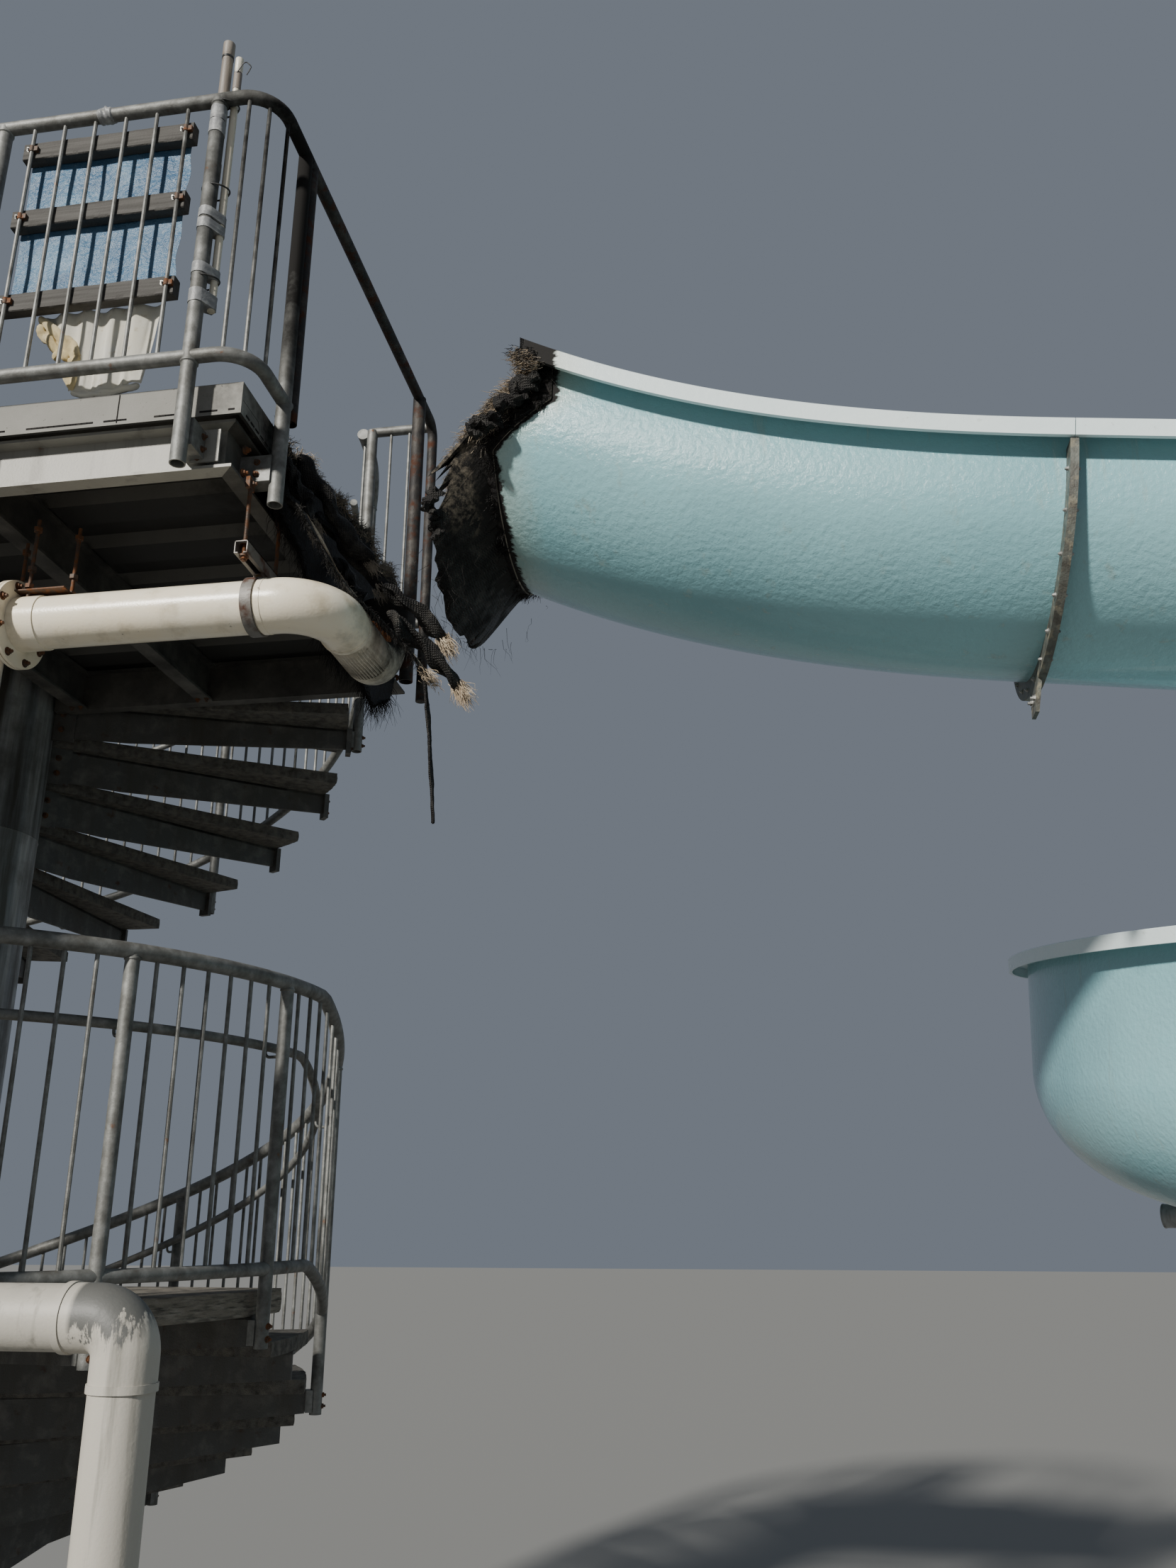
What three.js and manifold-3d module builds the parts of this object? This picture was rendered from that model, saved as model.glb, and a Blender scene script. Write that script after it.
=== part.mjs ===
// Water slide tower: a steel platform on one round column, a spiral stair round the column,
// and a fibreglass flume that has burnt away where it left the platform.
// Millimetres, +Z up. The origin is the centre of the column's foot, on the ground.
// +X runs along the platform's front edge to the flume, +Y runs to the back.

import * as THREE from 'three';
import { mergeVertices } from 'three/addons/utils/BufferGeometryUtils.js';
import Module from 'manifold-3d';

const wasm = await Module();
wasm.setup();

// Driving dimensions
const GAP = 0.3;
const DEG = Math.PI / 180;

const RISER = 174;
const UPPER_TREADS = 14;
const LOWER_TREADS = 12;
const LANDING_TOP = RISER * (LOWER_TREADS + 1);
const DECK_TOP = LANDING_TOP + RISER * (UPPER_TREADS + 1);

const COLUMN_RADIUS = 254;
const COLUMN_SIDES = 32;
const FOOT_PLATE_SIZE = 860;
const FOOT_PLATE_THICKNESS = 30;

// Platform, by the faces of its edge band
const DECK_LEFT = -900;
const DECK_RIGHT = 1857;
const DECK_FRONT = -1677;
const DECK_BACK = 130;
const BAND_DEPTH = 108;
const BAND_THICKNESS = 10;
const RIB_DEPTH = 50;
const RIB_PITCH = 280;
const RIB_TURNS = [60, 80, 200, 220];
const RIB_CLEARANCE = 8;
const BAND_INSET = 1;
const FRAME_BOTTOM = 4600;
const FLANGE_INSET = 26;
const CHANNEL_FLANGE = 52;
const CHANNEL_THICKNESS = 10;
const JOIST_PLACES = [-380, 380, 960];
const JOIST_WIDTH = 66;
const COPE = 52;
const COPE_HALF_DEPTH = 20;
const COPE_HEIGHT = 15;

// Guards
const POST_RADIUS = 24;
const RAIL_RADIUS = 22;
const HANDRAIL_RADIUS = 17;
const PICKET_RADIUS = 6.4;
const STAIR_PICKET_RADIUS = 8.5;
const PICKET_PITCH = 101.6;
const GUARD_OFFSET = 63;
const RIGHT_GUARD_OFFSET = 43;
const TOP_RAIL = DECK_TOP + 1043;
const RAIL_SPACING = 985;
const BOTTOM_RAIL = TOP_RAIL - RAIL_SPACING;
const POST_FOOT = 4563;
const LUG_HALF_WIDTH = 30;
const LUG_FOOT = FRAME_BOTTOM + 34;
const LUG_HEIGHT = 90;
const POST_INSET = 30;
const CORNER_RADIUS = 190;
const RIGHT_CORNER_RADIUS = 115;
const FRONT_POST_X = 1710;
const FRONT_POST_PITCH = 750;
const ENTRY_NEAR_Y = -1480;
const ENTRY_FAR_Y = -105;
const ENTRY_RETURN_Y = 110;
const LINK_POST_X = 1618;
const LINK_PLATE_HALF_WIDTH = 45;
const LINK_PLATE_DEPTH = 100;
const LINK_PLATE_THICKNESS = 10;
const FAR_POST_RADIUS = 28;
const LOOP_TIE_HALF_WIDTH = 8;
const LOOP_TIE_HEIGHT = 36;
const ENTRY_BAR_BEND = 70;
const LOOP_BAR_STEP = 58;
const LOOP_BAR_FOOT = 18;
const LEFT_GUARD_END = -290;

// Stair: angles are in degrees from +X, going round towards +Y as the stair goes down
const TREAD_ANGLE = 18;
const TREAD_LAP = 2;
const STAIR_START = 17;
const STAIR_RADIUS = 1530;
const TREAD_THICKNESS = 50;
const TREAD_BEAM_DEPTH = 150;
const TREAD_BEAM_TIP_DEPTH = 95;
const TREAD_BEAM_WIDTH = 60;
const TREAD_BEAM_TURN = 8;
const TREAD_BEAM_PLATE = 12;
const TREAD_BEAM_LEVEL_SHARE = 0.25;
const SLEEVE_DEPTH = 16;
const SLEEVE_HALF_WIDTH = 28;
const SLEEVE_HEIGHT = 120;
const FIN_REACH = 90;
const FIN_DEPTH = 165;
const LANDING_EXTRA = 30;
const LANDING_BEAMS = [6, 32, 58];
const LANDING_LAST_BEAM = 8;
const COLUMN_SLEEVE = 14;
const LANDING_START = STAIR_START + UPPER_TREADS * TREAD_ANGLE - TREAD_LAP;
const LANDING_END = 359;
const LOWER_START = LANDING_END;
const STAIR_END = LOWER_START + LOWER_TREADS * TREAD_ANGLE;
const GUARD_RADIUS = 1572;
const HANDRAIL_INSET = 72;
const HANDRAIL_DROP = 228;
const HANDRAIL_START = 12;
const STAIR_PICKET_ANGLE = 3.7;
const LANDING_RAIL = LANDING_TOP + 1058;
const RAIL_FALL = RISER / TREAD_ANGLE;
const LANDING_POST_ANGLE = 351;
const GUARD_TURN = 356;
const LOWER_RAIL_START = 363;
const STAIR_RAIL_RADIUS = 27;

// Flume
const FLUME_CENTRE_Y = -800;
const FLUME_RADIUS = 500;
const FLUME_WALL = 14;
const FLUME_RIM_WIDTH = 45;
const OUTER_RIM_WIDTH = 68;
const FLUME_RIM_FACE = 59;
const FLUME_LOW_WALL = 543;
const FLUME_HIGH_WALL = 1046;
const FLUME_FLANGE = 62;
const FLUME_FLANGE_THICKNESS = 12;
const SHELL_INSET = 1;
const FIRST_JOINT_X = 4214;
const FIRST_JOINT_KEEL = 4167;
const FLUME_SLOPE = 0.1267;
const ENTRY_CURVE = [4.25e-5, 2.62e-8];
const BEND_SLOPE = [FLUME_SLOPE, -0.0358, 0.0591];
const BEND_SLOPE_TURN = 270 * DEG;
const BURNT_START = -2100;
const DROOP_START = -1670;
const DROOP_LENGTH = 60;
const DROOP = 280;
const HELIX_RADIUS = 2040;
const HELIX_X = 7010;
const HELIX_Y = FLUME_CENTRE_Y + HELIX_RADIUS;
const BEND_ANGLE = 80;
const BEND_COUNT = 4;
const KEEL_LUG_DROP = FLUME_WALL + FLUME_FLANGE + 95;
const KEEL_LUG_HALF_WIDTHS = [70, 34];
const MAST_RADIUS = 162;
const MAST_TOP = 4250;
const MAST_PLATE_SIZE = 1000;
const ARM_RADIUS = 57;
const ARM_CLEARANCE = 8;
const ARM_REACH = 120;
const SADDLE_HALF_WIDTH = 60;
const SADDLE_THICKNESS = 12;
const SADDLE_LAP = 80;

// Water pipes
const PIPE_RADIUS = 84;
const JET_BEND = 150;
const FEED_BEND = 90;
const PIPE_Y = -1410;
const JET_PIPE_Z = 4257;
const JET_PIPE_TURN_X = 2055;
const JET_PIPE_RISE_Y = -860;
const JET_PIPE_RISE = 250;
const VALVE_X = 1052;
const VALVE_RADIUS = 140;
const VALVE_THICKNESS = 24;
const RISER_PIPE_X = 925;
const FEED_PIPE_Z = 2262;
const FEED_PIPE_X = 1674;
const HANGER_X = 1840;
const HANGER_RODS = [-1530, -1300];
const STRUT_Z = 4365;
const STRUT_SIZE = 41;
const STRAP_THICKNESS = 7;
const STRAP_WIDTH = 36;
const ROD_RADIUS = 7;

// Things fixed on the front guard, and the burnt remains at the way to the flume
const PLANK_LEFT = 1030;
const PLANK_RIGHT = 1625;
const PLANK_DEPTH = 38;
const PLANK_HEIGHT = 68;
const PLANK_FEET = [5782, 5507, 5179];
const BANNER_THICKNESS = 4;
const BANNER_INSET = 14;
const BANNER_FOOT = 5203;
const BANNER_TOP = 5812;
const CLOTH_LEFT = 1140;
const CLOTH_RIGHT = 1545;
const CLOTH_DEPTH = 42;
const CLOTH_TOP = 5201;
const BROWN_POLE_RADIUS = 19.5;
const BROWN_POLE_X = 1695;
const BROWN_POLE_ENDS = [5290, 6200];
const WHITE_POLE_RADIUS = 13.3;
const WHITE_POLE_X = 1741;
const WHITE_POLE_ENDS = [5117, 6120];
const REMAINS_THICKNESS = 16;
const FLAP_THICKNESS = 10;

// The ragged outline of the tub's remains on the deck's edge, as Y and height
const REMAINS_OUTLINE = [
  [-1445, 4600], [-1200, 4560], [-1000, 4400], [-820, 4340], [-640, 4400], [-400, 4330], [-200, 4440],
  [-145, 4560], [-145, 4960], [-300, 4990], [-420, 4930], [-560, 5010], [-700, 4950], [-860, 4970],
  [-1020, 4900], [-1180, 4930], [-1300, 4860], [-1445, 4890],
];

// The woven flap and its dangling tail: X, height and the two edges in Y
const FLAP_ROUTE = [
  [1881, 4650, -1440, -1330], [1960, 4580, -1440, -1325], [2040, 4420, -1380, -1260],
  [2100, 4335, -1320, -1200], [2221, 4234, -1165, -1035], [2279, 4150, -1110, -1000],
];
const TAIL_ROUTE = [
  [2262, 4180, -1075, -1030], [2280, 4060, -1072, -1034], [2300, 3860, -1070, -1036],
  [2316, 3657, -1062, -1044],
];

const paint = {
  galvanised: new THREE.MeshStandardMaterial({ color: 0x8d9294, roughness: 0.55, metalness: 0.7 }),
  charred: new THREE.MeshStandardMaterial({ color: 0x161616, roughness: 0.9, metalness: 0.1 }),
  steel: new THREE.MeshStandardMaterial({ color: 0x6f7478, roughness: 0.6, metalness: 0.6 }),
  concrete: new THREE.MeshStandardMaterial({ color: 0x6e6a62, roughness: 0.9, metalness: 0 }),
  flume: new THREE.MeshStandardMaterial({ color: 0x8fc6c8, roughness: 0.4, metalness: 0 }),
  plastic: new THREE.MeshStandardMaterial({ color: 0xe6dfc8, roughness: 0.4, metalness: 0 }),
  greyPipe: new THREE.MeshStandardMaterial({ color: 0xa9aba6, roughness: 0.5, metalness: 0 }),
  plank: new THREE.MeshStandardMaterial({ color: 0x57534c, roughness: 0.85, metalness: 0 }),
  vinyl: new THREE.MeshStandardMaterial({ color: 0x7fa9c4, roughness: 0.25, metalness: 0 }),
  cloth: new THREE.MeshStandardMaterial({ color: 0xe5d9a8, roughness: 0.9, metalness: 0 }),
};

const tower = new THREE.Group();

function addPart(name, geometry, material) {
  const mesh = new THREE.Mesh(geometry, material);
  mesh.name = name;
  tower.add(mesh);
  return mesh;
}

// Solids: joining and cutting

function toSolid(geometry) {
  const bare = geometry.clone();
  bare.deleteAttribute('normal');
  bare.deleteAttribute('uv');
  const merged = mergeVertices(bare, 1e-3);
  return new wasm.Manifold(new wasm.Mesh({
    numProp: 3,
    vertProperties: new Float32Array(merged.attributes.position.array),
    triVerts: new Uint32Array(merged.index.array),
  }));
}

function toGeometry(solid) {
  const mesh = solid.getMesh();
  const geometry = new THREE.BufferGeometry();
  geometry.setAttribute('position', new THREE.BufferAttribute(new Float32Array(mesh.vertProperties), 3));
  geometry.setIndex(new THREE.BufferAttribute(new Uint32Array(mesh.triVerts), 1));
  return geometry;
}

function join(...geometries) {
  return toGeometry(geometries.map(toSolid).reduce((whole, piece) => whole.add(piece)));
}

function cut(geometry, ...tools) {
  return toGeometry(tools.map(toSolid).reduce((whole, tool) => whole.subtract(tool), toSolid(geometry)));
}

// Plain shapes, placed by their low corner, their axis or their path

function block(x0, x1, y0, y1, z0, z1) {
  const geometry = new THREE.BoxGeometry(x1 - x0, y1 - y0, z1 - z0);
  return geometry.translate((x0 + x1) / 2, (y0 + y1) / 2, (z0 + z1) / 2);
}

function upright(x, y, z0, z1, radius, sides) {
  const geometry = new THREE.CylinderGeometry(radius, radius, z1 - z0, sides);
  return geometry.rotateX(Math.PI / 2).translate(x, y, (z0 + z1) / 2);
}

// Carries a section along a list of frames. Each frame has a place and two directions, and a
// section may change from frame to frame as long as it keeps its number of points.
function loft(sections, frames) {
  const first = sections[0].map(([x, y]) => new THREE.Vector2(x, y));
  const steps = frames.length - 1;
  const geometry = new THREE.ExtrudeGeometry(new THREE.Shape(first), {
    depth: steps,
    steps,
    bevelEnabled: false,
  });
  const key = (x, y) => `${x.toFixed(2)},${y.toFixed(2)}`;
  const order = new Map(first.map((point, index) => [key(point.x, point.y), index]));
  const position = geometry.attributes.position;
  const place = new THREE.Vector3();
  for (let i = 0; i < position.count; i += 1) {
    const index = order.get(key(position.getX(i), position.getY(i)));
    const step = Math.round(position.getZ(i));
    const frame = frames[step];
    const [u, v] = sections[Math.min(step, sections.length - 1)][index];
    place.copy(frame.at).addScaledVector(frame.side, u).addScaledVector(frame.up, v);
    position.setXYZ(i, place.x, place.y, place.z);
  }
  return outwards(geometry);
}

// Turns a closed mesh inside out if its volume is negative
function outwards(geometry) {
  const bare = geometry.clone();
  bare.deleteAttribute('normal');
  bare.deleteAttribute('uv');
  const merged = mergeVertices(bare, 1e-3);
  const p = merged.attributes.position;
  const index = merged.index;
  const a = new THREE.Vector3();
  const b = new THREE.Vector3();
  const c = new THREE.Vector3();
  let volume = 0;
  for (let i = 0; i < index.count; i += 3) {
    a.fromBufferAttribute(p, index.getX(i));
    b.fromBufferAttribute(p, index.getX(i + 1));
    c.fromBufferAttribute(p, index.getX(i + 2));
    volume += a.dot(b.cross(c));
  }
  if (volume < 0) {
    for (let i = 0; i < index.count; i += 3) {
      const second = index.getX(i + 1);
      index.setX(i + 1, index.getX(i + 2));
      index.setX(i + 2, second);
    }
  }
  return merged;
}

// Frames for a section in the plane across X, at a height
function framesAlongX(places, height) {
  return places.map((x) => ({ at: at(x, 0, height), side: at(0, 1, 0), up: at(0, 0, 1) }));
}

function ring(radius, sides, turn = 0.5) {
  return Array.from({ length: sides }, (_, i) => {
    const angle = ((i + turn) / sides) * 2 * Math.PI;
    return [radius * Math.cos(angle), radius * Math.sin(angle)];
  });
}

// A tube through a list of points; its section is carried along without twist
function tube(points, radius, sides) {
  const frames = [];
  const tangent = (i) => {
    const from = points[Math.max(i - 1, 0)];
    const to = points[Math.min(i + 1, points.length - 1)];
    return to.clone().sub(from).normalize();
  };
  const start = tangent(0);
  let side = Math.abs(start.z) > 0.9 ? new THREE.Vector3(1, 0, 0) : new THREE.Vector3(0, 0, 1);
  for (let i = 0; i < points.length; i += 1) {
    const along = tangent(i);
    side = side.clone().addScaledVector(along, -side.dot(along)).normalize();
    const up = along.clone().cross(side);
    frames.push({ at: points[i], side, up });
  }
  return loft([ring(radius, sides)], frames);
}

// Replaces each inner corner of a line by an arc
function rounded(corners, bendRadius, steps = 4) {
  const points = [corners[0]];
  for (let i = 1; i < corners.length - 1; i += 1) {
    const back = corners[i - 1].clone().sub(corners[i]).normalize();
    const ahead = corners[i + 1].clone().sub(corners[i]).normalize();
    const half = back.angleTo(ahead) / 2;
    const middle = back.clone().add(ahead).normalize();
    const centre = corners[i].clone().addScaledVector(middle, bendRadius / Math.sin(half));
    const length = bendRadius / Math.tan(half);
    const from = corners[i].clone().addScaledVector(back, length).sub(centre);
    const to = corners[i].clone().addScaledVector(ahead, length).sub(centre);
    const sweep = from.angleTo(to);
    for (let k = 0; k <= steps; k += 1) {
      const t = k / steps;
      const point = centre.clone();
      point.addScaledVector(from, Math.sin((1 - t) * sweep) / Math.sin(sweep));
      point.addScaledVector(to, Math.sin(t * sweep) / Math.sin(sweep));
      points.push(point);
    }
  }
  points.push(corners[corners.length - 1]);
  return points;
}

function spread(from, to, steps) {
  return Array.from({ length: steps + 1 }, (_, i) => from + ((to - from) * i) / steps);
}

function at(x, y, z) {
  return new THREE.Vector3(x, y, z);
}

function polar(angle, radius, z) {
  return at(radius * Math.cos(angle * DEG), radius * Math.sin(angle * DEG), z);
}

// Column

function buildColumn() {
  const plate = FOOT_PLATE_SIZE / 2;
  addPart('column_foot_plate', block(-plate, plate, -plate, plate, 0, FOOT_PLATE_THICKNESS), paint.steel);
  const column = upright(0, 0, FOOT_PLATE_THICKNESS + GAP, TOP_RAIL, COLUMN_RADIUS, COLUMN_SIDES);
  addPart('column', column, paint.galvanised);
}

// Platform

function deckProfile() {
  const low = DECK_TOP - BAND_DEPTH;
  const high = low + RIB_DEPTH;
  const points = [[DECK_FRONT, low], [DECK_FRONT + BAND_THICKNESS, low]];
  const inside = DECK_BACK - DECK_FRONT - 2 * BAND_THICKNESS;
  const count = Math.floor(inside / RIB_PITCH);
  const start = DECK_FRONT + BAND_THICKNESS + (inside - count * RIB_PITCH) / 2;
  points.push([DECK_FRONT + BAND_THICKNESS, high]);
  for (let i = 0; i < count; i += 1) {
    const y = start + i * RIB_PITCH;
    const foot = low + RIB_CLEARANCE;
    const [a, b, c, d] = RIB_TURNS;
    points.push([y + a, high], [y + b, foot], [y + c, foot], [y + d, high]);
  }
  points.push([DECK_BACK - BAND_THICKNESS, high], [DECK_BACK - BAND_THICKNESS, low]);
  points.push([DECK_BACK, low], [DECK_BACK, DECK_TOP], [DECK_FRONT, DECK_TOP]);
  return points;
}

// A flat wedge of the stair between two angles, from the column to the outer radius
function wedge(fromAngle, toAngle, innerRadius, outerRadius, bottom, top) {
  const steps = Math.max(2, Math.round((toAngle - fromAngle) / 6));
  const shape = new THREE.Shape();
  for (let i = 0; i <= steps; i += 1) {
    const angle = (fromAngle + ((toAngle - fromAngle) * i) / steps) * DEG;
    const x = outerRadius * Math.cos(angle);
    const y = outerRadius * Math.sin(angle);
    if (i === 0) shape.moveTo(x, y);
    else shape.lineTo(x, y);
  }
  const clearRadius = innerRadius / Math.cos((((toAngle - fromAngle) / steps) * DEG) / 2);
  for (let i = steps; i >= 0; i -= 1) {
    const angle = (fromAngle + ((toAngle - fromAngle) * i) / steps) * DEG;
    shape.lineTo(clearRadius * Math.cos(angle), clearRadius * Math.sin(angle));
  }
  const geometry = new THREE.ExtrudeGeometry(shape, { depth: top - bottom, bevelEnabled: false });
  return geometry.translate(0, 0, bottom);
}

function buildDeck() {
  const slab = loft([deckProfile()], framesAlongX([DECK_LEFT, DECK_RIGHT], 0));
  const low = DECK_TOP - BAND_DEPTH;
  const inset = BAND_INSET;
  const bands = [DECK_LEFT + inset, DECK_RIGHT - inset - BAND_THICKNESS].map((x) => (
    block(x, x + BAND_THICKNESS, DECK_FRONT + inset, DECK_BACK - inset, low + inset, DECK_TOP - inset)
  ));
  const stepFoot = DECK_TOP - TREAD_THICKNESS;
  const topStep = wedge(1, STAIR_START + TREAD_LAP, COLUMN_RADIUS - 30, STAIR_RADIUS, stepFoot, DECK_TOP);
  const hole = upright(0, 0, low - 1, DECK_TOP + 1, COLUMN_RADIUS + GAP, COLUMN_SIDES);
  addPart('deck', cut(join(slab, ...bands, topStep), hole), paint.concrete);
}

// One edge channel lies with its back towards the platform and its flanges outwards.
// Its ends are mitred by sliding them along with the distance from the outer edge.
function edgeChannel(length, startMitre, endMitre) {
  const depth = DECK_TOP - BAND_DEPTH - GAP - FRAME_BOTTOM;
  const t = CHANNEL_THICKNESS;
  const w = CHANNEL_FLANGE;
  const profile = [
    [0, 0], [0, t], [w - t, t], [w - t, depth - t], [0, depth - t], [0, depth], [w, depth], [w, 0],
  ];
  const geometry = loft([profile], framesAlongX([0, length], FRAME_BOTTOM));
  const position = geometry.attributes.position;
  for (let i = 0; i < position.count; i += 1) {
    const inward = position.getY(i);
    if (position.getX(i) < length / 2) position.setX(i, position.getX(i) + inward * startMitre + GAP / 2);
    else position.setX(i, position.getX(i) - inward * endMitre - GAP / 2);
  }
  return geometry;
}

function buildFrame() {
  const left = DECK_LEFT + FLANGE_INSET;
  const right = DECK_RIGHT - FLANGE_INSET;
  const front = DECK_FRONT + FLANGE_INSET;
  const back = DECK_BACK - FLANGE_INSET;
  const quarter = Math.PI / 2;
  const frontChannel = edgeChannel(right - left, 1, 1).translate(left, front, 0);
  addPart('frame_front_channel', frontChannel, paint.steel);
  const rightChannel = edgeChannel(back - front, 1, 1).rotateZ(quarter).translate(right, front, 0);
  addPart('frame_right_channel', rightChannel, paint.steel);
  const leftChannel = edgeChannel(back - front, 1, 1).rotateZ(-quarter).translate(left, back, 0);
  addPart('frame_left_channel', leftChannel, paint.steel);
  const columnClear = COLUMN_RADIUS + GAP;
  const backRight = edgeChannel(right - columnClear, 1, 0).rotateZ(2 * quarter).translate(right, back, 0);
  const copeEdges = [back - COPE_HALF_DEPTH, back + COPE_HALF_DEPTH];
  const cope = block(0, COLUMN_RADIUS + COPE, ...copeEdges, FRAME_BOTTOM - 5, FRAME_BOTTOM + COPE_HEIGHT);
  addPart('frame_back_channel_right', cut(backRight, cope), paint.steel);
  const backLeft = edgeChannel(-columnClear - left, 0, 1).rotateZ(2 * quarter);
  addPart('frame_back_channel_left', backLeft.translate(-columnClear, back, 0), paint.steel);
  const joistTop = DECK_TOP - BAND_DEPTH - GAP;
  const inFront = front + CHANNEL_FLANGE + GAP;
  const inBack = back - CHANNEL_FLANGE - GAP;
  JOIST_PLACES.forEach((x, index) => {
    const half = JOIST_WIDTH / 2;
    const web = CHANNEL_THICKNESS / 2;
    const flange = CHANNEL_THICKNESS;
    const depth = joistTop - FRAME_BOTTOM;
    const profile = [
      [-half, 0], [half, 0], [half, flange],
      [web, flange], [web, depth - flange], [half, depth - flange],
      [half, depth], [-half, depth], [-half, depth - flange],
      [-web, depth - flange], [-web, flange], [-half, flange],
    ];
    const frames = [inFront, inBack].map((y) => ({
      at: at(x, y, FRAME_BOTTOM),
      side: at(1, 0, 0),
      up: at(0, 0, 1),
    }));
    addPart(`frame_joist_${index + 1}`, loft([profile], frames), paint.steel);
  });
}

// Platform guards

function pickets(from, to, low, high, count) {
  return Array.from({ length: count }, (_, i) => {
    const t = (i + 1) / (count + 1);
    const x = from.x + (to.x - from.x) * t;
    const y = from.y + (to.y - from.y) * t;
    return upright(x, y, low, high, PICKET_RADIUS, 4);
  });
}

function picketCount(length) {
  return Math.max(0, Math.round(length / PICKET_PITCH) - 1);
}

// A bolted lug that carries a post on the frame's channel: toward is the way to the channel
function postLug(x, y, toward, offset = GUARD_OFFSET) {
  const reach = offset + FLANGE_INSET + CHANNEL_FLANGE - CHANNEL_THICKNESS - GAP;
  const half = LUG_HALF_WIDTH;
  const bottom = LUG_FOOT;
  const top = LUG_FOOT + LUG_HEIGHT;
  if (toward.x !== 0) {
    const x0 = Math.min(x, x + toward.x * reach);
    return block(x0, x0 + reach, y - half, y + half, bottom, top);
  }
  const y0 = Math.min(y, y + toward.y * reach);
  return block(x - half, x + half, y0, y0 + reach, bottom, top);
}

const GUARD_LEFT = DECK_LEFT - GUARD_OFFSET;
const GUARD_RIGHT = DECK_RIGHT + RIGHT_GUARD_OFFSET;
const GUARD_FRONT = DECK_FRONT - GUARD_OFFSET;
const GUARD_BACK = DECK_BACK + GUARD_OFFSET;
const GUARD_SPLIT = GUARD_LEFT + CORNER_RADIUS + 60;

function buildFrontGuard() {
  const corners = [
    [GUARD_SPLIT, GUARD_FRONT],
    [GUARD_RIGHT, GUARD_FRONT],
    [GUARD_RIGHT, ENTRY_NEAR_Y + POST_RADIUS],
  ];
  const line = (z) => rounded(corners.map(([x, y]) => at(x, y, z)), RIGHT_CORNER_RADIUS);
  const pieces = [tube(line(TOP_RAIL), RAIL_RADIUS, 6), tube(line(BOTTOM_RAIL), RAIL_RADIUS, 6)];
  let right = FRONT_POST_X;
  pieces.push(upright(right, GUARD_FRONT, POST_FOOT, TOP_RAIL, POST_RADIUS, 8));
  pieces.push(postLug(right, GUARD_FRONT, at(0, 1, 0)));
  while (right - FRONT_POST_PITCH > GUARD_LEFT + CORNER_RADIUS) {
    const left = right - FRONT_POST_PITCH;
    pieces.push(upright(left, GUARD_FRONT, POST_FOOT, TOP_RAIL, POST_RADIUS, 8));
    pieces.push(postLug(left, GUARD_FRONT, at(0, 1, 0)));
    pieces.push(...pickets(at(left, GUARD_FRONT, 0), at(right, GUARD_FRONT, 0), BOTTOM_RAIL, TOP_RAIL,
      picketCount(right - left)));
    right = left;
  }
  const turn = RIGHT_CORNER_RADIUS * (1 - Math.SQRT1_2);
  const cornerPickets = [
    [FRONT_POST_X + PICKET_PITCH, GUARD_FRONT],
    [GUARD_RIGHT - turn, GUARD_FRONT + turn],
    [GUARD_RIGHT, GUARD_FRONT + RIGHT_CORNER_RADIUS - 10],
  ];
  cornerPickets.forEach(([x, y]) => pieces.push(upright(x, y, BOTTOM_RAIL, TOP_RAIL, PICKET_RADIUS, 4)));
  pieces.push(upright(GUARD_RIGHT, ENTRY_NEAR_Y, POST_FOOT, TOP_RAIL - 2, POST_RADIUS, 8));
  pieces.push(postLug(GUARD_RIGHT, ENTRY_NEAR_Y, at(-1, 0, 0), RIGHT_GUARD_OFFSET));
  addPart('guard_front', join(...pieces), paint.galvanised);
}

function buildLeftGuard() {
  const corners = [
    [GUARD_SPLIT - GAP, GUARD_FRONT],
    [GUARD_LEFT, GUARD_FRONT],
    [GUARD_LEFT, GUARD_BACK],
    [LEFT_GUARD_END, GUARD_BACK],
  ];
  const line = (z) => rounded(corners.map(([x, y]) => at(x, y, z)), CORNER_RADIUS);
  const pieces = [tube(line(TOP_RAIL), RAIL_RADIUS, 6), tube(line(BOTTOM_RAIL), RAIL_RADIUS, 6)];
  const middle = (GUARD_FRONT + GUARD_BACK) / 2;
  const fromCorner = CORNER_RADIUS + POST_INSET;
  const sidePosts = [GUARD_FRONT + fromCorner, middle, GUARD_BACK - fromCorner];
  sidePosts.forEach((y) => {
    pieces.push(upright(GUARD_LEFT, y, POST_FOOT, TOP_RAIL, POST_RADIUS, 8));
    pieces.push(postLug(GUARD_LEFT, y, at(1, 0, 0)));
  });
  for (let i = 0; i < sidePosts.length - 1; i += 1) {
    pieces.push(...pickets(at(GUARD_LEFT, sidePosts[i], 0), at(GUARD_LEFT, sidePosts[i + 1], 0),
      BOTTOM_RAIL, TOP_RAIL, picketCount(sidePosts[i + 1] - sidePosts[i])));
  }
  const backPosts = [GUARD_LEFT + fromCorner, LEFT_GUARD_END];
  backPosts.forEach((x) => {
    pieces.push(upright(x, GUARD_BACK, POST_FOOT, TOP_RAIL, POST_RADIUS, 8));
    pieces.push(postLug(x, GUARD_BACK, at(0, -1, 0)));
  });
  pieces.push(...pickets(at(backPosts[0], GUARD_BACK, 0), at(backPosts[1], GUARD_BACK, 0),
    BOTTOM_RAIL, TOP_RAIL, picketCount(backPosts[1] - backPosts[0])));
  addPart('guard_left', join(...pieces), paint.galvanised);
}

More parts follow.
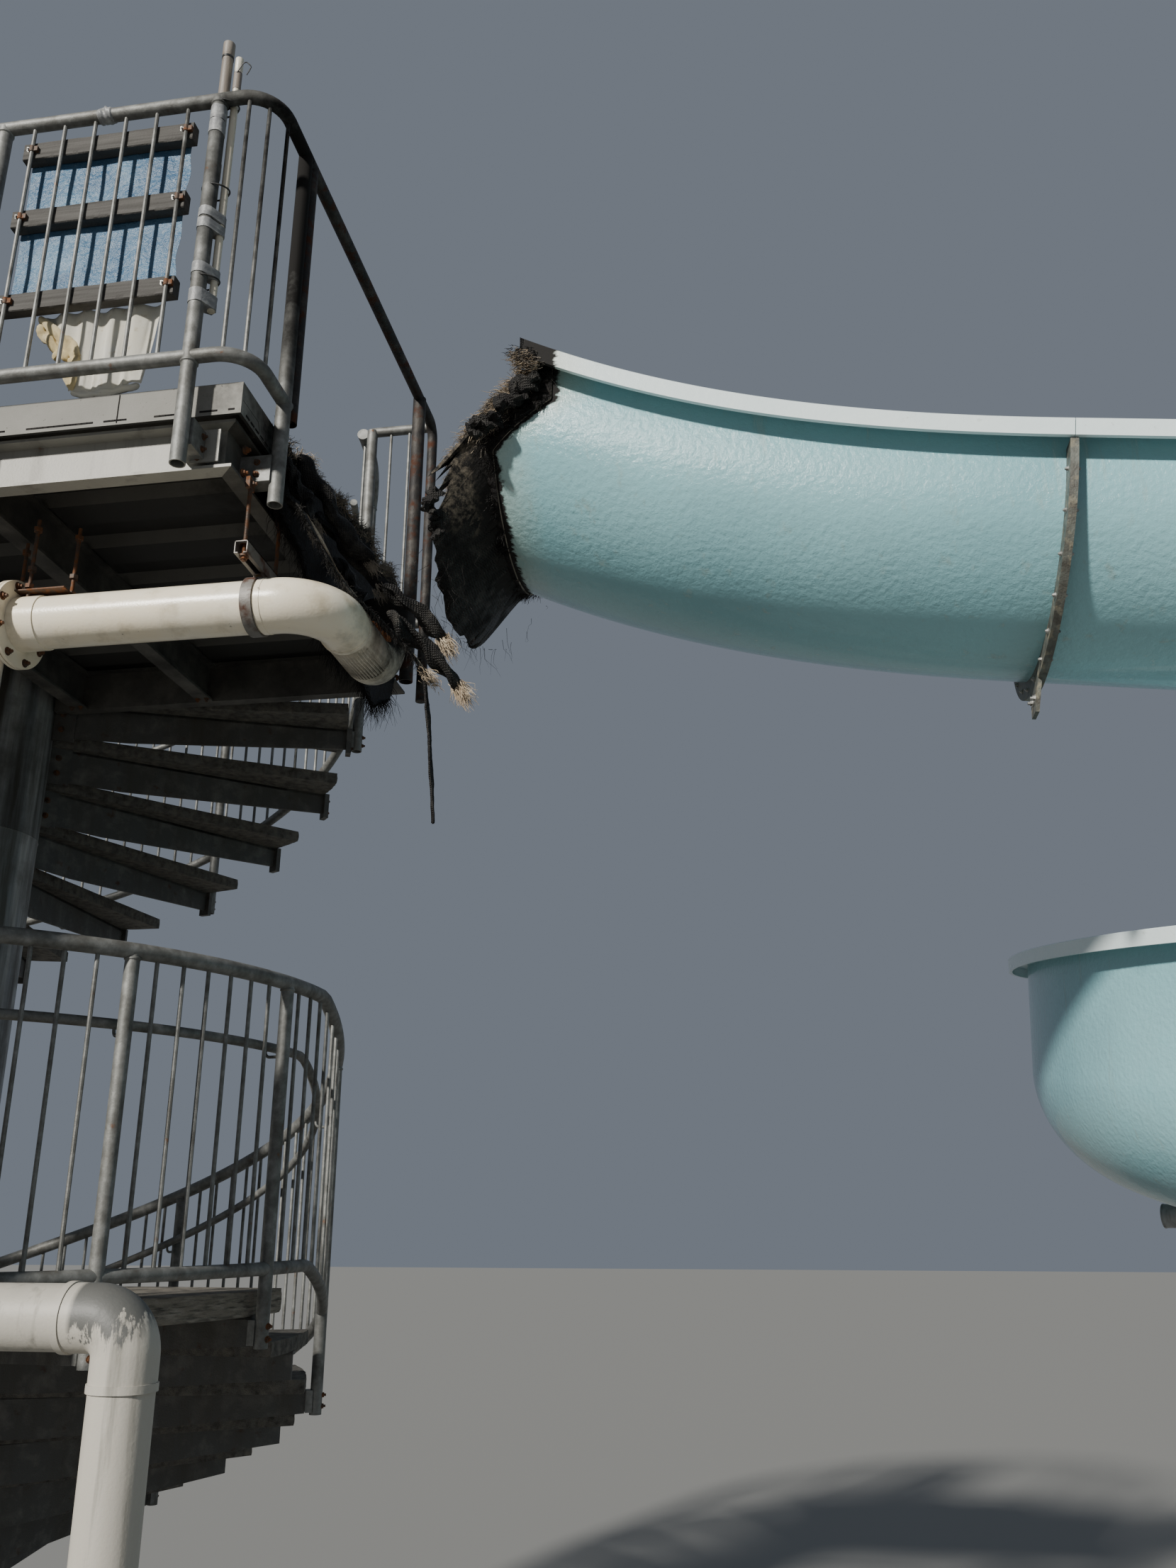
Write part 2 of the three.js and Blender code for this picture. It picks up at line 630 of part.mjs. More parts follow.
// The bar over the way to the flume, bent down at its far end, with its two burnt posts
function buildEntry() {
  const barLine = rounded([
    at(GUARD_RIGHT, ENTRY_NEAR_Y + POST_RADIUS + GAP, TOP_RAIL),
    at(GUARD_RIGHT, ENTRY_RETURN_Y, TOP_RAIL),
    at(GUARD_RIGHT, ENTRY_RETURN_Y, POST_FOOT),
  ], ENTRY_BAR_BEND);
  const loopY = ENTRY_NEAR_Y + LOOP_BAR_STEP;
  const loopFoot = DECK_TOP + LOOP_BAR_FOOT;
  const loopBar = upright(GUARD_RIGHT, loopY, loopFoot, TOP_RAIL, RAIL_RADIUS, 8);
  const tieStart = ENTRY_NEAR_Y + POST_RADIUS + GAP;
  const tieEdges = [GUARD_RIGHT - LOOP_TIE_HALF_WIDTH, GUARD_RIGHT + LOOP_TIE_HALF_WIDTH];
  const loopTie = block(...tieEdges, tieStart, loopY, loopFoot + 4, loopFoot + 4 + LOOP_TIE_HEIGHT);
  const farPost = upright(GUARD_RIGHT, ENTRY_FAR_Y, POST_FOOT, TOP_RAIL, FAR_POST_RADIUS, 8);
  const farLug = postLug(GUARD_RIGHT, ENTRY_FAR_Y, at(-1, 0, 0), RIGHT_GUARD_OFFSET);
  const pieces = [tube(barLine, RAIL_RADIUS, 6), loopBar, loopTie, farPost, farLug];
  addPart('entry_bar', join(...pieces), paint.charred);
}

// The short guard between the bar's far leg and the head of the stair, on the deck's back edge
function buildLink() {
  const right = GUARD_RIGHT - RAIL_RADIUS - GAP;
  const half = LINK_PLATE_HALF_WIDTH;
  const plateBack = DECK_BACK - BAND_INSET;
  const plateTop = DECK_TOP + LINK_PLATE_THICKNESS;
  const plate = block(-half, half, plateBack - LINK_PLATE_DEPTH, plateBack, DECK_TOP + GAP, plateTop);
  plate.translate(LINK_POST_X, 0, 0);
  const pieces = [plate, upright(LINK_POST_X, ENTRY_RETURN_Y - 10, DECK_TOP + 5, TOP_RAIL, POST_RADIUS, 8)];
  [TOP_RAIL, BOTTOM_RAIL].forEach((z) => {
    pieces.push(tube([at(LINK_POST_X, ENTRY_RETURN_Y, z), at(right, ENTRY_RETURN_Y, z)], RAIL_RADIUS, 6));
  });
  const from = at(LINK_POST_X, ENTRY_RETURN_Y, 0);
  pieces.push(...pickets(from, at(right, ENTRY_RETURN_Y, 0), BOTTOM_RAIL, TOP_RAIL, 2));
  addPart('guard_back', join(...pieces), paint.galvanised);
}

// Stair

function treadBeam(angle, top) {
  const innerRadius = COLUMN_RADIUS + GAP;
  const half = TREAD_BEAM_WIDTH / 2;
  const length = STAIR_RADIUS - innerRadius;
  const shape = new THREE.Shape();
  shape.moveTo(innerRadius, top - TREAD_BEAM_DEPTH);
  shape.lineTo(innerRadius + TREAD_BEAM_LEVEL_SHARE * length, top - TREAD_BEAM_DEPTH);
  shape.lineTo(STAIR_RADIUS, top - TREAD_BEAM_TIP_DEPTH);
  shape.lineTo(STAIR_RADIUS, top);
  shape.lineTo(innerRadius, top);
  const plate = TREAD_BEAM_PLATE;
  const web = new THREE.ExtrudeGeometry(shape, { depth: plate, bevelEnabled: false });
  web.rotateX(Math.PI / 2).translate(0, plate / 2, 0);
  const lip = block(innerRadius, STAIR_RADIUS, -plate / 2, half, top - plate, top);
  return join(web, lip).rotateZ(angle * DEG);
}

function tread(startAngle, endAngle, top) {
  const slabBottom = top - TREAD_THICKNESS;
  const slab = wedge(startAngle, endAngle, COLUMN_RADIUS + GAP, STAIR_RADIUS, slabBottom, top);
  const beamAngle = startAngle + TREAD_BEAM_TURN;
  const beam = treadBeam(beamAngle, slabBottom + 1);
  const half = SLEEVE_HALF_WIDTH;
  const sleeveEnds = [STAIR_RADIUS - 8, STAIR_RADIUS + SLEEVE_DEPTH];
  const sleeve = block(...sleeveEnds, -half, half, slabBottom - SLEEVE_HEIGHT, slabBottom + 1);
  sleeve.rotateZ(beamAngle * DEG);
  const finEnds = [COLUMN_RADIUS + GAP, COLUMN_RADIUS + FIN_REACH];
  const fin = block(...finEnds, -14, 6, slabBottom - FIN_DEPTH, slabBottom + 1);
  fin.rotateZ(beamAngle * DEG);
  return join(slab, beam, sleeve, fin);
}

function treadStart(base, index) {
  return base + (index - 1) * TREAD_ANGLE - TREAD_LAP;
}

function buildStair() {
  for (let i = 1; i <= UPPER_TREADS; i += 1) {
    const start = treadStart(STAIR_START, i);
    const top = DECK_TOP - i * RISER;
    const piece = tread(start, start + TREAD_ANGLE + TREAD_LAP, top);
    addPart(`tread_${String(i).padStart(2, '0')}`, piece, paint.concrete);
  }
  buildLanding();
  buildLowerFlight();
}

function buildLanding() {
  const bottom = LANDING_TOP - TREAD_THICKNESS - LANDING_EXTRA;
  const slab = wedge(LANDING_START, LANDING_END, COLUMN_RADIUS + GAP, STAIR_RADIUS, bottom, LANDING_TOP);
  const angles = [...LANDING_BEAMS.map((turn) => LANDING_START + turn), LANDING_END - LANDING_LAST_BEAM];
  const beams = angles.map((angle) => treadBeam(angle, bottom + 1));
  addPart('landing', join(slab, ...beams), paint.concrete);
}

function buildLowerFlight() {
  const pieces = [];
  const sleeveTop = LANDING_TOP - TREAD_THICKNESS - LANDING_EXTRA - TREAD_BEAM_DEPTH - 5;
  pieces.push(columnSleeve(FOOT_PLATE_THICKNESS + GAP, sleeveTop));
  for (let i = 1; i <= LOWER_TREADS; i += 1) {
    const start = treadStart(LOWER_START, i);
    const top = LANDING_TOP - i * RISER;
    const slabBottom = top - TREAD_THICKNESS;
    const end = start + TREAD_ANGLE + TREAD_LAP;
    pieces.push(wedge(start, end, COLUMN_RADIUS + COLUMN_SLEEVE / 2, STAIR_RADIUS, slabBottom, top));
    const beamAngle = start + TREAD_BEAM_TURN;
    if (slabBottom > TREAD_BEAM_DEPTH) {
      pieces.push(cutToSleeve(treadBeam(beamAngle, slabBottom + 1)));
    } else {
      const foot = block(FOOT_PLATE_SIZE * 0.75, STAIR_RADIUS, -6, 6, 0, slabBottom + 1);
      pieces.push(foot.rotateZ(beamAngle * DEG));
    }
  }
  addPart('lower_flight', join(...pieces), paint.concrete);
}

// The sleeve on the column that carries the lower treads
function columnSleeve(bottom, top) {
  const shape = new THREE.Shape();
  shape.absarc(0, 0, COLUMN_RADIUS + COLUMN_SLEEVE, 0, 2 * Math.PI, false);
  const hole = new THREE.Path();
  hole.absarc(0, 0, COLUMN_RADIUS + GAP + 2, 0, 2 * Math.PI, true);
  shape.holes.push(hole);
  const geometry = new THREE.ExtrudeGeometry(shape, {
    depth: top - bottom,
    bevelEnabled: false,
    curveSegments: COLUMN_SIDES,
  });
  return geometry.translate(0, 0, bottom);
}

function cutToSleeve(beam) {
  return cut(beam, upright(0, 0, -100, DECK_TOP, COLUMN_RADIUS + COLUMN_SLEEVE / 2, COLUMN_SIDES));
}

// Stair guards

function railHeight(angle) {
  const slopeEnd = STAIR_START + (TOP_RAIL - LANDING_RAIL) / RAIL_FALL;
  if (angle <= STAIR_START) return TOP_RAIL;
  if (angle <= slopeEnd) return TOP_RAIL - (angle - STAIR_START) * RAIL_FALL;
  if (angle <= LOWER_RAIL_START) return LANDING_RAIL;
  return LANDING_RAIL - (angle - LOWER_RAIL_START) * RAIL_FALL;
}

function railTube(fromAngle, toAngle, radius, drop, tubeRadius, sides) {
  const slopeEnd = STAIR_START + (TOP_RAIL - LANDING_RAIL) / RAIL_FALL;
  const steps = Math.round((toAngle - fromAngle) / 10);
  const angles = spread(fromAngle, toAngle, steps);
  [STAIR_START, slopeEnd, LOWER_RAIL_START].forEach((turn) => {
    if (turn <= fromAngle + 3 || turn >= toAngle - 3) return;
    const gaps = angles.map((angle) => Math.abs(angle - turn));
    angles[gaps.indexOf(Math.min(...gaps))] = turn;
  });
  const frames = angles.map((angle) => ({
    at: polar(angle, radius, railHeight(angle) - drop),
    side: at(0, 0, 1),
    up: polar(angle, 1, 0),
  }));
  return loft([ring(tubeRadius, sides)], frames);
}

function stairGuard(name, fromAngle, toAngle, postAngles, lugTops, seatRadius) {
  const trim = (GAP / 2 / GUARD_RADIUS) / DEG;
  const from = fromAngle + trim;
  const to = toAngle - trim;
  const pieces = [
    railTube(from, to, GUARD_RADIUS, 0, STAIR_RAIL_RADIUS, 6),
    railTube(from, to, GUARD_RADIUS, RAIL_SPACING, RAIL_RADIUS, 6),
    railTube(Math.max(from, HANDRAIL_START), to, GUARD_RADIUS - HANDRAIL_INSET, HANDRAIL_DROP,
      HANDRAIL_RADIUS, 6),
  ];
  const count = Math.round((toAngle - fromAngle) / STAIR_PICKET_ANGLE);
  for (let i = 0; i < count; i += 1) {
    const angle = fromAngle + ((i + 0.5) * (toAngle - fromAngle)) / count;
    const nearPost = postAngles.some((post) => Math.abs(post - angle) < STAIR_PICKET_ANGLE * 0.45);
    if (!nearPost) {
      const spot = polar(angle, GUARD_RADIUS, 0);
      const top = railHeight(angle);
      pieces.push(upright(spot.x, spot.y, top - RAIL_SPACING, top, STAIR_PICKET_RADIUS, 3));
    }
  }
  postAngles.forEach((angle, i) => {
    const spot = polar(angle, GUARD_RADIUS, 0);
    const top = railHeight(angle);
    pieces.push(upright(spot.x, spot.y, lugTops[i] - 150, top, POST_RADIUS, 8));
    const handrail = top - HANDRAIL_DROP;
    const inner = GUARD_RADIUS - HANDRAIL_INSET;
    const bracket = block(inner, GUARD_RADIUS, -6, 6, handrail - 45, handrail - 33);
    const stem = block(inner - 6, inner + 6, -6, 6, handrail - 45, handrail);
    const seat = block(seatRadius + GAP, GUARD_RADIUS, -24, 24, lugTops[i] - 140, lugTops[i] - 60);
    pieces.push(...[bracket, stem, seat].map((piece) => piece.rotateZ(angle * DEG)));
  });
  addPart(name, join(...pieces), paint.galvanised);
}

function treadPost(base, index) {
  return treadStart(base, index) + TREAD_BEAM_TURN;
}

function upperLug(index) {
  return DECK_TOP - index * RISER;
}

function lowerLug(index) {
  return LANDING_TOP - index * RISER;
}

function buildStairGuards() {
  const upper = [[1, 4, 7], [8, 11], [13]];
  const upperEnds = [[4, 132], [132, 206], [206, LANDING_START]];
  upper.forEach((indices, i) => {
    stairGuard(`stair_guard_upper_${i + 1}`, upperEnds[i][0], upperEnds[i][1],
      indices.map((index) => treadPost(STAIR_START, index)), indices.map(upperLug),
      STAIR_RADIUS + SLEEVE_DEPTH);
  });
  const landingPosts = [...LANDING_BEAMS.map((turn) => LANDING_START + turn), LANDING_POST_ANGLE];
  const landingLugs = landingPosts.map(() => LANDING_TOP - LANDING_EXTRA);
  stairGuard('landing_guard', LANDING_START, GUARD_TURN, landingPosts, landingLugs, STAIR_RADIUS);
  const lower = [[2, 5], [8, 10], [12]];
  const lowerEnds = [[GUARD_TURN, 446], [446, 536], [536, STAIR_END - 5]];
  lower.forEach((indices, i) => {
    stairGuard(`stair_guard_lower_${i + 1}`, lowerEnds[i][0], lowerEnds[i][1],
      indices.map((index) => treadPost(LOWER_START, index)), indices.map(lowerLug), STAIR_RADIUS);
  });
}

// Flume

// Height and fall of the trough's underside line, by the distance along the path from the first joint
function keelLine(s) {
  const back = Math.max(-s, 0);
  const straight = HELIX_X - FIRST_JOINT_X;
  const turn = Math.max(s - straight, 0) / HELIX_RADIUS;
  if (turn === 0) {
    const [square, cube] = ENTRY_CURVE;
    return {
      height: FIRST_JOINT_KEEL - FLUME_SLOPE * s + square * back ** 2 + cube * back ** 3,
      slope: FLUME_SLOPE + 2 * square * back + 3 * cube * back ** 2,
    };
  }
  const [a, b, c] = BEND_SLOPE;
  const u = Math.min(turn / BEND_SLOPE_TURN, 1);
  const slope = a + b * u + c * u ** 2;
  const fall = HELIX_RADIUS * BEND_SLOPE_TURN * (a * u + (b * u ** 2) / 2 + (c * u ** 3) / 3);
  const rest = HELIX_RADIUS * Math.max(turn - BEND_SLOPE_TURN, 0) * slope;
  return { height: FIRST_JOINT_KEEL - FLUME_SLOPE * straight - fall - rest, slope };
}

// How far the softened end of the burnt bay hangs below the trough's line
function droop(s) {
  return DROOP * THREE.MathUtils.smoothstep(DROOP_START - s, 0, DROOP_LENGTH);
}

// A frame square to the path: its up direction leans forward with the fall
function flumePath(s) {
  const straight = HELIX_X - FIRST_JOINT_X;
  const { height, slope } = keelLine(s);
  const turn = Math.max(s - straight, 0) / HELIX_RADIUS;
  const forward = at(Math.cos(turn), Math.sin(turn), 0);
  const side = at(Math.sin(turn), -Math.cos(turn), 0);
  const up = at(0, 0, 1).addScaledVector(forward, slope).normalize();
  if (turn === 0) return { at: at(FIRST_JOINT_X + s, FLUME_CENTRE_Y, height), side, up, forward };
  const centre = at(HELIX_X, HELIX_Y, height);
  return { at: centre.addScaledVector(side, HELIX_RADIUS), side, up, forward };
}

// The wall on the outside of the bends is higher and its rim wider; both grow along the second bay
function outerShare(s) {
  const straight = HELIX_X - FIRST_JOINT_X;
  return THREE.MathUtils.smoothstep(s, 0.25 * straight, straight);
}

function outerWall(s) {
  return THREE.MathUtils.lerp(FLUME_LOW_WALL, FLUME_HIGH_WALL, outerShare(s));
}

// Points round the trough at a distance outside its inner face, from the inside wall to the outer
// wall; sag lowers the round part below the path
function trough(distance, innerTop, outerTop, sag = 0, arcSteps = 8) {
  const r = FLUME_RADIUS + distance;
  const trim = (top) => Math.asin(Math.max(FLUME_RADIUS - top, 0) / r);
  const from = Math.PI + trim(innerTop);
  const to = 2 * Math.PI - trim(outerTop);
  const points = innerTop > FLUME_RADIUS ? [[-r, innerTop]] : [];
  for (let i = 0; i <= arcSteps; i += 1) {
    const angle = from + ((to - from) * i) / arcSteps;
    points.push([r * Math.cos(angle), FLUME_RADIUS - sag + r * Math.sin(angle)]);
  }
  if (outerTop > FLUME_RADIUS) points.push([r, outerTop]);
  return points;
}

function shellSection(s) {
  const inner = FLUME_LOW_WALL;
  const outer = outerWall(s);
  const w = FLUME_WALL;
  const r = FLUME_RADIUS;
  const innerLip = r + FLUME_RIM_WIDTH;
  const outerLip = r + THREE.MathUtils.lerp(FLUME_RIM_WIDTH, OUTER_RIM_WIDTH, outerShare(s));
  const outside = trough(w, inner - w, outer - w, droop(s));
  const inside = trough(0, inner, outer, droop(s));
  const innerFoot = inner - FLUME_RIM_FACE;
  const outerFoot = outer - FLUME_RIM_FACE;
  const innerRim = [
    [-innerLip, inner], [-innerLip, innerFoot], [w - innerLip, innerFoot], [w - innerLip, inner - w],
  ];
  const outerRim = [
    [outerLip - w, outer - w], [outerLip - w, outerFoot], [outerLip, outerFoot], [outerLip, outer],
  ];
  return [...innerRim, ...outside, ...outerRim, ...inside.reverse()];
}

function flangeSection(s) {
  const drop = FLUME_RIM_FACE + 4;
  const inner = FLUME_LOW_WALL - drop;
  const outer = outerWall(s) - drop;
  const outside = trough(FLUME_WALL + FLUME_FLANGE, inner, outer);
  return [...outside, ...trough(FLUME_WALL - 5, inner, outer).reverse()];
}

function flumeBay(name, stations, burnt = false) {
  const start = stations[0];
  const end = stations[stations.length - 1];
  const inner = [start + SHELL_INSET, ...stations.slice(1, -1), end - SHELL_INSET];
  const shell = loft(inner.map(shellSection), inner.map(flumePath));
  const t = FLUME_FLANGE_THICKNESS;
  const flange = (from, to) => loft([from, to].map(flangeSection), [from, to].map(flumePath));
  const pieces = [burnt ? cutBurntEnd(shell) : join(shell, flange(start, start + t))];
  pieces.push(flange(end - t, end));
  pieces.push(keelLug(end, t));
  addPart(name, join(...pieces), paint.flume);
}

// The fin below a joint where an arm is bolted on
function keelLug(s, thickness) {
  const high = 8 - FLUME_WALL - FLUME_FLANGE;
  const [wide, narrow] = KEEL_LUG_HALF_WIDTHS;
  const low = -KEEL_LUG_DROP;
  const shape = [[-wide, high], [-narrow, low], [narrow, low], [wide, high]];
  return loft([shape, shape], [flumePath(s - thickness), flumePath(s)]);
}

// The ragged line of the burnt end in the side view, as X and height from the top down
const BURNT_LINE = [
  [2640, 5500], [2640, 5130], [2620, 5070], [2527, 4990], [2398, 4880], [2338, 4720], [2318, 4600],
  [2300, 4500], [2300, 4000],
];

function cutBurntEnd(shell) {
  const left = FIRST_JOINT_X + BURNT_START - DROOP;
  const profile = [...BURNT_LINE, [left, BURNT_LINE[BURNT_LINE.length - 1][1]], [left, BURNT_LINE[0][1]]];
  const reach = FLUME_RADIUS + 200;
  const frames = [FLUME_CENTRE_Y - reach, FLUME_CENTRE_Y + reach].map((y) => ({
    at: at(0, y, 0),
    side: at(1, 0, 0),
    up: at(0, 0, 1),
  }));
  return cut(shell, loft([profile], frames));
}

function buildFlume() {
  const straight = HELIX_X - FIRST_JOINT_X;
  const bend = BEND_ANGLE * DEG * HELIX_RADIUS;
  const softEnd = [BURNT_START, -1900, DROOP_START - DROOP_LENGTH, DROOP_START - DROOP_LENGTH / 2];
  const burntStations = [...softEnd, DROOP_START, -1430, -1180, -880, -450, -GAP / 2];
  flumeBay('flume_bay_1', burntStations, true);
  flumeBay('flume_bay_2', spread(GAP / 2, straight - GAP / 2, 6));
  for (let i = 0; i < BEND_COUNT; i += 1) {
    const start = straight + i * bend;
    flumeBay(`flume_bay_${i + 3}`, spread(start + GAP / 2, start + bend - GAP / 2, 7));
  }
}

function buildMast() {
  const straight = HELIX_X - FIRST_JOINT_X;
  const bend = BEND_ANGLE * DEG * HELIX_RADIUS;
  const half = MAST_PLATE_SIZE / 2;
  const plate = block(-half, half, -half, half, 0, FOOT_PLATE_THICKNESS).translate(HELIX_X, HELIX_Y, 0);
  addPart('mast_foot_plate', plate, paint.steel);
  const pieces = [upright(HELIX_X, HELIX_Y, FOOT_PLATE_THICKNESS + GAP, MAST_TOP, MAST_RADIUS, 24)];
  for (let i = 0; i <= BEND_COUNT; i += 1) {
    const lugFace = straight + i * bend - GAP / 2 - FLUME_FLANGE_THICKNESS - GAP;
    const armDrop = KEEL_LUG_DROP + ARM_RADIUS + ARM_CLEARANCE;
    const frames = [flumePath(lugFace - SADDLE_THICKNESS), flumePath(lugFace)];
    const end = frames[0].at.clone().addScaledVector(frames[0].up, -armDrop);
    const from = at(HELIX_X, HELIX_Y, end.z);
    pieces.push(tube([from, end.addScaledVector(frames[0].side, ARM_REACH)], ARM_RADIUS, 8));
    const half = SADDLE_HALF_WIDTH;
    const top = SADDLE_LAP - KEEL_LUG_DROP;
    const saddle = [[-half, -armDrop], [half, -armDrop], [half, top], [-half, top]];
    pieces.push(loft([saddle, saddle], frames));
  }
  addPart('flume_mast', join(...pieces), paint.steel);
}

// Water pipes

function buildPipes() {
  const jetLine = rounded([
    at(VALVE_X + VALVE_THICKNESS / 2, PIPE_Y, JET_PIPE_Z),
    at(JET_PIPE_TURN_X, PIPE_Y, JET_PIPE_Z),
    at(JET_PIPE_TURN_X, JET_PIPE_RISE_Y, JET_PIPE_Z),
    at(JET_PIPE_TURN_X, JET_PIPE_RISE_Y, JET_PIPE_Z + JET_PIPE_RISE),
  ], JET_BEND, 5);
  addPart('jet_pipe', tube(jetLine, PIPE_RADIUS, 12), paint.plastic);
  const thickness = VALVE_THICKNESS - 2 * GAP;
  const valve = new THREE.CylinderGeometry(VALVE_RADIUS, VALVE_RADIUS, thickness, 16).rotateZ(Math.PI / 2);
  addPart('valve_flange', valve.translate(VALVE_X, PIPE_Y, JET_PIPE_Z), paint.plastic);
  const feedLine = rounded([
    at(FEED_PIPE_X, PIPE_Y, 0),
    at(FEED_PIPE_X, PIPE_Y, FEED_PIPE_Z),
    at(RISER_PIPE_X, PIPE_Y, FEED_PIPE_Z),
    at(RISER_PIPE_X, PIPE_Y, JET_PIPE_Z),
    at(VALVE_X - VALVE_THICKNESS / 2, PIPE_Y, JET_PIPE_Z),
  ], FEED_BEND, 4);
  addPart('feed_pipe', tube(feedLine, PIPE_RADIUS, 12), paint.greyPipe);
}

// A strap round the pipe, under a strut that hangs on two rods from the frame's right channel
function buildHanger() {
  const sides = 16;
  const inner = (PIPE_RADIUS + GAP) / Math.cos(Math.PI / sides);
  const outline = (radius) => ring(radius, sides).map(([x, y]) => new THREE.Vector2(x, y));
  const strapShape = new THREE.Shape(outline(inner + STRAP_THICKNESS));
  strapShape.holes.push(new THREE.Path(outline(inner)));
  const strap = new THREE.ExtrudeGeometry(strapShape, { depth: STRAP_WIDTH, bevelEnabled: false });
  strap.rotateY(Math.PI / 2).translate(HANGER_X - STRAP_WIDTH / 2, PIPE_Y, JET_PIPE_Z);
  const half = STRUT_SIZE / 2;
  const strut = block(-half, half, HANGER_RODS[0] - 25, HANGER_RODS[1] + 25, STRUT_Z, STRUT_Z + STRUT_SIZE);
  const hook = block(-16, 16, PIPE_Y - 10, PIPE_Y + 10, JET_PIPE_Z + inner, STRUT_Z + 1);
  const pieces = [strap, strut.translate(HANGER_X, 0, 0), hook.translate(HANGER_X, 0, 0)];
  HANGER_RODS.forEach((y) => {
    pieces.push(upright(HANGER_X, y, STRUT_Z + 1, FRAME_BOTTOM + 20, ROD_RADIUS, 6));
    const edge = DECK_RIGHT - FLANGE_INSET + GAP;
    pieces.push(block(edge, HANGER_X + 5, y - 18, y + 18, FRAME_BOTTOM - 8, FRAME_BOTTOM + 30));
  });
  addPart('pipe_hanger', join(...pieces), paint.steel);
}

// Things fixed on the front guard

function buildScreen() {
  const front = GUARD_FRONT + PICKET_RADIUS + GAP;
  const back = front + PLANK_DEPTH;
  ['top', 'middle', 'bottom'].forEach((place, i) => {
    const plank = block(PLANK_LEFT, PLANK_RIGHT, front, back, PLANK_FEET[i], PLANK_FEET[i] + PLANK_HEIGHT);
    addPart(`screen_plank_${place}`, plank, paint.plank);
  });
  const behind = back + GAP;
  const left = PLANK_LEFT + BANNER_INSET;
  const right = PLANK_RIGHT - BANNER_INSET;
  const banner = block(left, right, behind, behind + BANNER_THICKNESS, BANNER_FOOT, BANNER_TOP);
  addPart('banner', banner, paint.vinyl);
  const clothBack = behind + CLOTH_DEPTH;
  const cloth = block(CLOTH_LEFT, CLOTH_RIGHT, behind, clothBack, DECK_TOP + GAP, CLOTH_TOP);
  addPart('hanging_cloth', cloth, paint.cloth);
}

function buildPoles() {
  const railBack = GUARD_FRONT + RAIL_RADIUS + GAP;
  const [brownFoot, brownTop] = BROWN_POLE_ENDS;
  const brownY = railBack + BROWN_POLE_RADIUS;
  const brown = upright(BROWN_POLE_X, brownY, brownFoot, brownTop, BROWN_POLE_RADIUS, 10);
  addPart('brown_pole', brown, paint.plank);
  const [whiteFoot, whiteTop] = WHITE_POLE_ENDS;
  const whiteY = railBack + WHITE_POLE_RADIUS;
  const white = upright(WHITE_POLE_X, whiteY, whiteFoot, whiteTop, WHITE_POLE_RADIUS, 8);
  addPart('white_pole', white, paint.plastic);
}

// A strip that hangs along a route of X and height, with its edges in Y
function strip(route) {
  const half = FLAP_THICKNESS / 2;
  const sections = route.map(([, , y0, y1]) => [[y0, -half], [y1, -half], [y1, half], [y0, half]]);
  const frames = route.map(([x, z], i) => {
    const before = route[Math.max(i - 1, 0)];
    const after = route[Math.min(i + 1, route.length - 1)];
    const along = at(after[0] - before[0], 0, after[1] - before[1]).normalize();
    return { at: at(x, 0, z), side: at(0, 1, 0), up: at(-along.z, 0, along.x) };
  });
  return loft(sections, frames);
}

// Burnt remains of the tub at the platform's edge, and the woven flap over the pipe
function buildRemains() {
  const face = DECK_RIGHT + GAP;
  const wall = loft([REMAINS_OUTLINE], [face, face + REMAINS_THICKNESS].map((x) => ({
    at: at(x, 0, 0),
    side: at(0, 1, 0),
    up: at(0, 0, 1),
  })));
  addPart('tub_remains', wall, paint.charred);
  addPart('burnt_flap', join(strip(FLAP_ROUTE), strip(TAIL_ROUTE)), paint.charred);
}

buildColumn();
buildDeck();
buildFrame();
buildFrontGuard();
buildLeftGuard();
buildEntry();
buildLink();
buildStair();
buildStairGuards();
buildFlume();
buildMast();
buildPipes();
buildHanger();
buildScreen();
buildPoles();
buildRemains();

export default tower;
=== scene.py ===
"""Water slide tower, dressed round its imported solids.

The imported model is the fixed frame. Every piece here lies in that frame, in metres, with heights
from the ground. Shapes are surfaces worked out on grids, or profiles carried along a path.
"""
import math

import bpy
import numpy as np
from bpy.props import FloatProperty, FloatVectorProperty, PointerProperty
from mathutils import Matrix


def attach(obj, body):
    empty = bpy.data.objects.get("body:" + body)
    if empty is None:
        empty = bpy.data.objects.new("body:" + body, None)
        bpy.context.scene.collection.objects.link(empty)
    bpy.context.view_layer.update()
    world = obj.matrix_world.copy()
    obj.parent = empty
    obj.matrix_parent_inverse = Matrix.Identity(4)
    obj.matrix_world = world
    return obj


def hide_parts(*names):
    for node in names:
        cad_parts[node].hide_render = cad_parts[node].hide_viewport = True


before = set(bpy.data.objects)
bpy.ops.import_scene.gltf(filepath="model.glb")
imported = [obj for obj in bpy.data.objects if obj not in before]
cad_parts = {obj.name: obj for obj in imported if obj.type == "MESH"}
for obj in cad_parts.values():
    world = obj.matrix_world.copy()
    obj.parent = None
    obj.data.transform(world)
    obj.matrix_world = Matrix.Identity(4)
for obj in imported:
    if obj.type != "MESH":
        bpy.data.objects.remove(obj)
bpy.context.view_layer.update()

bl_info = {
    "name": "Water slide tower",
    "version": (1, 0, 0),
    "blender": (4, 5, 0),
    "location": "3D View > Sidebar > Slide tower",
    "description": "Builds the visible surfaces of a burnt water slide tower on its solids",
    "category": "Object",
}

TAU = 2 * math.pi

# Platform and column: heights, radii and limits in X and Y that the pieces share with the solids
DECK_TOP = 4.872
DECK_X = (-0.900, 1.857)
DECK_Y = (-1.677, 0.130)
COLUMN_RADIUS = 0.254
COLUMN_FOOT = 0.0303

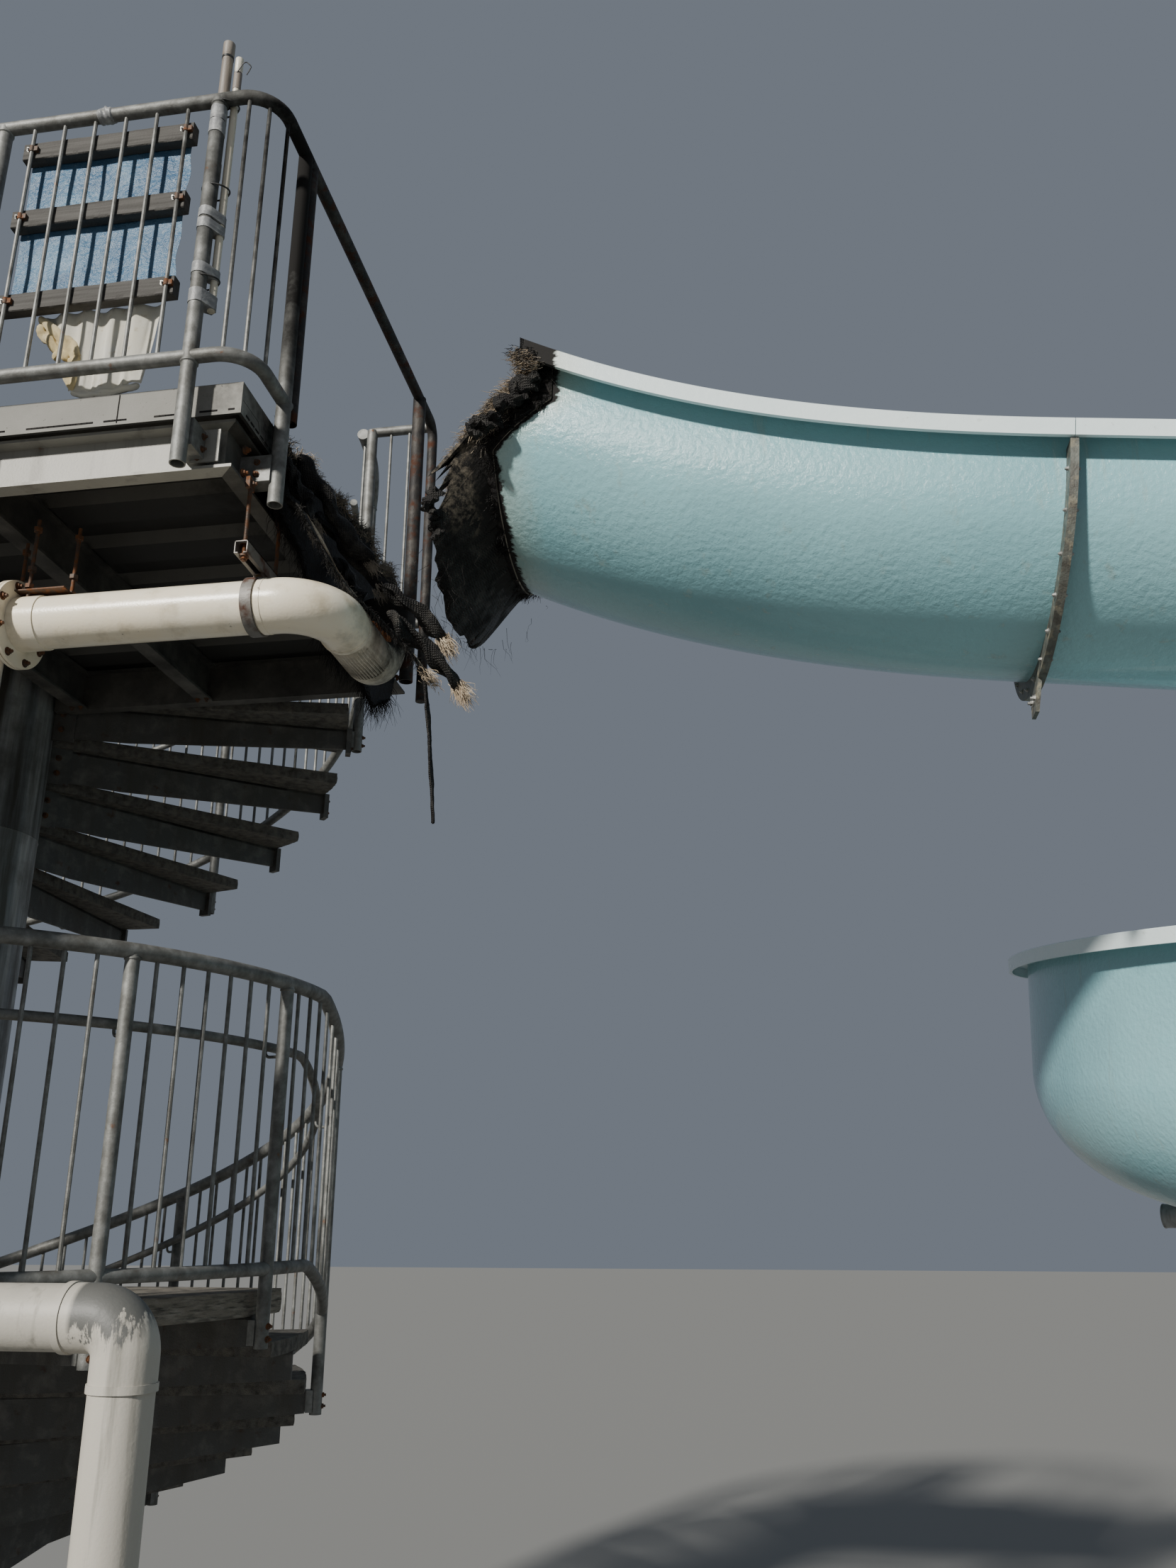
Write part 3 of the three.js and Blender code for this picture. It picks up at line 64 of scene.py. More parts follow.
# Platform guards: heights of rails and posts, and the lines they stand on
TOP_RAIL = 5.915
BOTTOM_RAIL = 4.930
POST_FOOT = 4.563
GUARD_LEFT = -0.963
GUARD_RIGHT = 1.900
GUARD_FRONT = -1.740
GUARD_BACK = 0.193
GUARD_SPLIT = -0.713
LUG_Z = (4.634, 4.724)

# Stair: angles are in degrees about the column, counted on downwards from the stair's head
LANDING_TOP = 2.262
RISER = 0.174
STAIR_RADIUS = 1.530
GUARD_RADIUS = 1.572
RAIL_SPACING = 0.985
TREAD_STEP = 18
TREAD_LAP = 2
TREAD_SWEEP = 20
BEAM_TURN = 8
UPPER_START = 17
LANDING_START = 267
LANDING_BEAMS = (273, 299, 325, 351)
LOWER_START = 359
RAIL_LEVEL_END = 363
RAIL_FALL = RISER / TREAD_STEP
LANDING_RAIL = 3.320
HANDRAIL_DROP = 0.228
# The box at a beam's tip that the guard's bracket is bolted to, from its inner to its outer face
TIP_BOX = (1.523, 1.546)

# Flume: a straight length from the first joint, then bends round the mast
FLUME_RADIUS = 0.500
FLUME_JOINT_X = 4.214
FLUME_STRAIGHT = 2.796
HELIX = (7.010, 1.240)
HELIX_RADIUS = 2.040
BEND = math.radians(80) * HELIX_RADIUS
JOINT_TRIM = 0.00015
FLANGE_THICKNESS = 0.012
WALL_TOP = 0.543
OUTER_RISE = 0.503
LIP_REACH = 0.055

# The trough's lowest line: its height at the first joint, its fall a + bu + cu² with u the share
# of KEEL_SWEEP turned, and the square and cube parts of its rise before the joint
KEEL_JOINT = 4.167
KEEL_FALL = (0.1267, -0.0358, 0.0591)
KEEL_SWEEP = 1.5 * math.pi
KEEL_CURVE = (4.25e-2, 2.62e-2)

# Burnt end: how far it hangs down and over what length, and where the sound paint begins, past
# a line that runs between two heights and two values of X
BURNT_DROOP = 0.280
DROOP_LENGTH = 0.060
BURNT_ARC = 150
BURN_CENTRE = (2.15, -1.15, 5.05)
PAINT_HEIGHTS = (4.86, 4.99)
PAINT_EDGE = (2.530, 2.735)

# Pipes, and the poles tied to the front guard with their places in X and Y
PIPE_RADIUS = 0.084
PIPE_Y = -1.410
JET_PIPE_Z = 4.257
JET_PIPE_X = (1.064, 2.055)
JET_RISER_Y = -0.860
JET_RISER_TOP = 4.507
FEED_PIPE_X = (1.674, 0.925)
FEED_BEND_Z = 2.262
HANGER_X = 1.840
HANGER_Y = (-1.555, -1.275)
HANGER_Z = (4.365, 4.406)
BROWN_POLE = (1.695, -1.6982)
WHITE_POLE = (1.741, -1.7044)


# Arithmetic


def unit(vectors):
    """Each vector divided by its own length."""
    vectors = np.asarray(vectors, float)
    return vectors / np.linalg.norm(vectors, axis=-1, keepdims=True)


def smooth_step(value, low, high):
    """3t² - 2t³, with t the share of the way from low to high, held between 0 and 1."""
    t = np.clip((np.asarray(value, float) - low) / (high - low), 0, 1)
    return t * t * (3 - 2 * t)


def wander(value, pitch, size, seed):
    """A smooth random line: a random height at every pitch, joined by cosine steps."""
    value = np.asarray(value, float) / pitch
    low = np.floor(value).astype(int)
    heights = np.random.default_rng(seed).uniform(-size, size, 4096)
    share = (1 - np.cos((value - low) * math.pi)) / 2
    return heights[low % 4096] * (1 - share) + heights[(low + 1) % 4096] * share


def rounded(corners, radius, steps=10):
    """The line through the corners with an arc at each bend. The arc's centre lies on the bend's
    middle line, at radius / sin of half the opening, and its points turn evenly about it."""
    corners = np.asarray(corners, float)
    line = [corners[:1]]
    for before, corner, after in zip(corners[:-2], corners[1:-1], corners[2:]):
        back, ahead = unit(before - corner), unit(after - corner)
        half = math.acos(np.clip(back @ ahead, -1, 1)) / 2
        centre = corner + unit(back + ahead) * radius / math.sin(half)
        start = corner + back * radius / math.tan(half) - centre
        end = corner + ahead * radius / math.tan(half) - centre
        sweep = math.pi - 2 * half
        t = np.linspace(0, 1, steps + 1)[:, None]
        arc = (np.sin((1 - t) * sweep) * start + np.sin(t * sweep) * end) / math.sin(sweep)
        line.append(centre + arc)
    line.append(corners[-1:])
    return np.concatenate(line)


def walked(line):
    """The distance walked along a line at each of its points."""
    return np.concatenate([[0], np.cumsum(np.linalg.norm(np.diff(line, axis=0), axis=1))])


def along_line(line, stops):
    """The points of a line at distances walked along it."""
    distances = walked(line)
    return np.stack([np.interp(stops, distances, line[:, k]) for k in range(line.shape[1])], -1)


def polar(angles, radius, height):
    """Points on a circle about the column, by angle in degrees."""
    turn = np.radians(angles)
    return np.stack(np.broadcast_arrays(radius * np.cos(turn), radius * np.sin(turn), height), -1)


def places(xs, ys, zs):
    """Points from coordinates that may be single numbers or lists."""
    return np.stack(np.broadcast_arrays(xs, ys, zs), -1).astype(float).reshape(-1, 3)


# Meshes


class Shape:
    """Gathers the points and faces of one piece. Each face carries the number of its finish."""

    def __init__(self):
        self.points = []
        self.faces = []
        self.finishes = []
        self.count = 0

    def add(self, points, batches, finish=0):
        """Adds points with batches of faces that count from the first of these points."""
        points = np.asarray(points, float).reshape(-1, 3)
        for batch in batches:
            batch = np.asarray(batch, int)
            self.faces.append(batch + self.count)
            same = np.ndim(finish) == 0 or len(finish) != len(batch)
            self.finishes.append(np.full(len(batch), np.max(finish)) if same else finish)
        self.points.append(points)
        self.count += len(points)

    def piece(self, name, finishes, replaces=(), slot=None, crease=38):
        """Makes the mesh object, smooth up to the crease angle, riding on the fixed frame."""
        corners = np.concatenate([batch.ravel() for batch in self.faces])
        sizes = np.concatenate([np.full(len(batch), batch.shape[1]) for batch in self.faces])
        mesh = bpy.data.meshes.new(name)
        mesh.vertices.add(self.count)
        mesh.vertices.foreach_set("co", np.concatenate(self.points).astype(np.float32).ravel())
        mesh.loops.add(len(corners))
        mesh.loops.foreach_set("vertex_index", corners.astype(np.int32))
        mesh.polygons.add(len(sizes))
        mesh.polygons.foreach_set("loop_start", (np.cumsum(sizes) - sizes).astype(np.int32))
        numbers = np.concatenate(self.finishes).astype(np.int32)
        mesh.polygons.foreach_set("material_index", numbers)
        mesh.update(calc_edges=True)
        mesh.validate()
        mesh.shade_smooth()
        mesh.set_sharp_from_angle(angle=math.radians(crease))
        for finish in finishes:
            mesh.materials.append(bpy.data.materials[finish])
        obj = bpy.data.objects.new(name, mesh)
        bpy.context.scene.collection.objects.link(obj)
        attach(obj, "root")
        if replaces:
            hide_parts(*replaces)
        return obj


def net(rows, columns, closed=True):
    """Four-cornered faces between the rows of a grid, joined round on itself where closed."""
    i = np.arange(rows - 1)[:, None]
    j = np.arange(columns if closed else columns - 1)[None]
    k = (j + 1) % columns
    corners = [i * columns + j, (i + 1) * columns + j, (i + 1) * columns + k, i * columns + k]
    return np.stack(corners, -1).reshape(-1, 4)


def each(batch, count, size):
    """The same faces repeated for count copies of a shape with size points."""
    batch = np.asarray(batch, int)
    shift = (np.arange(count) * size)[:, None, None]
    return (batch[None] + shift).reshape(-1, batch.shape[-1])


def sweep(shape, centres, side, upward, profile, finish=0, ends=True):
    """A closed profile carried along a path: point = centre + u * side + v * upward."""
    profile = np.asarray(profile, float)
    if profile.ndim == 2:
        profile = np.broadcast_to(profile, (len(centres),) + profile.shape)
    rows, columns = profile.shape[:2]
    points = (centres[:, None] + profile[..., :1] * side[:, None]
              + profile[..., 1:] * upward[:, None])
    walls = net(rows, columns)
    marks = np.tile(finish, rows - 1) if np.ndim(finish) else finish
    shape.add(points, [walls], marks)
    if ends:
        loop = np.arange(columns)
        caps = [loop[None], (loop[::-1] + (rows - 1) * columns)[None]]
        shape.faces.extend(batch + shape.count - rows * columns for batch in caps)
        shape.finishes.extend([np.full(1, np.max(finish))] * 2)


def tube(shape, path, radius, sides=16, level=(0, 0, 1), finish=0):
    """A circle carried along a path: path + radius * (cos a * side + sin a * upward), with side
    square to the path and to the level direction."""
    path = np.asarray(path, float)
    along = unit(np.gradient(path, axis=0))
    side = unit(np.cross(along, level))
    upward = np.cross(side, along)
    turn = np.arange(sides) * TAU / sides
    circle = np.stack([np.cos(turn), np.sin(turn)], -1)
    radius = np.broadcast_to(radius, len(path))[:, None, None]
    sweep(shape, path, side, upward, radius * circle, finish)


def rods(shape, starts, ends, radius, sides=10, finish=0):
    """Straight bars, all at once: a circle square to each bar at both its ends, joined, closed."""
    starts, ends = np.atleast_2d(starts).astype(float), np.atleast_2d(ends).astype(float)
    starts, ends = np.broadcast_arrays(starts, ends)
    along = unit(ends - starts)
    level = np.where(np.abs(along[:, 2:]) > 0.9, [[1.0, 0, 0]], [[0, 0, 1.0]])
    side = unit(np.cross(along, level))
    upward = np.cross(side, along)
    turn = (np.arange(sides) + 0.5) * TAU / sides
    cosine, sine = np.cos(turn)[None, :, None], np.sin(turn)[None, :, None]
    radius = np.broadcast_to(radius, len(starts))[:, None, None]
    circle = radius * (cosine * side[:, None] + sine * upward[:, None])
    points = np.stack([starts[:, None] + circle, ends[:, None] + circle], 1)
    loop = np.arange(sides)[None]
    batches = [net(2, sides), loop, loop[:, ::-1] + sides]
    shape.add(points, [each(batch, len(starts), 2 * sides) for batch in batches], finish)


def turned(shape, centres, profile, sides=24, finish=0):
    """Surfaces turned about upright axes, all at once: point = centre + (r cos a, r sin a, z), for
    a profile of radius and height from the top down the outside. Both ends are closed flat."""
    centres = np.atleast_2d(centres).astype(float)
    profile = np.asarray(profile, float)
    turn = np.arange(sides) * TAU / sides
    radius, height = profile[:, None, 0], profile[:, None, 1]
    parts = np.broadcast_arrays(radius * np.cos(turn), radius * np.sin(turn), height)
    points = centres[:, None, None] + np.stack(parts, -1)
    rows = len(profile)
    loop = np.arange(sides)[None]
    batches = [net(rows, sides), loop, loop[:, ::-1] + (rows - 1) * sides]
    shape.add(points, [each(batch, len(centres), rows * sides) for batch in batches], finish)


BOX_FACES = np.array([
    [0, 1, 3, 2], [4, 6, 7, 5], [0, 4, 5, 1], [2, 3, 7, 6], [0, 2, 6, 4], [1, 5, 7, 3],
])


def boxes(shape, lows, highs, turns=0, finish=0):
    """Blocks between opposite corners, all at once, each turned in degrees about the column."""
    lows, highs = np.broadcast_arrays(np.atleast_2d(lows), np.atleast_2d(highs))
    pick = np.array([[i >> 2 & 1, i >> 1 & 1, i & 1] for i in range(8)], bool)
    points = np.where(pick[None], highs[:, None], lows[:, None]).astype(float)
    turn = np.radians(np.broadcast_to(turns, len(lows)))[:, None]
    x = points[..., 0] * np.cos(turn) - points[..., 1] * np.sin(turn)
    y = points[..., 0] * np.sin(turn) + points[..., 1] * np.cos(turn)
    points = np.stack([x, y, points[..., 2]], -1)
    shape.add(points, [each(BOX_FACES, len(lows), 8)], finish)


def plates(shape, outline, origins, across, upward, thickness, finish=0):
    """Flat plates, all at once: corner = origin + u * across + v * upward, and half the thickness
    to either side. The outline runs left about its middle."""
    outline = np.asarray(outline, float)
    origins, across, upward = np.broadcast_arrays(
        np.atleast_2d(origins).astype(float), np.atleast_2d(across), np.atleast_2d(upward))
    normal = np.cross(across, upward)[:, None] * thickness / 2
    flat = origins[:, None] + outline[None, :, :1] * across[:, None] + (
        outline[None, :, 1:] * upward[:, None])
    points = np.stack([flat + normal, flat - normal], 1)
    size = len(outline)
    loop = np.arange(size)[None]
    batches = [net(2, size), loop, loop[:, ::-1] + size]
    shape.add(points, [each(batch, len(origins), 2 * size) for batch in batches], finish)


def bolts(shape, spots, axes, size=0.011, finish=0, stub=0.8):
    """Hexagon heads on round washers with a thread end, at spots and along axes."""
    spots, axes = np.broadcast_arrays(np.atleast_2d(spots).astype(float), np.atleast_2d(axes))
    axes = unit(axes)
    sink = spots - axes * 0.004
    rods(shape, sink, spots + axes * 0.22 * size, 1.35 * size, 14, finish)
    rods(shape, sink, spots + axes * 0.95 * size, size, 6, finish)
    rods(shape, sink, spots + axes * (0.95 + stub) * size, 0.55 * size, 8, finish)


def strands(shape, roots, directions, lengths, radius, seed, droop=0.5, curl=0.5, finish=0):
    """Thin tapering fibres, all at once: root + t * length * direction - droop * t² * length * Z,
    plus a random walk that grows with t. Each point along it carries a small triangle."""
    count, steps = len(roots), 4
    random = np.random.default_rng(seed)
    t = np.linspace(0, 1, steps)[None, :, None]
    lengths = np.broadcast_to(lengths, count)[:, None, None]
    walk = np.cumsum(random.normal(0, curl / steps, (count, steps, 3)), 1)
    walk = (walk - walk[:, :1]) * lengths
    path = roots[:, None] + t * lengths * directions[:, None] + walk
    path = path - droop * t * t * lengths * np.array([0, 0, 1.0])
    along = unit(np.gradient(path, axis=1))
    side = unit(np.cross(along, [0.31, 0.57, 0.76]))
    upward = np.cross(side, along)
    turn = (np.arange(3) * TAU / 3)[None, None, :, None]
    thick = (np.broadcast_to(radius, count)[:, None, None] * (1 - 0.75 * t))[..., None]
    circle = np.cos(turn) * side[:, :, None] + np.sin(turn) * upward[:, :, None]
    points = path[:, :, None] + thick * circle
    batches = [net(steps, 3), [[0, 1, 2]], [[3 * steps - 1, 3 * steps - 2, 3 * steps - 3]]]
    shape.add(points, [each(batch, count, steps * 3) for batch in batches], finish)


def tufts(shape, roots, directions, count, length, radius, seed, spread=0.010, finish=0):
    """Clumps of fibres: count to each root, starting around it and following one direction."""
    random = np.random.default_rng(seed)
    pick = np.repeat(np.arange(len(roots)), count)
    starts = roots[pick] + random.normal(0, spread, (len(pick), 3))
    aims = np.broadcast_to(directions, roots.shape)[pick]
    aims = unit(aims + random.normal(0, 0.22, (len(pick), 3)))
    lengths = length * random.uniform(0.45, 1.0, len(pick))
    strands(shape, starts, aims, lengths, radius, seed + 1, 0.35, 0.45, finish)


def rolled(shape, path, radius, seed, rough=0.3, sides=14, finish=0):
    """A crumpled roll: a circle carried along a path, its radius changed by waves along it and
    round it, and closing at both ends."""
    path = np.asarray(path, float)
    along = unit(np.gradient(path, axis=0))
    side = unit(np.cross(along, (0.13, 0.21, 1.0)))
    upward = np.cross(side, along)
    random = np.random.default_rng(seed)
    turn = np.arange(sides) * TAU / sides
    t = np.linspace(0, 1, len(path))[:, None]
    waves = [np.sin(random.integers(1, 5) * turn + random.uniform(3, 24) * t
                    + random.uniform(0, TAU)) for _ in range(5)]
    close = np.sqrt(np.clip(1 - np.abs(2 * t - 1) ** 8, 0.05, 1))
    ring = radius * (1 + rough * sum(waves) / 2.2) * close
    profile = np.stack([ring * np.cos(turn), ring * np.sin(turn)], -1)
    sweep(shape, path, side, upward, profile, finish)


def taped(shape, circles, low, high, seed, finish=0):
    """A band wrapped round upright tubes. In each direction it lies on the tube that reaches
    farthest that way; small random waves crease it."""
    turn = np.arange(48) * TAU / 48
    way = np.stack([np.cos(turn), np.sin(turn)])
    centres, radii = np.array([c[:2] for c in circles]), np.array([c[2] for c in circles])
    pick = (centres @ way + radii[:, None]).argmax(0)
    heights = np.linspace(low, high, 9)
    rings = []
    for i, height in enumerate(heights):
        reach = radii[pick] + 0.0010 + np.abs(wander(turn * 3 + 5 * i, 0.9, 0.0012, seed))
        flat = centres[pick] + (reach * way).T
        tilt = wander(turn * 2, 1.3, 0.003, seed + 1)
        rings.append(np.column_stack([flat, height + tilt]))
    loop = np.arange(48)[None]
    batches = [net(9, 48)[:, ::-1], loop[:, ::-1], loop + 8 * 48]
    shape.add(np.stack(rings), batches, finish)


def lay_sheet(shape, points, thickness, normals, finish=0):
    """A thin closed skin on a grid of points: the grid moved half the thickness to either side
    along its normals, with its border joined."""
    rows, columns = points.shape[:2]
    front = points + normals * thickness / 2
    back = points - normals * thickness / 2
    flat = net(rows, columns, closed=False)
    size = rows * columns
    index = np.arange(size).reshape(rows, columns)
    border = np.concatenate([index[0, :-1], index[:-1, -1], index[-1, :0:-1], index[:0:-1, 0]])
    after = np.roll(border, -1)
    rim = np.stack([border, after, after + size, border + size], -1)
    shape.add(np.stack([front, back]), [flat, flat[:, ::-1] + size, rim], finish)


# Finishes


def put(tree, kind, inputs=None, **settings):
    """Adds a node with its settings, and links or sets its inputs."""
    node = tree.nodes.new(kind)
    for name, value in settings.items():
        setattr(node, name, value)
    for key, value in (inputs or {}).items():
        if isinstance(value, bpy.types.NodeSocket):
            tree.links.new(value, node.inputs[key])
        else:
            node.inputs[key].default_value = value
    return node


def mix(tree, share, first, second):
    """The colour between two others, by a share."""
    return put(tree, "ShaderNodeMix", {0: share, 6: first, 7: second}, data_type="RGBA").outputs[2]


def maths(tree, operation, first, second=0.0, third=0.0, clamp=False):
    """One arithmetic step."""
    inputs = {0: first, 1: second, 2: third}
    return put(tree, "ShaderNodeMath", inputs, operation=operation, use_clamp=clamp).outputs[0]


def ramp(tree, value, low, high, bottom=0.0, top=1.0):
    """The share of the way from low to high, held between 0 and 1, spread from bottom to top."""
    return put(tree, "ShaderNodeMapRange", {"Value": value, "From Min": low, "From Max": high,
                                            "To Min": bottom, "To Max": top}).outputs[0]


def noise(tree, place, scale, detail, roughness):
    """Fractal noise over a place."""
    return put(tree, "ShaderNodeTexNoise", {"Vector": place, "Scale": scale, "Detail": detail,
                                            "Roughness": roughness}).outputs[0]


def stretched(tree, place, factors):
    """A place scaled along each axis."""
    inputs = {0: place, 1: factors}
    return put(tree, "ShaderNodeVectorMath", inputs, operation="MULTIPLY").outputs[0]


def open_group(name, inputs, outputs):
    """A new node group with its sockets; gives the tree, its input sockets and its output node."""
    tree = bpy.data.node_groups.new(name, "ShaderNodeTree")
    for label, kind, value in inputs:
        socket = tree.interface.new_socket(name=label, in_out="INPUT", socket_type=kind)
        socket.default_value = value
    for label, kind in outputs:
        tree.interface.new_socket(name=label, in_out="OUTPUT", socket_type=kind)
    return tree, put(tree, "NodeGroupInput").outputs, put(tree, "NodeGroupOutput")


COLOUR, NUMBER, VECTOR = "NodeSocketColor", "NodeSocketFloat", "NodeSocketVector"


def make_stain_group():
    """Patches of a second colour: noise over a stretched place, cut at a level by the amount."""
    tree, given, result = open_group("Stain", [
        ("Place", VECTOR, (0, 0, 0)), ("Colour", COLOUR, (0.5, 0.5, 0.5, 1)),
        ("Stain", COLOUR, (0.1, 0.1, 0.1, 1)), ("Scale", NUMBER, 8), ("Amount", NUMBER, 0.4),
        ("Softness", NUMBER, 0.2), ("Stretch", VECTOR, (1, 1, 1)),
    ], [("Colour", COLOUR), ("Mask", NUMBER)])
    cloud = noise(tree, stretched(tree, given["Place"], given["Stretch"]), given["Scale"], 7, 0.62)
    level = maths(tree, "MULTIPLY_ADD", given["Amount"], -0.44, 0.72)
    above = maths(tree, "SUBTRACT", cloud, level)
    share = maths(tree, "DIVIDE", above, given["Softness"])
    mask = maths(tree, "ADD", share, 0.5, clamp=True)
    colour = mix(tree, mask, given["Colour"], given["Stain"])
    tree.links.new(colour, result.inputs["Colour"])
    tree.links.new(mask, result.inputs["Mask"])


def make_soot_group():
    """Soot by the distance from the burnt place, with an uneven edge."""
    tree, given, result = open_group("Soot", [
        ("Place", VECTOR, (0, 0, 0)), ("Colour", COLOUR, (0.5, 0.5, 0.5, 1)),
        ("Soot", COLOUR, (0.012, 0.011, 0.010, 1)), ("Centre", VECTOR, BURN_CENTRE),
        ("Full", NUMBER, 0.5), ("Clear", NUMBER, 1.0),
    ], [("Colour", COLOUR), ("Mask", NUMBER)])
    far = put(tree, "ShaderNodeVectorMath", {0: given["Place"], 1: given["Centre"]},
              operation="DISTANCE").outputs["Value"]
    uneven = maths(tree, "MULTIPLY_ADD", noise(tree, given["Place"], 14, 6, 0.65), 0.5, far)
    uneven = maths(tree, "SUBTRACT", uneven, 0.25)
    left = maths(tree, "SUBTRACT", given["Clear"], uneven)
    width = maths(tree, "SUBTRACT", given["Clear"], given["Full"])
    mask = maths(tree, "DIVIDE", left, width, clamp=True)
    colour = mix(tree, mask, given["Colour"], given["Soot"])
    tree.links.new(colour, result.inputs["Colour"])
    tree.links.new(mask, result.inputs["Mask"])


def make_relief_group():
    """An uneven surface: broad noise with finer noise on it."""
    tree, given, result = open_group("Relief", [
        ("Place", VECTOR, (0, 0, 0)), ("Scale", NUMBER, 60), ("Fine share", NUMBER, 0.35),
    ], [("Height", NUMBER)])
    broad = noise(tree, given["Place"], given["Scale"], 2, 0.5)
    finer = maths(tree, "MULTIPLY", given["Scale"], 6.0)
    fine = noise(tree, given["Place"], finer, 4, 0.6)
    height = maths(tree, "MULTIPLY_ADD", fine, given["Fine share"], broad)
    tree.links.new(height, result.inputs["Height"])


def make_weave_group():
    """Threads over and under: two rows of waves at right angles, the higher one on top."""
    tree, given, result = open_group("Weave", [
        ("Place", VECTOR, (0, 0, 0)), ("Scale", NUMBER, 60), ("Warp", NUMBER, 1.5),
    ], [("Height", NUMBER), ("Gaps", NUMBER)])
    rows = []
    for direction in ("X", "Z"):
        rows.append(put(tree, "ShaderNodeTexWave", {
            "Vector": given["Place"], "Scale": given["Scale"], "Distortion": given["Warp"],
            "Detail": 2, "Detail Scale": 0.4}, bands_direction=direction).outputs[1])
    height = maths(tree, "MAXIMUM", *rows)
    gaps = maths(tree, "SUBTRACT", 1.0, height, clamp=True)
    tree.links.new(height, result.inputs["Height"])
    tree.links.new(gaps, result.inputs["Gaps"])


def group_node(tree, name, inputs):
    """A group placed in a material, with its own values."""
    return put(tree, "ShaderNodeGroup", inputs, node_tree=bpy.data.node_groups[name])


EVEN = (1, 1, 1)
DOWN = (1, 1, 0.07)


def make_finish(name, colour, rough, stains=(), soot=None, metallic=0.0, coat=0.0,
                grain=(60, 0.0010), weave=None, special=None, **constants):
    """A material: base colour, patches one over another, soot, roughness that follows the last
    patches and the soot, and a relief that feeds a bump."""
    material = bpy.data.materials.new(name)
    material.use_nodes = True
    tree = material.node_tree
    shader = tree.nodes["Principled BSDF"]
    place = put(tree, "ShaderNodeTexCoord").outputs["Object"]
    shade = (*colour, 1) if len(colour) == 3 else tuple(colour)
    mask = None
    for stain, scale, amount, softness, stretch in stains:
        node = group_node(tree, "Stain", {
            "Place": place, "Colour": shade, "Stain": (*stain, 1), "Scale": scale,
            "Amount": amount, "Softness": softness, "Stretch": stretch})
        shade, mask = node.outputs["Colour"], node.outputs["Mask"]
    burnt = None
    if special:
        shade, burnt = special(tree, place, shade)
    if soot:
        node = group_node(tree, "Soot", {
            "Place": place, "Colour": shade, "Full": soot[0], "Clear": soot[1],
            "Centre": soot[2]})
        shade, burnt = node.outputs["Colour"], node.outputs["Mask"]
    tree.links.new(shade, shader.inputs["Base Color"])
    relief = group_node(tree, "Relief", {"Place": place, "Scale": grain[0]}).outputs["Height"]
    if weave:
        woven = group_node(tree, "Weave", {"Place": place, "Scale": weave}).outputs["Height"]
        relief = maths(tree, "MULTIPLY_ADD", relief, 0.6, woven)
    spread = mask if mask is not None else relief
    roughness = ramp(tree, spread, 0.0, 1.0, *rough)
    shader.inputs["Coat Weight"].default_value = coat
    if burnt is not None:
        roughness = put(tree, "ShaderNodeMix", {0: burnt, 2: roughness, 3: 0.95},
                        data_type="FLOAT").outputs[0]
        if coat:
            tree.links.new(maths(tree, "MULTIPLY_ADD", burnt, -coat, coat),
                           shader.inputs["Coat Weight"])
    tree.links.new(roughness, shader.inputs["Roughness"])
    bump = put(tree, "ShaderNodeBump", {"Height": relief, "Strength": 1.0, "Distance": grain[1]})
    tree.links.new(bump.outputs[0], shader.inputs["Normal"])
    shader.inputs["Metallic"].default_value = metallic
    for label, value in constants.items():
        label = label.replace("_", " ").title().replace("Ior", "IOR")
        shader.inputs[label].default_value = value
    return material


def scorched_flume(rim):
    """The burnt end's edge on the flume: black where X is less than a line that slants with
    height, with a ragged edge and a narrow tan zone beside it."""

    def paint(tree, place, shade):
        parts = put(tree, "ShaderNodeSeparateXYZ", {0: place}).outputs
        line = ramp(tree, parts[2], *PAINT_HEIGHTS, *PAINT_EDGE)
        if rim:
            line = maths(tree, "ADD", line, 0.005)
        ragged = noise(tree, stretched(tree, place, (9, 30, 30)), 1.6, 6, 0.7)
        past = maths(tree, "SUBTRACT", parts[0], line)
        past = maths(tree, "MULTIPLY_ADD", ragged, -0.07, past)
        tan = ramp(tree, past, 0.10, -0.03, 0.0, 0.35)
        black = ramp(tree, past, -0.024, -0.036)
        shade = mix(tree, tan, shade, (0.60, 0.60, 0.45, 1))
        shade = mix(tree, black, shade, (0.013, 0.012, 0.011, 1))
        if rim:
            return shade, black
        bare = ramp(tree, past, -0.105, -0.140)
        share = ramp(tree, noise(tree, place, 45, 7, 0.75), 0.44, 0.62)
        high = ramp(tree, parts[2], 4.60, 4.68)
        share = maths(tree, "MULTIPLY", share, maths(tree, "MULTIPLY", bare, high))
        return mix(tree, share, shade, (0.19, 0.16, 0.12, 1)), black

    return paint


def top_of_deck(tree, place, shade):
    """Worn walking surface: faces that look up are darker than the painted edge, and those that
    look down or lie below it are nearly black."""
    normal = put(tree, "ShaderNodeNewGeometry").outputs["Normal"]
    upward = put(tree, "ShaderNodeSeparateXYZ", {0: normal}).outputs[2]
    top = ramp(tree, upward, 0.6, 0.9)
    height = put(tree, "ShaderNodeSeparateXYZ", {0: place}).outputs[2]
    low = ramp(tree, height, DECK_TOP - 0.1095, DECK_TOP - 0.1105)
    under = maths(tree, "MAXIMUM", ramp(tree, upward, -0.2, -0.6), low)
    shade = mix(tree, top, shade, (0.21, 0.20, 0.185, 1))
    return mix(tree, under, shade, (0.030, 0.029, 0.027, 1)), None


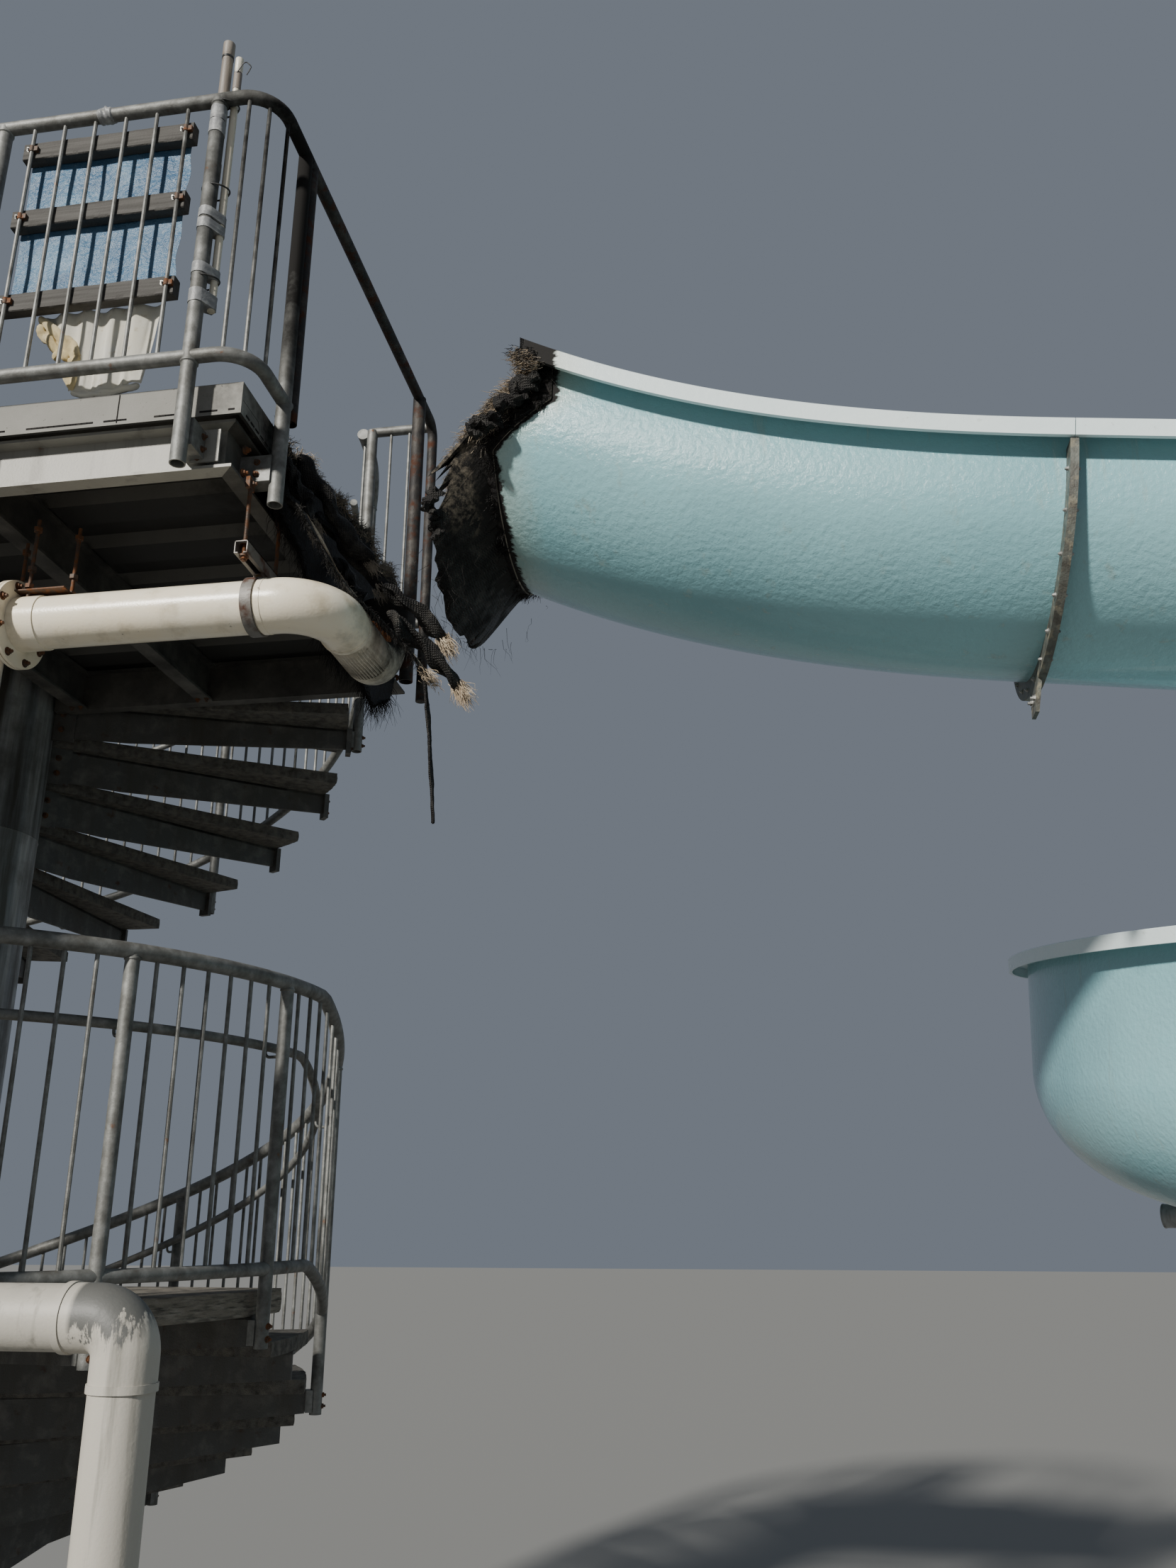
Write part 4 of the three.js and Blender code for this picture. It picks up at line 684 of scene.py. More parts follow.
def primed_elbow(tree, place, shade):
    """A dark grey patch with runs, on the feed pipe's elbow only."""
    parts = put(tree, "ShaderNodeSeparateXYZ", {0: place}).outputs
    runs = noise(tree, stretched(tree, place, (34, 34, 5)), 1.0, 5, 0.7)
    low = maths(tree, "MULTIPLY_ADD", runs, 0.34, 2.06)
    above = ramp(tree, maths(tree, "SUBTRACT", parts[2], low), 0.0, 0.02)
    right = ramp(tree, parts[0], 1.545, 1.560)
    left = ramp(tree, parts[0], 1.745, 1.725)
    share = maths(tree, "MULTIPLY", above, maths(tree, "MULTIPLY", left, right))
    return mix(tree, maths(tree, "MULTIPLY", share, 0.92), shade, (0.085, 0.088, 0.085, 1)), None


# Sizes and colours that a user may change


def size_value(label, description, default, low, high):
    """A length between two limits."""
    return FloatProperty(name=label, description=description, default=default, min=low, max=high,
                         unit="LENGTH")


def colour_value(label, description, default):
    """A base colour."""
    return FloatVectorProperty(name=label, description=description, subtype="COLOR", size=3,
                               default=default, min=0, max=1)


class SlideTowerGuards(bpy.types.PropertyGroup):
    """Tube and rod sizes of the guards."""

    post_radius: size_value("Post radius", "Outer radius of a guard post", 0.024, 0.015, 0.026)
    rail_radius: size_value(
        "Rail radius", "Outer radius of the platform's rails", 0.022, 0.012, 0.024)
    stair_rail_radius: size_value(
        "Stair rail radius", "Outer radius of the stair's top rail", 0.027, 0.015, 0.029)
    handrail_radius: size_value(
        "Handrail radius", "Outer radius of the inner handrail", 0.017, 0.012, 0.020)
    picket_radius: size_value(
        "Picket radius", "Radius of the platform guard's rods", 0.0066, 0.004, 0.008)
    stair_picket_radius: size_value(
        "Stair picket radius", "Radius of the stair guard's rods", 0.0072, 0.004, 0.009)


class SlideTowerFlume(bpy.types.PropertyGroup):
    """Sizes of the flume's skin and rim."""

    wall: size_value("Wall", "Thickness of the shell", 0.014, 0.006, 0.016)
    rim_face: size_value("Rim face", "Height of the turned-down rim", 0.059, 0.03, 0.061)
    fibre_length: size_value(
        "Fibre length", "Length of the loose glass fibres at the burnt end", 0.052, 0.01, 0.08)


class SlideTowerColours(bpy.types.PropertyGroup):
    """Base colours of the finishes."""

    shell: colour_value("Shell", "Flume shell", (0.26, 0.53, 0.58))
    rim: colour_value("Rim", "Flume rim", (0.74, 0.86, 0.87))
    guard: colour_value("Guard", "Weathered guard paint", (0.168, 0.170, 0.160))
    steel: colour_value("Steel", "Platform steel", (0.275, 0.268, 0.240))
    column: colour_value("Column", "Column paint", (0.235, 0.25, 0.26))
    plastic: colour_value("White pipe", "White pipe plastic", (0.90, 0.80, 0.61))
    feed: colour_value("Feed pipe", "Weathered grey pipe plastic", (0.42, 0.40, 0.35))
    banner: colour_value("Banner", "Thin blue sheet", (0.060, 0.145, 0.25))


class SlideTowerStage(bpy.types.PropertyGroup):
    """Light and floor."""

    sun: FloatProperty(
        name="Sun", description="Strength of the key light", default=5.3, min=0, max=10)
    sky: FloatProperty(
        name="Sky", description="Strength of the light from all round", default=0.22, min=0, max=3)
    softness: FloatProperty(
        name="Softness", description="Angle that the key light fills", default=0.06,
        min=0, max=1, subtype="ANGLE")


class SlideTower(bpy.types.PropertyGroup):
    """All the groups of values, as one."""

    guards: PointerProperty(type=SlideTowerGuards)
    flume: PointerProperty(type=SlideTowerFlume)
    colours: PointerProperty(type=SlideTowerColours)
    stage: PointerProperty(type=SlideTowerStage)


def values():
    """The scene's sizes and colours."""
    return bpy.context.scene.slide_tower


class Step(bpy.types.Operator):
    """One step of building the tower"""

    bl_idname = "slide_tower.step"
    bl_label = "Step"
    bl_options = {"REGISTER"}


RUST = (0.19, 0.075, 0.028)
DEEP_RUST = (0.075, 0.03, 0.016)
GRIME = (0.07, 0.065, 0.055)
PALE = (0.50, 0.50, 0.47)
CHAR = (0.011, 0.010, 0.010)


class MakeFinishes(Step):
    """Makes the shared node groups and every material"""

    bl_idname = "slide_tower.finishes"
    bl_label = "Finishes"

    def execute(self, context):
        make_stain_group()
        make_soot_group()
        make_relief_group()
        make_weave_group()
        tone = values().colours
        make_finish("guard_steel", tone.guard, (0.55, 0.4), [
            ((0.28, 0.283, 0.27), 30, 0.36, 0.3, EVEN), (GRIME, 11, 0.26, 0.3, EVEN),
            (RUST, 22, 0.03, 0.10, EVEN)], soot=(0.70, 1.06, (2.15, -1.0, 5.75)),
            metallic=0.35, grain=(210, 0.0005))
        make_finish("charred_steel", (0.028, 0.026, 0.025), (0.55, 0.8), [
            ((0.075, 0.068, 0.06), 14, 0.35, 0.2, EVEN), (DEEP_RUST, 20, 0.3, 0.14, EVEN)],
            metallic=0.2, grain=(190, 0.0012), specular_ior_level=0.25)
        make_finish("column_paint", tone.column, (0.42, 0.7), [
            (PALE, 9, 0.30, 0.30, DOWN), (GRIME, 13, 0.40, 0.22, DOWN),
            (GRIME, 4, 0.22, 0.3, EVEN)], metallic=0.2, grain=(130, 0.0006))
        make_finish("platform_steel", tone.steel, (0.5, 0.78), [
            ((0.34, 0.332, 0.297), 7, 0.34, 0.4, DOWN), (GRIME, 13, 0.0, 0.36, DOWN),
            (RUST, 13, 0.03, 0.1, EVEN)], soot=(0.40, 0.74, BURN_CENTRE), metallic=0.1,
            grain=(120, 0.0006))
        # Dark steel for the members under the deck: partly soot and grime, partly painted shade on
        # the inside members.
        make_finish("underdeck_soot_and_painted_shade", (0.070, 0.067, 0.060), (0.6, 0.85), [
            ((0.13, 0.122, 0.105), 9, 0.3, 0.3, EVEN), ((0.025, 0.024, 0.022), 5, 0.38, 0.3, EVEN)],
            grain=(120, 0.0008))
        make_finish("deck_edge", (0.225, 0.22, 0.20), (0.72, 0.9), [
            ((0.29, 0.283, 0.256), 5, 0.4, 0.4, EVEN), (GRIME, 70, 0.05, 0.06, EVEN)],
            soot=(0.42, 0.72, BURN_CENTRE), grain=(330, 0.0010), special=top_of_deck)
        make_finish("stair_paint", (0.085, 0.086, 0.082), (0.6, 0.85), [
            ((0.19, 0.185, 0.17), 14, 0.2, 0.3, EVEN), (GRIME, 7, 0.35, 0.3, DOWN),
            (DEEP_RUST, 18, 0.06, 0.16, EVEN)], metallic=0.15, grain=(150, 0.0012))
        make_finish("slab_edge", (0.14, 0.134, 0.12), (0.8, 0.95), [
            ((0.20, 0.18, 0.15), 24, 0.34, 0.3, EVEN), ((0.05, 0.046, 0.04), 30, 0.34, 0.3, EVEN)],
            grain=(260, 0.0040))
        make_finish("landing_edge", (0.23, 0.205, 0.165), (0.75, 0.92), [
            ((0.36, 0.33, 0.28), 14, 0.2, 0.3, (1, 1, 5)), (GRIME, 12, 0.34, 0.2, (1, 1, 8))],
            grain=(240, 0.0030))
        make_finish("flume_shell", tone.shell, (0.16, 0.42), [
            ((0.34, 0.60, 0.64), 3.2, 0.5, 0.5, EVEN), ((0.20, 0.42, 0.47), 1.6, 0.32, 0.4, EVEN),
            ((0.29, 0.45, 0.45), 20, 0.13, 0.14, DOWN)], coat=0.35, grain=(50, 0.0030),
            special=scorched_flume(False))
        make_finish("flume_rim", tone.rim, (0.25, 0.5), [
            ((0.80, 0.90, 0.90), 7, 0.4, 0.4, EVEN), ((0.45, 0.50, 0.46), 26, 0.05, 0.12, EVEN)],
            coat=0.2, grain=(48, 0.0008), special=scorched_flume(True))
        make_finish("flange_laminate", (0.14, 0.15, 0.13), (0.5, 0.8), [
            ((0.06, 0.055, 0.045), 22, 0.5, 0.3, EVEN), ((0.30, 0.27, 0.19), 30, 0.25, 0.2, EVEN)],
            grain=(160, 0.0014))
        make_finish("mast_paint", (0.30, 0.315, 0.32), (0.45, 0.75), [
            (PALE, 8, 0.3, 0.3, DOWN), (GRIME, 12, 0.35, 0.22, DOWN), (RUST, 16, 0.12, 0.1, EVEN)],
            metallic=0.15, grain=(130, 0.0007))
        make_finish("white_pipe", tone.plastic, (0.28, 0.5), [
            ((0.88, 0.83, 0.70), 6, 0.4, 0.4, EVEN), ((0.50, 0.42, 0.28), 9, 0.12, 0.3, EVEN),
            ((0.16, 0.13, 0.10), 46, 0.03, 0.08, EVEN)], soot=(0.16, 0.50, (2.06, -0.93, 4.52)),
            grain=(120, 0.0004))
        make_finish("pole_plastic", (0.72, 0.66, 0.52), (0.3, 0.5), [
            ((0.80, 0.77, 0.68), 8, 0.4, 0.4, EVEN), ((0.30, 0.22, 0.13), 13, 0.2, 0.2, DOWN)],
            grain=(160, 0.0004))
        make_finish("feed_pipe_plastic", tone.feed, (0.5, 0.72), [
            ((0.52, 0.49, 0.43), 5, 0.4, 0.35, DOWN), ((0.22, 0.21, 0.18), 18, 0.18, 0.16, DOWN)],
            grain=(110, 0.0005), special=primed_elbow)
        make_finish("old_timber", (0.064, 0.060, 0.054), (0.7, 0.9), [
            ((0.085, 0.080, 0.072), 10, 0.45, 0.5, (0.12, 1, 3)),
            ((0.038, 0.035, 0.031), 26, 0.3, 0.4, (0.10, 1, 3))], grain=(150, 0.0016))
        make_finish("strap_steel", (0.17, 0.16, 0.145), (0.5, 0.8), [
            ((0.27, 0.26, 0.24), 12, 0.25, 0.3, EVEN), (DEEP_RUST, 15, 0.36, 0.16, EVEN)],
            metallic=0.2, grain=(200, 0.0006))
        make_finish("blue_sheet", tone.banner, (0.30, 0.5), [
            ((0.17, 0.30, 0.42), 6, 0.30, 0.35, (1, 1, 0.6)),
            ((0.04, 0.10, 0.19), 7, 0.35, 0.35, EVEN),
            ((0.35, 0.40, 0.43), 60, 0.08, 0.08, EVEN)], grain=(16, 0.012),
            specular_ior_level=0.35)
        make_finish("cream_cloth", (0.94, 0.90, 0.74), (0.8, 0.95), [
            ((0.96, 0.95, 0.88), 6, 0.5, 0.35, EVEN), ((0.52, 0.40, 0.17), 26, 0.06, 0.2, EVEN)],
            grain=(200, 0.0010), weave=220, sheen_weight=0.3)
        make_finish("yellow_cloth", (0.86, 0.68, 0.32), (0.8, 0.95), [
            ((0.92, 0.80, 0.50), 9, 0.5, 0.35, EVEN), ((0.40, 0.27, 0.09), 22, 0.22, 0.25, EVEN)],
            grain=(200, 0.0010), weave=220, sheen_weight=0.3)
        make_finish("charred_weave", (0.020, 0.019, 0.018), (0.45, 0.85), [
            ((0.060, 0.056, 0.050), 24, 0.34, 0.2, EVEN), (CHAR, 10, 0.4, 0.2, EVEN)],
            grain=(180, 0.0030), weave=46, specular_ior_level=0.25)
        make_finish("tan_fibre", (0.44, 0.34, 0.23), (0.75, 0.95), [
            ((0.66, 0.56, 0.42), 22, 0.40, 0.25, EVEN), ((0.06, 0.05, 0.04), 13, 0.30, 0.16, EVEN)],
            grain=(240, 0.0020))
        make_finish("grey_fibre", (0.21, 0.185, 0.15), (0.75, 0.95), [
            ((0.40, 0.35, 0.29), 16, 0.40, 0.25, EVEN), (CHAR, 11, 0.34, 0.18, EVEN)],
            grain=(240, 0.0020))
        make_finish("soot_crust", CHAR, (0.55, 0.92), [
            ((0.040, 0.036, 0.033), 30, 0.30, 0.18, EVEN)], grain=(95, 0.0060),
            specular_ior_level=0.15)
        make_finish("rusty_bolt", (0.085, 0.060, 0.045), (0.6, 0.85), [
            (RUST, 40, 0.45, 0.2, EVEN)], metallic=0.4, grain=(500, 0.0004))
        make_finish("bright_bolt", (0.42, 0.42, 0.40), (0.35, 0.65), [
            (GRIME, 60, 0.35, 0.2, EVEN)], metallic=0.6, grain=(500, 0.0003))
        make_finish("brass_fitting", (0.35, 0.25, 0.10), (0.35, 0.6), [
            (DEEP_RUST, 60, 0.35, 0.2, EVEN)], metallic=0.7, grain=(500, 0.0003))
        make_finish("grey_tape", (0.24, 0.245, 0.25), (0.4, 0.6), [
            ((0.42, 0.43, 0.42), 30, 0.3, 0.2, EVEN)], grain=(180, 0.0006))
        make_finish("black_band", (0.018, 0.018, 0.018), (0.4, 0.7), [
            ((0.07, 0.07, 0.065), 40, 0.25, 0.2, EVEN)], grain=(300, 0.0003))
        make_finish("orange_rust", (0.35, 0.115, 0.030), (0.8, 0.95), [
            ((0.16, 0.055, 0.022), 50, 0.42, 0.2, EVEN)], grain=(380, 0.0020))
        make_finish("pole_paint", (0.22, 0.185, 0.155), (0.5, 0.8), [
            ((0.36, 0.34, 0.30), 13, 0.3, 0.3, DOWN), ((0.09, 0.06, 0.045), 20, 0.35, 0.18, DOWN)],
            grain=(200, 0.0007))
        return {"FINISHED"}


NODE_FINISHES = {
    "platform_steel": ["frame_front_channel"],
    # These members take the dark finish that is partly soot and grime, partly painted shade.
    "underdeck_soot_and_painted_shade": [
        "frame_right_channel", "frame_left_channel", "frame_back_channel_right",
        "frame_back_channel_left", "frame_joist_1", "frame_joist_2", "frame_joist_3",
    ],
    "deck_edge": ["deck"],
    "mast_paint": ["column_foot_plate", "mast_foot_plate"],
}


class FinishNodes(Step):
    """Gives the solids that stay in view their finishes"""

    bl_idname = "slide_tower.nodes"
    bl_label = "Solids that stay"

    def execute(self, context):
        for finish, names in NODE_FINISHES.items():
            for name in names:
                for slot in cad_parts[name].material_slots:
                    slot.material = bpy.data.materials[finish]
        return {"FINISHED"}


def hollow_post(shape, spots, top, foot, radius, sides=20, finish=0):
    """Upright tubes, open below: down the outside, across the edge and 70 mm up the inside."""
    inner = radius - 0.004
    profile = [(radius, top), (radius, foot), (inner, foot), (inner, foot + 0.07)]
    turned(shape, spots, profile, sides, finish)


def weld_collar(shape, centres, radius, finish=0):
    """Low rings of weld where an upright tube meets a rail: radius swells and falls again."""
    profile = [(radius, 0.006), (radius + 0.0035, 0.002), (radius + 0.0035, -0.002),
               (radius, -0.006)]
    turned(shape, centres, profile, 16, finish)


def lugs(shape, spots, toward, reach, finish=0, bolt_finish=1):
    """Bolted lugs that carry posts on the channel: a block from the post's middle to the
    channel's web, with two bolts on each side."""
    spots = np.atleast_2d(spots).astype(float)
    toward = np.asarray(toward, float)
    across = np.array([abs(toward[1]), abs(toward[0]), 0])
    start, end = spots + toward * 0.012, spots + toward * reach
    low = np.minimum(start, end) - across * 0.030
    high = np.maximum(start, end) + across * 0.030
    low[:, 2], high[:, 2] = LUG_Z
    boxes(shape, low, high, 0, finish)
    for way in (-1, 1):
        for height in (4.658, 4.700):
            spot = spots + toward * (reach - 0.055) + across * way * 0.030
            spot[:, 2] = height
            bolts(shape, spot, across * way, 0.008, bolt_finish)


def picket_line(start, end, count):
    """Points that divide the way from start to end into equal parts."""
    share = (np.arange(count) + 1)[:, None] / (count + 1)
    return np.asarray(start) + share * (np.asarray(end) - np.asarray(start))


def upright(shape, spots, low, high, radius, sides=8, finish=0):
    """Upright rods at spots."""
    spots = np.atleast_2d(spots).astype(float)
    start, end = spots.copy(), spots.copy()
    start[:, 2], end[:, 2] = low, high
    rods(shape, start, end, radius, sides, finish)


def anchored_foot(shape, centre, radius, reach, height, corner):
    """Eight gussets from a tube down to its foot plate, and eight anchor bolts on a square."""
    gusset = [(radius - 0.002, 0.0), (radius + reach, 0.0), (radius + reach, 0.03),
              (radius + 0.02, height), (radius - 0.002, height)]
    outward = polar(np.arange(8) * 45.0, 1, 0)
    plates(shape, gusset, centre + [0, 0, 0.0301], outward, [0, 0, 1], 0.012)
    x = corner * np.array([-1, 1, 1, -1, 0, 1, 0, -1])
    y = corner * np.array([-1, -1, 1, 1, -1, 0, 1, 0])
    bolts(shape, centre + places(x, y, 0.0300), [0, 0, 1], 0.024, 1, stub=1.6)


class BuildColumn(Step):
    """Builds the column with its seams, cap and foot"""

    bl_idname = "slide_tower.column"
    bl_label = "Column"

    def execute(self, context):
        shape = Shape()
        r = COLUMN_RADIUS
        profile = [(r - 0.006, TOP_RAIL), (r, TOP_RAIL - 0.006)]
        for seam in (4.02, 1.98):
            profile += [(r, seam + 0.007), (r + 0.0025, seam), (r, seam - 0.007)]
        profile += [(r, COLUMN_FOOT + 0.02), (r + 0.010, COLUMN_FOOT)]
        turned(shape, [0, 0, 0], profile, 72)
        line = np.linspace(COLUMN_FOOT + 0.03, TOP_RAIL - 0.03, 60)
        rods(shape, polar(200, r, line[0]), polar(200, r, line[-1]), 0.003, 8)
        shape.piece("column_tube", ["column_paint"], ["column"], "galvanised")
        foot = Shape()
        anchored_foot(foot, np.zeros(3), r, 0.15, 0.22, 0.36)
        foot.piece("column_foot_gussets", ["mast_paint", "rusty_bolt"], (), "steel")
        return {"FINISHED"}


class BuildPlatformFittings(Step):
    """Builds the edge strips, splice plates and bolts of the platform"""

    bl_idname = "slide_tower.platform"
    bl_label = "Platform fittings"

    def execute(self, context):
        shape = Shape()
        front, right = DECK_Y[0], DECK_X[1]
        foot = DECK_TOP - 0.108
        x = np.linspace(DECK_X[0] + 0.03, DECK_X[1] - 0.03, 150)
        keep = wander(x, 0.05, 1, 3)
        gap = x[keep > -0.2]
        lows = places(gap - 0.010, front - 0.0012, foot + 0.012)
        highs = places(gap + 0.010, front + 0.002, foot + 0.0175)
        boxes(shape, lows, highs, 0, 1)
        y = np.linspace(front + 0.05, DECK_Y[1] - 0.05, 50)
        lows = places(right - 0.002, y - 0.012, foot + 0.012)
        highs = places(right + 0.0012, y + 0.012, foot + 0.0175)
        boxes(shape, lows, highs, 0, 1)
        for x0 in (-0.28, 0.62, 1.46):
            boxes(shape, [x0, front - 0.0016, foot + 0.006],
                  [x0 + 0.003, front + 0.001, DECK_TOP - 0.004], 0, 1)
        shape.piece("deck_seams", ["deck_edge", "soot_crust"], (), "stair_steel")
        top = Shape()
        count = 9
        width = (DECK_X[1] - DECK_X[0] - 0.04) / count
        for i in range(count):
            low_x = DECK_X[0] + 0.02 + i * width
            y0, y1 = DECK_Y[0] + 0.02, DECK_Y[1] - 0.02
            if low_x < COLUMN_RADIUS + 0.02 and low_x + width > -COLUMN_RADIUS - 0.02:
                y1 = -COLUMN_RADIUS - 0.03
            boxes(top, [low_x + 0.004, y0, DECK_TOP - 0.001],
                  [low_x + width - 0.004, y1, DECK_TOP + 0.0035])
        top.piece("deck_mats", ["slab_edge"], (), "stair_steel")
        steel = Shape()
        web_y, web_x = -1.6412, 1.8212
        ends = places([1.72, 1.72, 0.10, 0.10, -0.78, -0.78], web_y, [4.64, 4.72] * 3)
        bolts(steel, ends, [0, -1, 0], 0.010, 1)
        plates(steel, [(-0.045, -0.055), (0.045, -0.055), (0.045, 0.055), (-0.045, 0.055)],
               places([1.74, 0.08, -0.80], web_y - 0.003, 4.680), [1, 0, 0], [0, 0, 1], 0.006)
        ends = places(web_x, [-1.55, -1.55, -0.62, -0.62, 0.02, 0.02], [4.64, 4.72] * 3)
        bolts(steel, ends, [1, 0, 0], 0.010, 1)
        joists = np.repeat([-0.380, 0.380, 0.960], 2)
        for y0 in (-1.6, 0.02):
            spots = places(joists + np.tile([-0.020, 0.020], 3), y0, 4.6005)
            bolts(steel, spots, [0, 0, -1], 0.009, 1)
        steel.piece("frame_bolts", ["platform_steel", "rusty_bolt"], (), "steel")
        return {"FINISHED"}


def corner_line(corners, height, radius):
    """A rail's line at one height, with its corners bent."""
    return rounded([(x, y, height) for x, y in corners], radius)


class BuildGuards(Step):
    """Builds the platform's guards: rails, posts, rods and lugs"""

    bl_idname = "slide_tower.guards"
    bl_label = "Platform guards"

    def execute(self, context):
        size = values().guards
        post, rail, rod = size.post_radius, size.rail_radius, size.picket_radius
        shape = Shape()
        corners = [(GUARD_SPLIT, GUARD_FRONT), (GUARD_RIGHT, GUARD_FRONT), (GUARD_RIGHT, -1.456)]
        for height in (TOP_RAIL, BOTTOM_RAIL):
            tube(shape, corner_line(corners, height, 0.115), rail, 20)
        xs = [1.710, 0.960, 0.210, -0.540]
        posts = places(xs, GUARD_FRONT, 0)
        hollow_post(shape, posts, TOP_RAIL, POST_FOOT, post)
        lugs(shape, posts, (0, 1, 0), 0.131)
        for left, right in zip(xs[1:], xs[:-1]):
            spots = picket_line((left, GUARD_FRONT, 0), (right, GUARD_FRONT, 0), 6)
            upright(shape, spots, BOTTOM_RAIL, TOP_RAIL, rod)
        turn = 0.115 * (1 - math.sqrt(0.5))
        spots = places([1.8116, GUARD_RIGHT - turn, GUARD_RIGHT],
                       [GUARD_FRONT, GUARD_FRONT + turn, GUARD_FRONT + 0.105], 0)
        upright(shape, spots, BOTTOM_RAIL, TOP_RAIL, rod)
        near = places(GUARD_RIGHT, -1.480, 0)
        hollow_post(shape, near, TOP_RAIL - 0.002, POST_FOOT, post)
        lugs(shape, near, (-1, 0, 0), 0.111)
        weld_collar(shape, places(xs, GUARD_FRONT, BOTTOM_RAIL - 0.022), post)
        weld_collar(shape, places(xs, GUARD_FRONT, TOP_RAIL - 0.022), post)
        shape.piece("guard_front_tubes", ["guard_steel", "rusty_bolt"],
                    ["guard_front"], "galvanised")

        shape = Shape()
        corners = [(GUARD_SPLIT - 0.0003, GUARD_FRONT), (GUARD_LEFT, GUARD_FRONT),
                   (GUARD_LEFT, GUARD_BACK), (-0.290, GUARD_BACK)]
        for height in (TOP_RAIL, BOTTOM_RAIL):
            tube(shape, corner_line(corners, height, 0.190), rail, 20)
        ys = [-1.520, -0.7735, -0.027]
        hollow_post(shape, places(GUARD_LEFT, ys, 0), TOP_RAIL, POST_FOOT, post)
        lugs(shape, places(GUARD_LEFT, ys, 0), (1, 0, 0), 0.131)
        for low, high in zip(ys[:-1], ys[1:]):
            upright(shape, picket_line((GUARD_LEFT, low, 0), (GUARD_LEFT, high, 0), 6),
                    BOTTOM_RAIL, TOP_RAIL, rod)
        xs = [-0.743, -0.290]
        hollow_post(shape, places(xs, GUARD_BACK, 0), TOP_RAIL, POST_FOOT, post)
        lugs(shape, places(xs, GUARD_BACK, 0), (0, -1, 0), 0.131)
        upright(shape, picket_line((xs[0], GUARD_BACK, 0), (xs[1], GUARD_BACK, 0), 3),
                BOTTOM_RAIL, TOP_RAIL, rod)
        shape.piece("guard_left_tubes", ["guard_steel", "rusty_bolt"], ["guard_left"], "galvanised")

        shape = Shape()
        bar = rounded([(GUARD_RIGHT, -1.4557, TOP_RAIL), (GUARD_RIGHT, 0.110, TOP_RAIL),
                       (GUARD_RIGHT, 0.110, POST_FOOT)], 0.070)
        tube(shape, bar, rail, 20, level=(1, 0, 0))
        loop = places(GUARD_RIGHT, -1.422, 0)
        hollow_post(shape, loop, TOP_RAIL, 4.890, rail)
        boxes(shape, [1.892, -1.4557, 4.894], [1.908, -1.422, 4.930])
        boxes(shape, [1.893, -1.4557, 5.42], [1.907, -1.430, 5.46])
        far = places(GUARD_RIGHT, -0.105, 0)
        hollow_post(shape, far, TOP_RAIL, POST_FOOT, 0.028)
        lugs(shape, far, (-1, 0, 0), 0.111)
        shape.piece("entry_bar_tubes", ["charred_steel", "rusty_bolt"], ["entry_bar"], "charred")

        shape = Shape()
        boxes(shape, [1.573, 0.029, 4.8723], [1.663, 0.129, 4.882])
        bolts(shape, places([1.585, 1.651, 1.651, 1.585], [0.041, 0.041, 0.117, 0.117], 4.882),
              [0, 0, 1], 0.008, 1)
        upright(shape, [1.618, 0.100, 0], 4.877, TOP_RAIL, post, 20)
        for height in (TOP_RAIL, BOTTOM_RAIL):
            rods(shape, [1.618, 0.110, height], [1.8777, 0.110, height], rail, 20)
        spots = picket_line((1.618, 0.110, 0), (1.8777, 0.110, 0), 2)
        upright(shape, spots, BOTTOM_RAIL, TOP_RAIL, rod)
        shape.piece("guard_back_tubes", ["guard_steel", "rusty_bolt"], ["guard_back"], "galvanised")
        return {"FINISHED"}


def slab(shape, start, end, inner, bottom, top, seed, plies, finish=0, rough=0.004):
    """A wedge between two angles. Its border is worked out once as a closed line in angle and
    radius, then stacked in plies, each with its own small random wander, and closed flat."""
    steps = max(12, int((end - start) * 1.6))
    angles = np.linspace(start, end, steps)
    edge = np.linspace(0, 1, 26)[1:-1]
    reach = STAIR_RADIUS - 0.001
    a = np.concatenate([angles, np.full(24, end), angles[::-1], np.full(24, start)])
    r = np.concatenate([np.full(steps, reach), reach + edge * (inner - reach),
                        np.full(steps, inner), inner + edge * (reach - inner)])
    along = np.arange(len(a)) * 0.045
    heights = np.linspace(top, bottom, plies + 1)
    inside = smooth_step(r, inner, inner + 0.03)
    border = polar(a, r, 0)[:, :2]
    centre = polar((start + end) / 2, 0.95, 0)[:2]
    away = unit(border - centre)
    rings = []
    for i, height in enumerate(heights):
        drift = np.abs(wander(along + 3.1 * i, 0.11, rough, seed + i)) * inside
        pull = drift + (0.0015 if i in (0, plies) else 0)
        lift = wander(along, 0.23, 0.0012, seed + 50) if 0 < i < plies else 0
        rings.append(np.column_stack([border - away * pull[:, None],
                                      np.full(len(a), height) + lift]))
    rows, columns = len(rings), len(a)
    loop = np.arange(columns)[None]
    batches = [net(rows, columns), loop, loop[:, ::-1] + (rows - 1) * columns]
    shape.add(np.stack(rings), batches, finish)


def tread_place(first, top, index):
    """The start angle and the top of a tread, counted from 1 down its flight."""
    return first + (index - 1) * TREAD_STEP - TREAD_LAP, top - index * RISER


def tread_beam(shape, angle, top, inner, finish=0):
    """The plate under a tread, tapering to its tip, with a lip under the slab."""
    outward = polar(angle, 1, 0)
    length = STAIR_RADIUS - inner
    quarter = inner + 0.25 * length
    outline = [(inner, top - 0.150), (quarter, top - 0.150), (STAIR_RADIUS - 0.001, top - 0.095),
               (STAIR_RADIUS - 0.001, top), (inner, top)]
    plates(shape, outline, [0, 0, 0], outward, [0, 0, 1], 0.012, finish)
    boxes(shape, [inner, -0.006, top - 0.012], [STAIR_RADIUS - 0.001, 0.030, top], angle, finish)


def beam_bolts(shape, angle, top, inner, finish):
    """Two bolts through a beam's plate beside the column, on both its faces."""
    outward, across = polar(angle, 1, 0), polar(angle + 90, 1, 0)
    for way in (-1, 1):
        face = 0.006 if way > 0 else 0.0145
        spots = np.stack([outward * (inner + 0.035) + across * way * face] * 2)
        spots[:, 2] = [top - 0.045, top - 0.115]
        bolts(shape, spots, across * way, 0.010, finish)


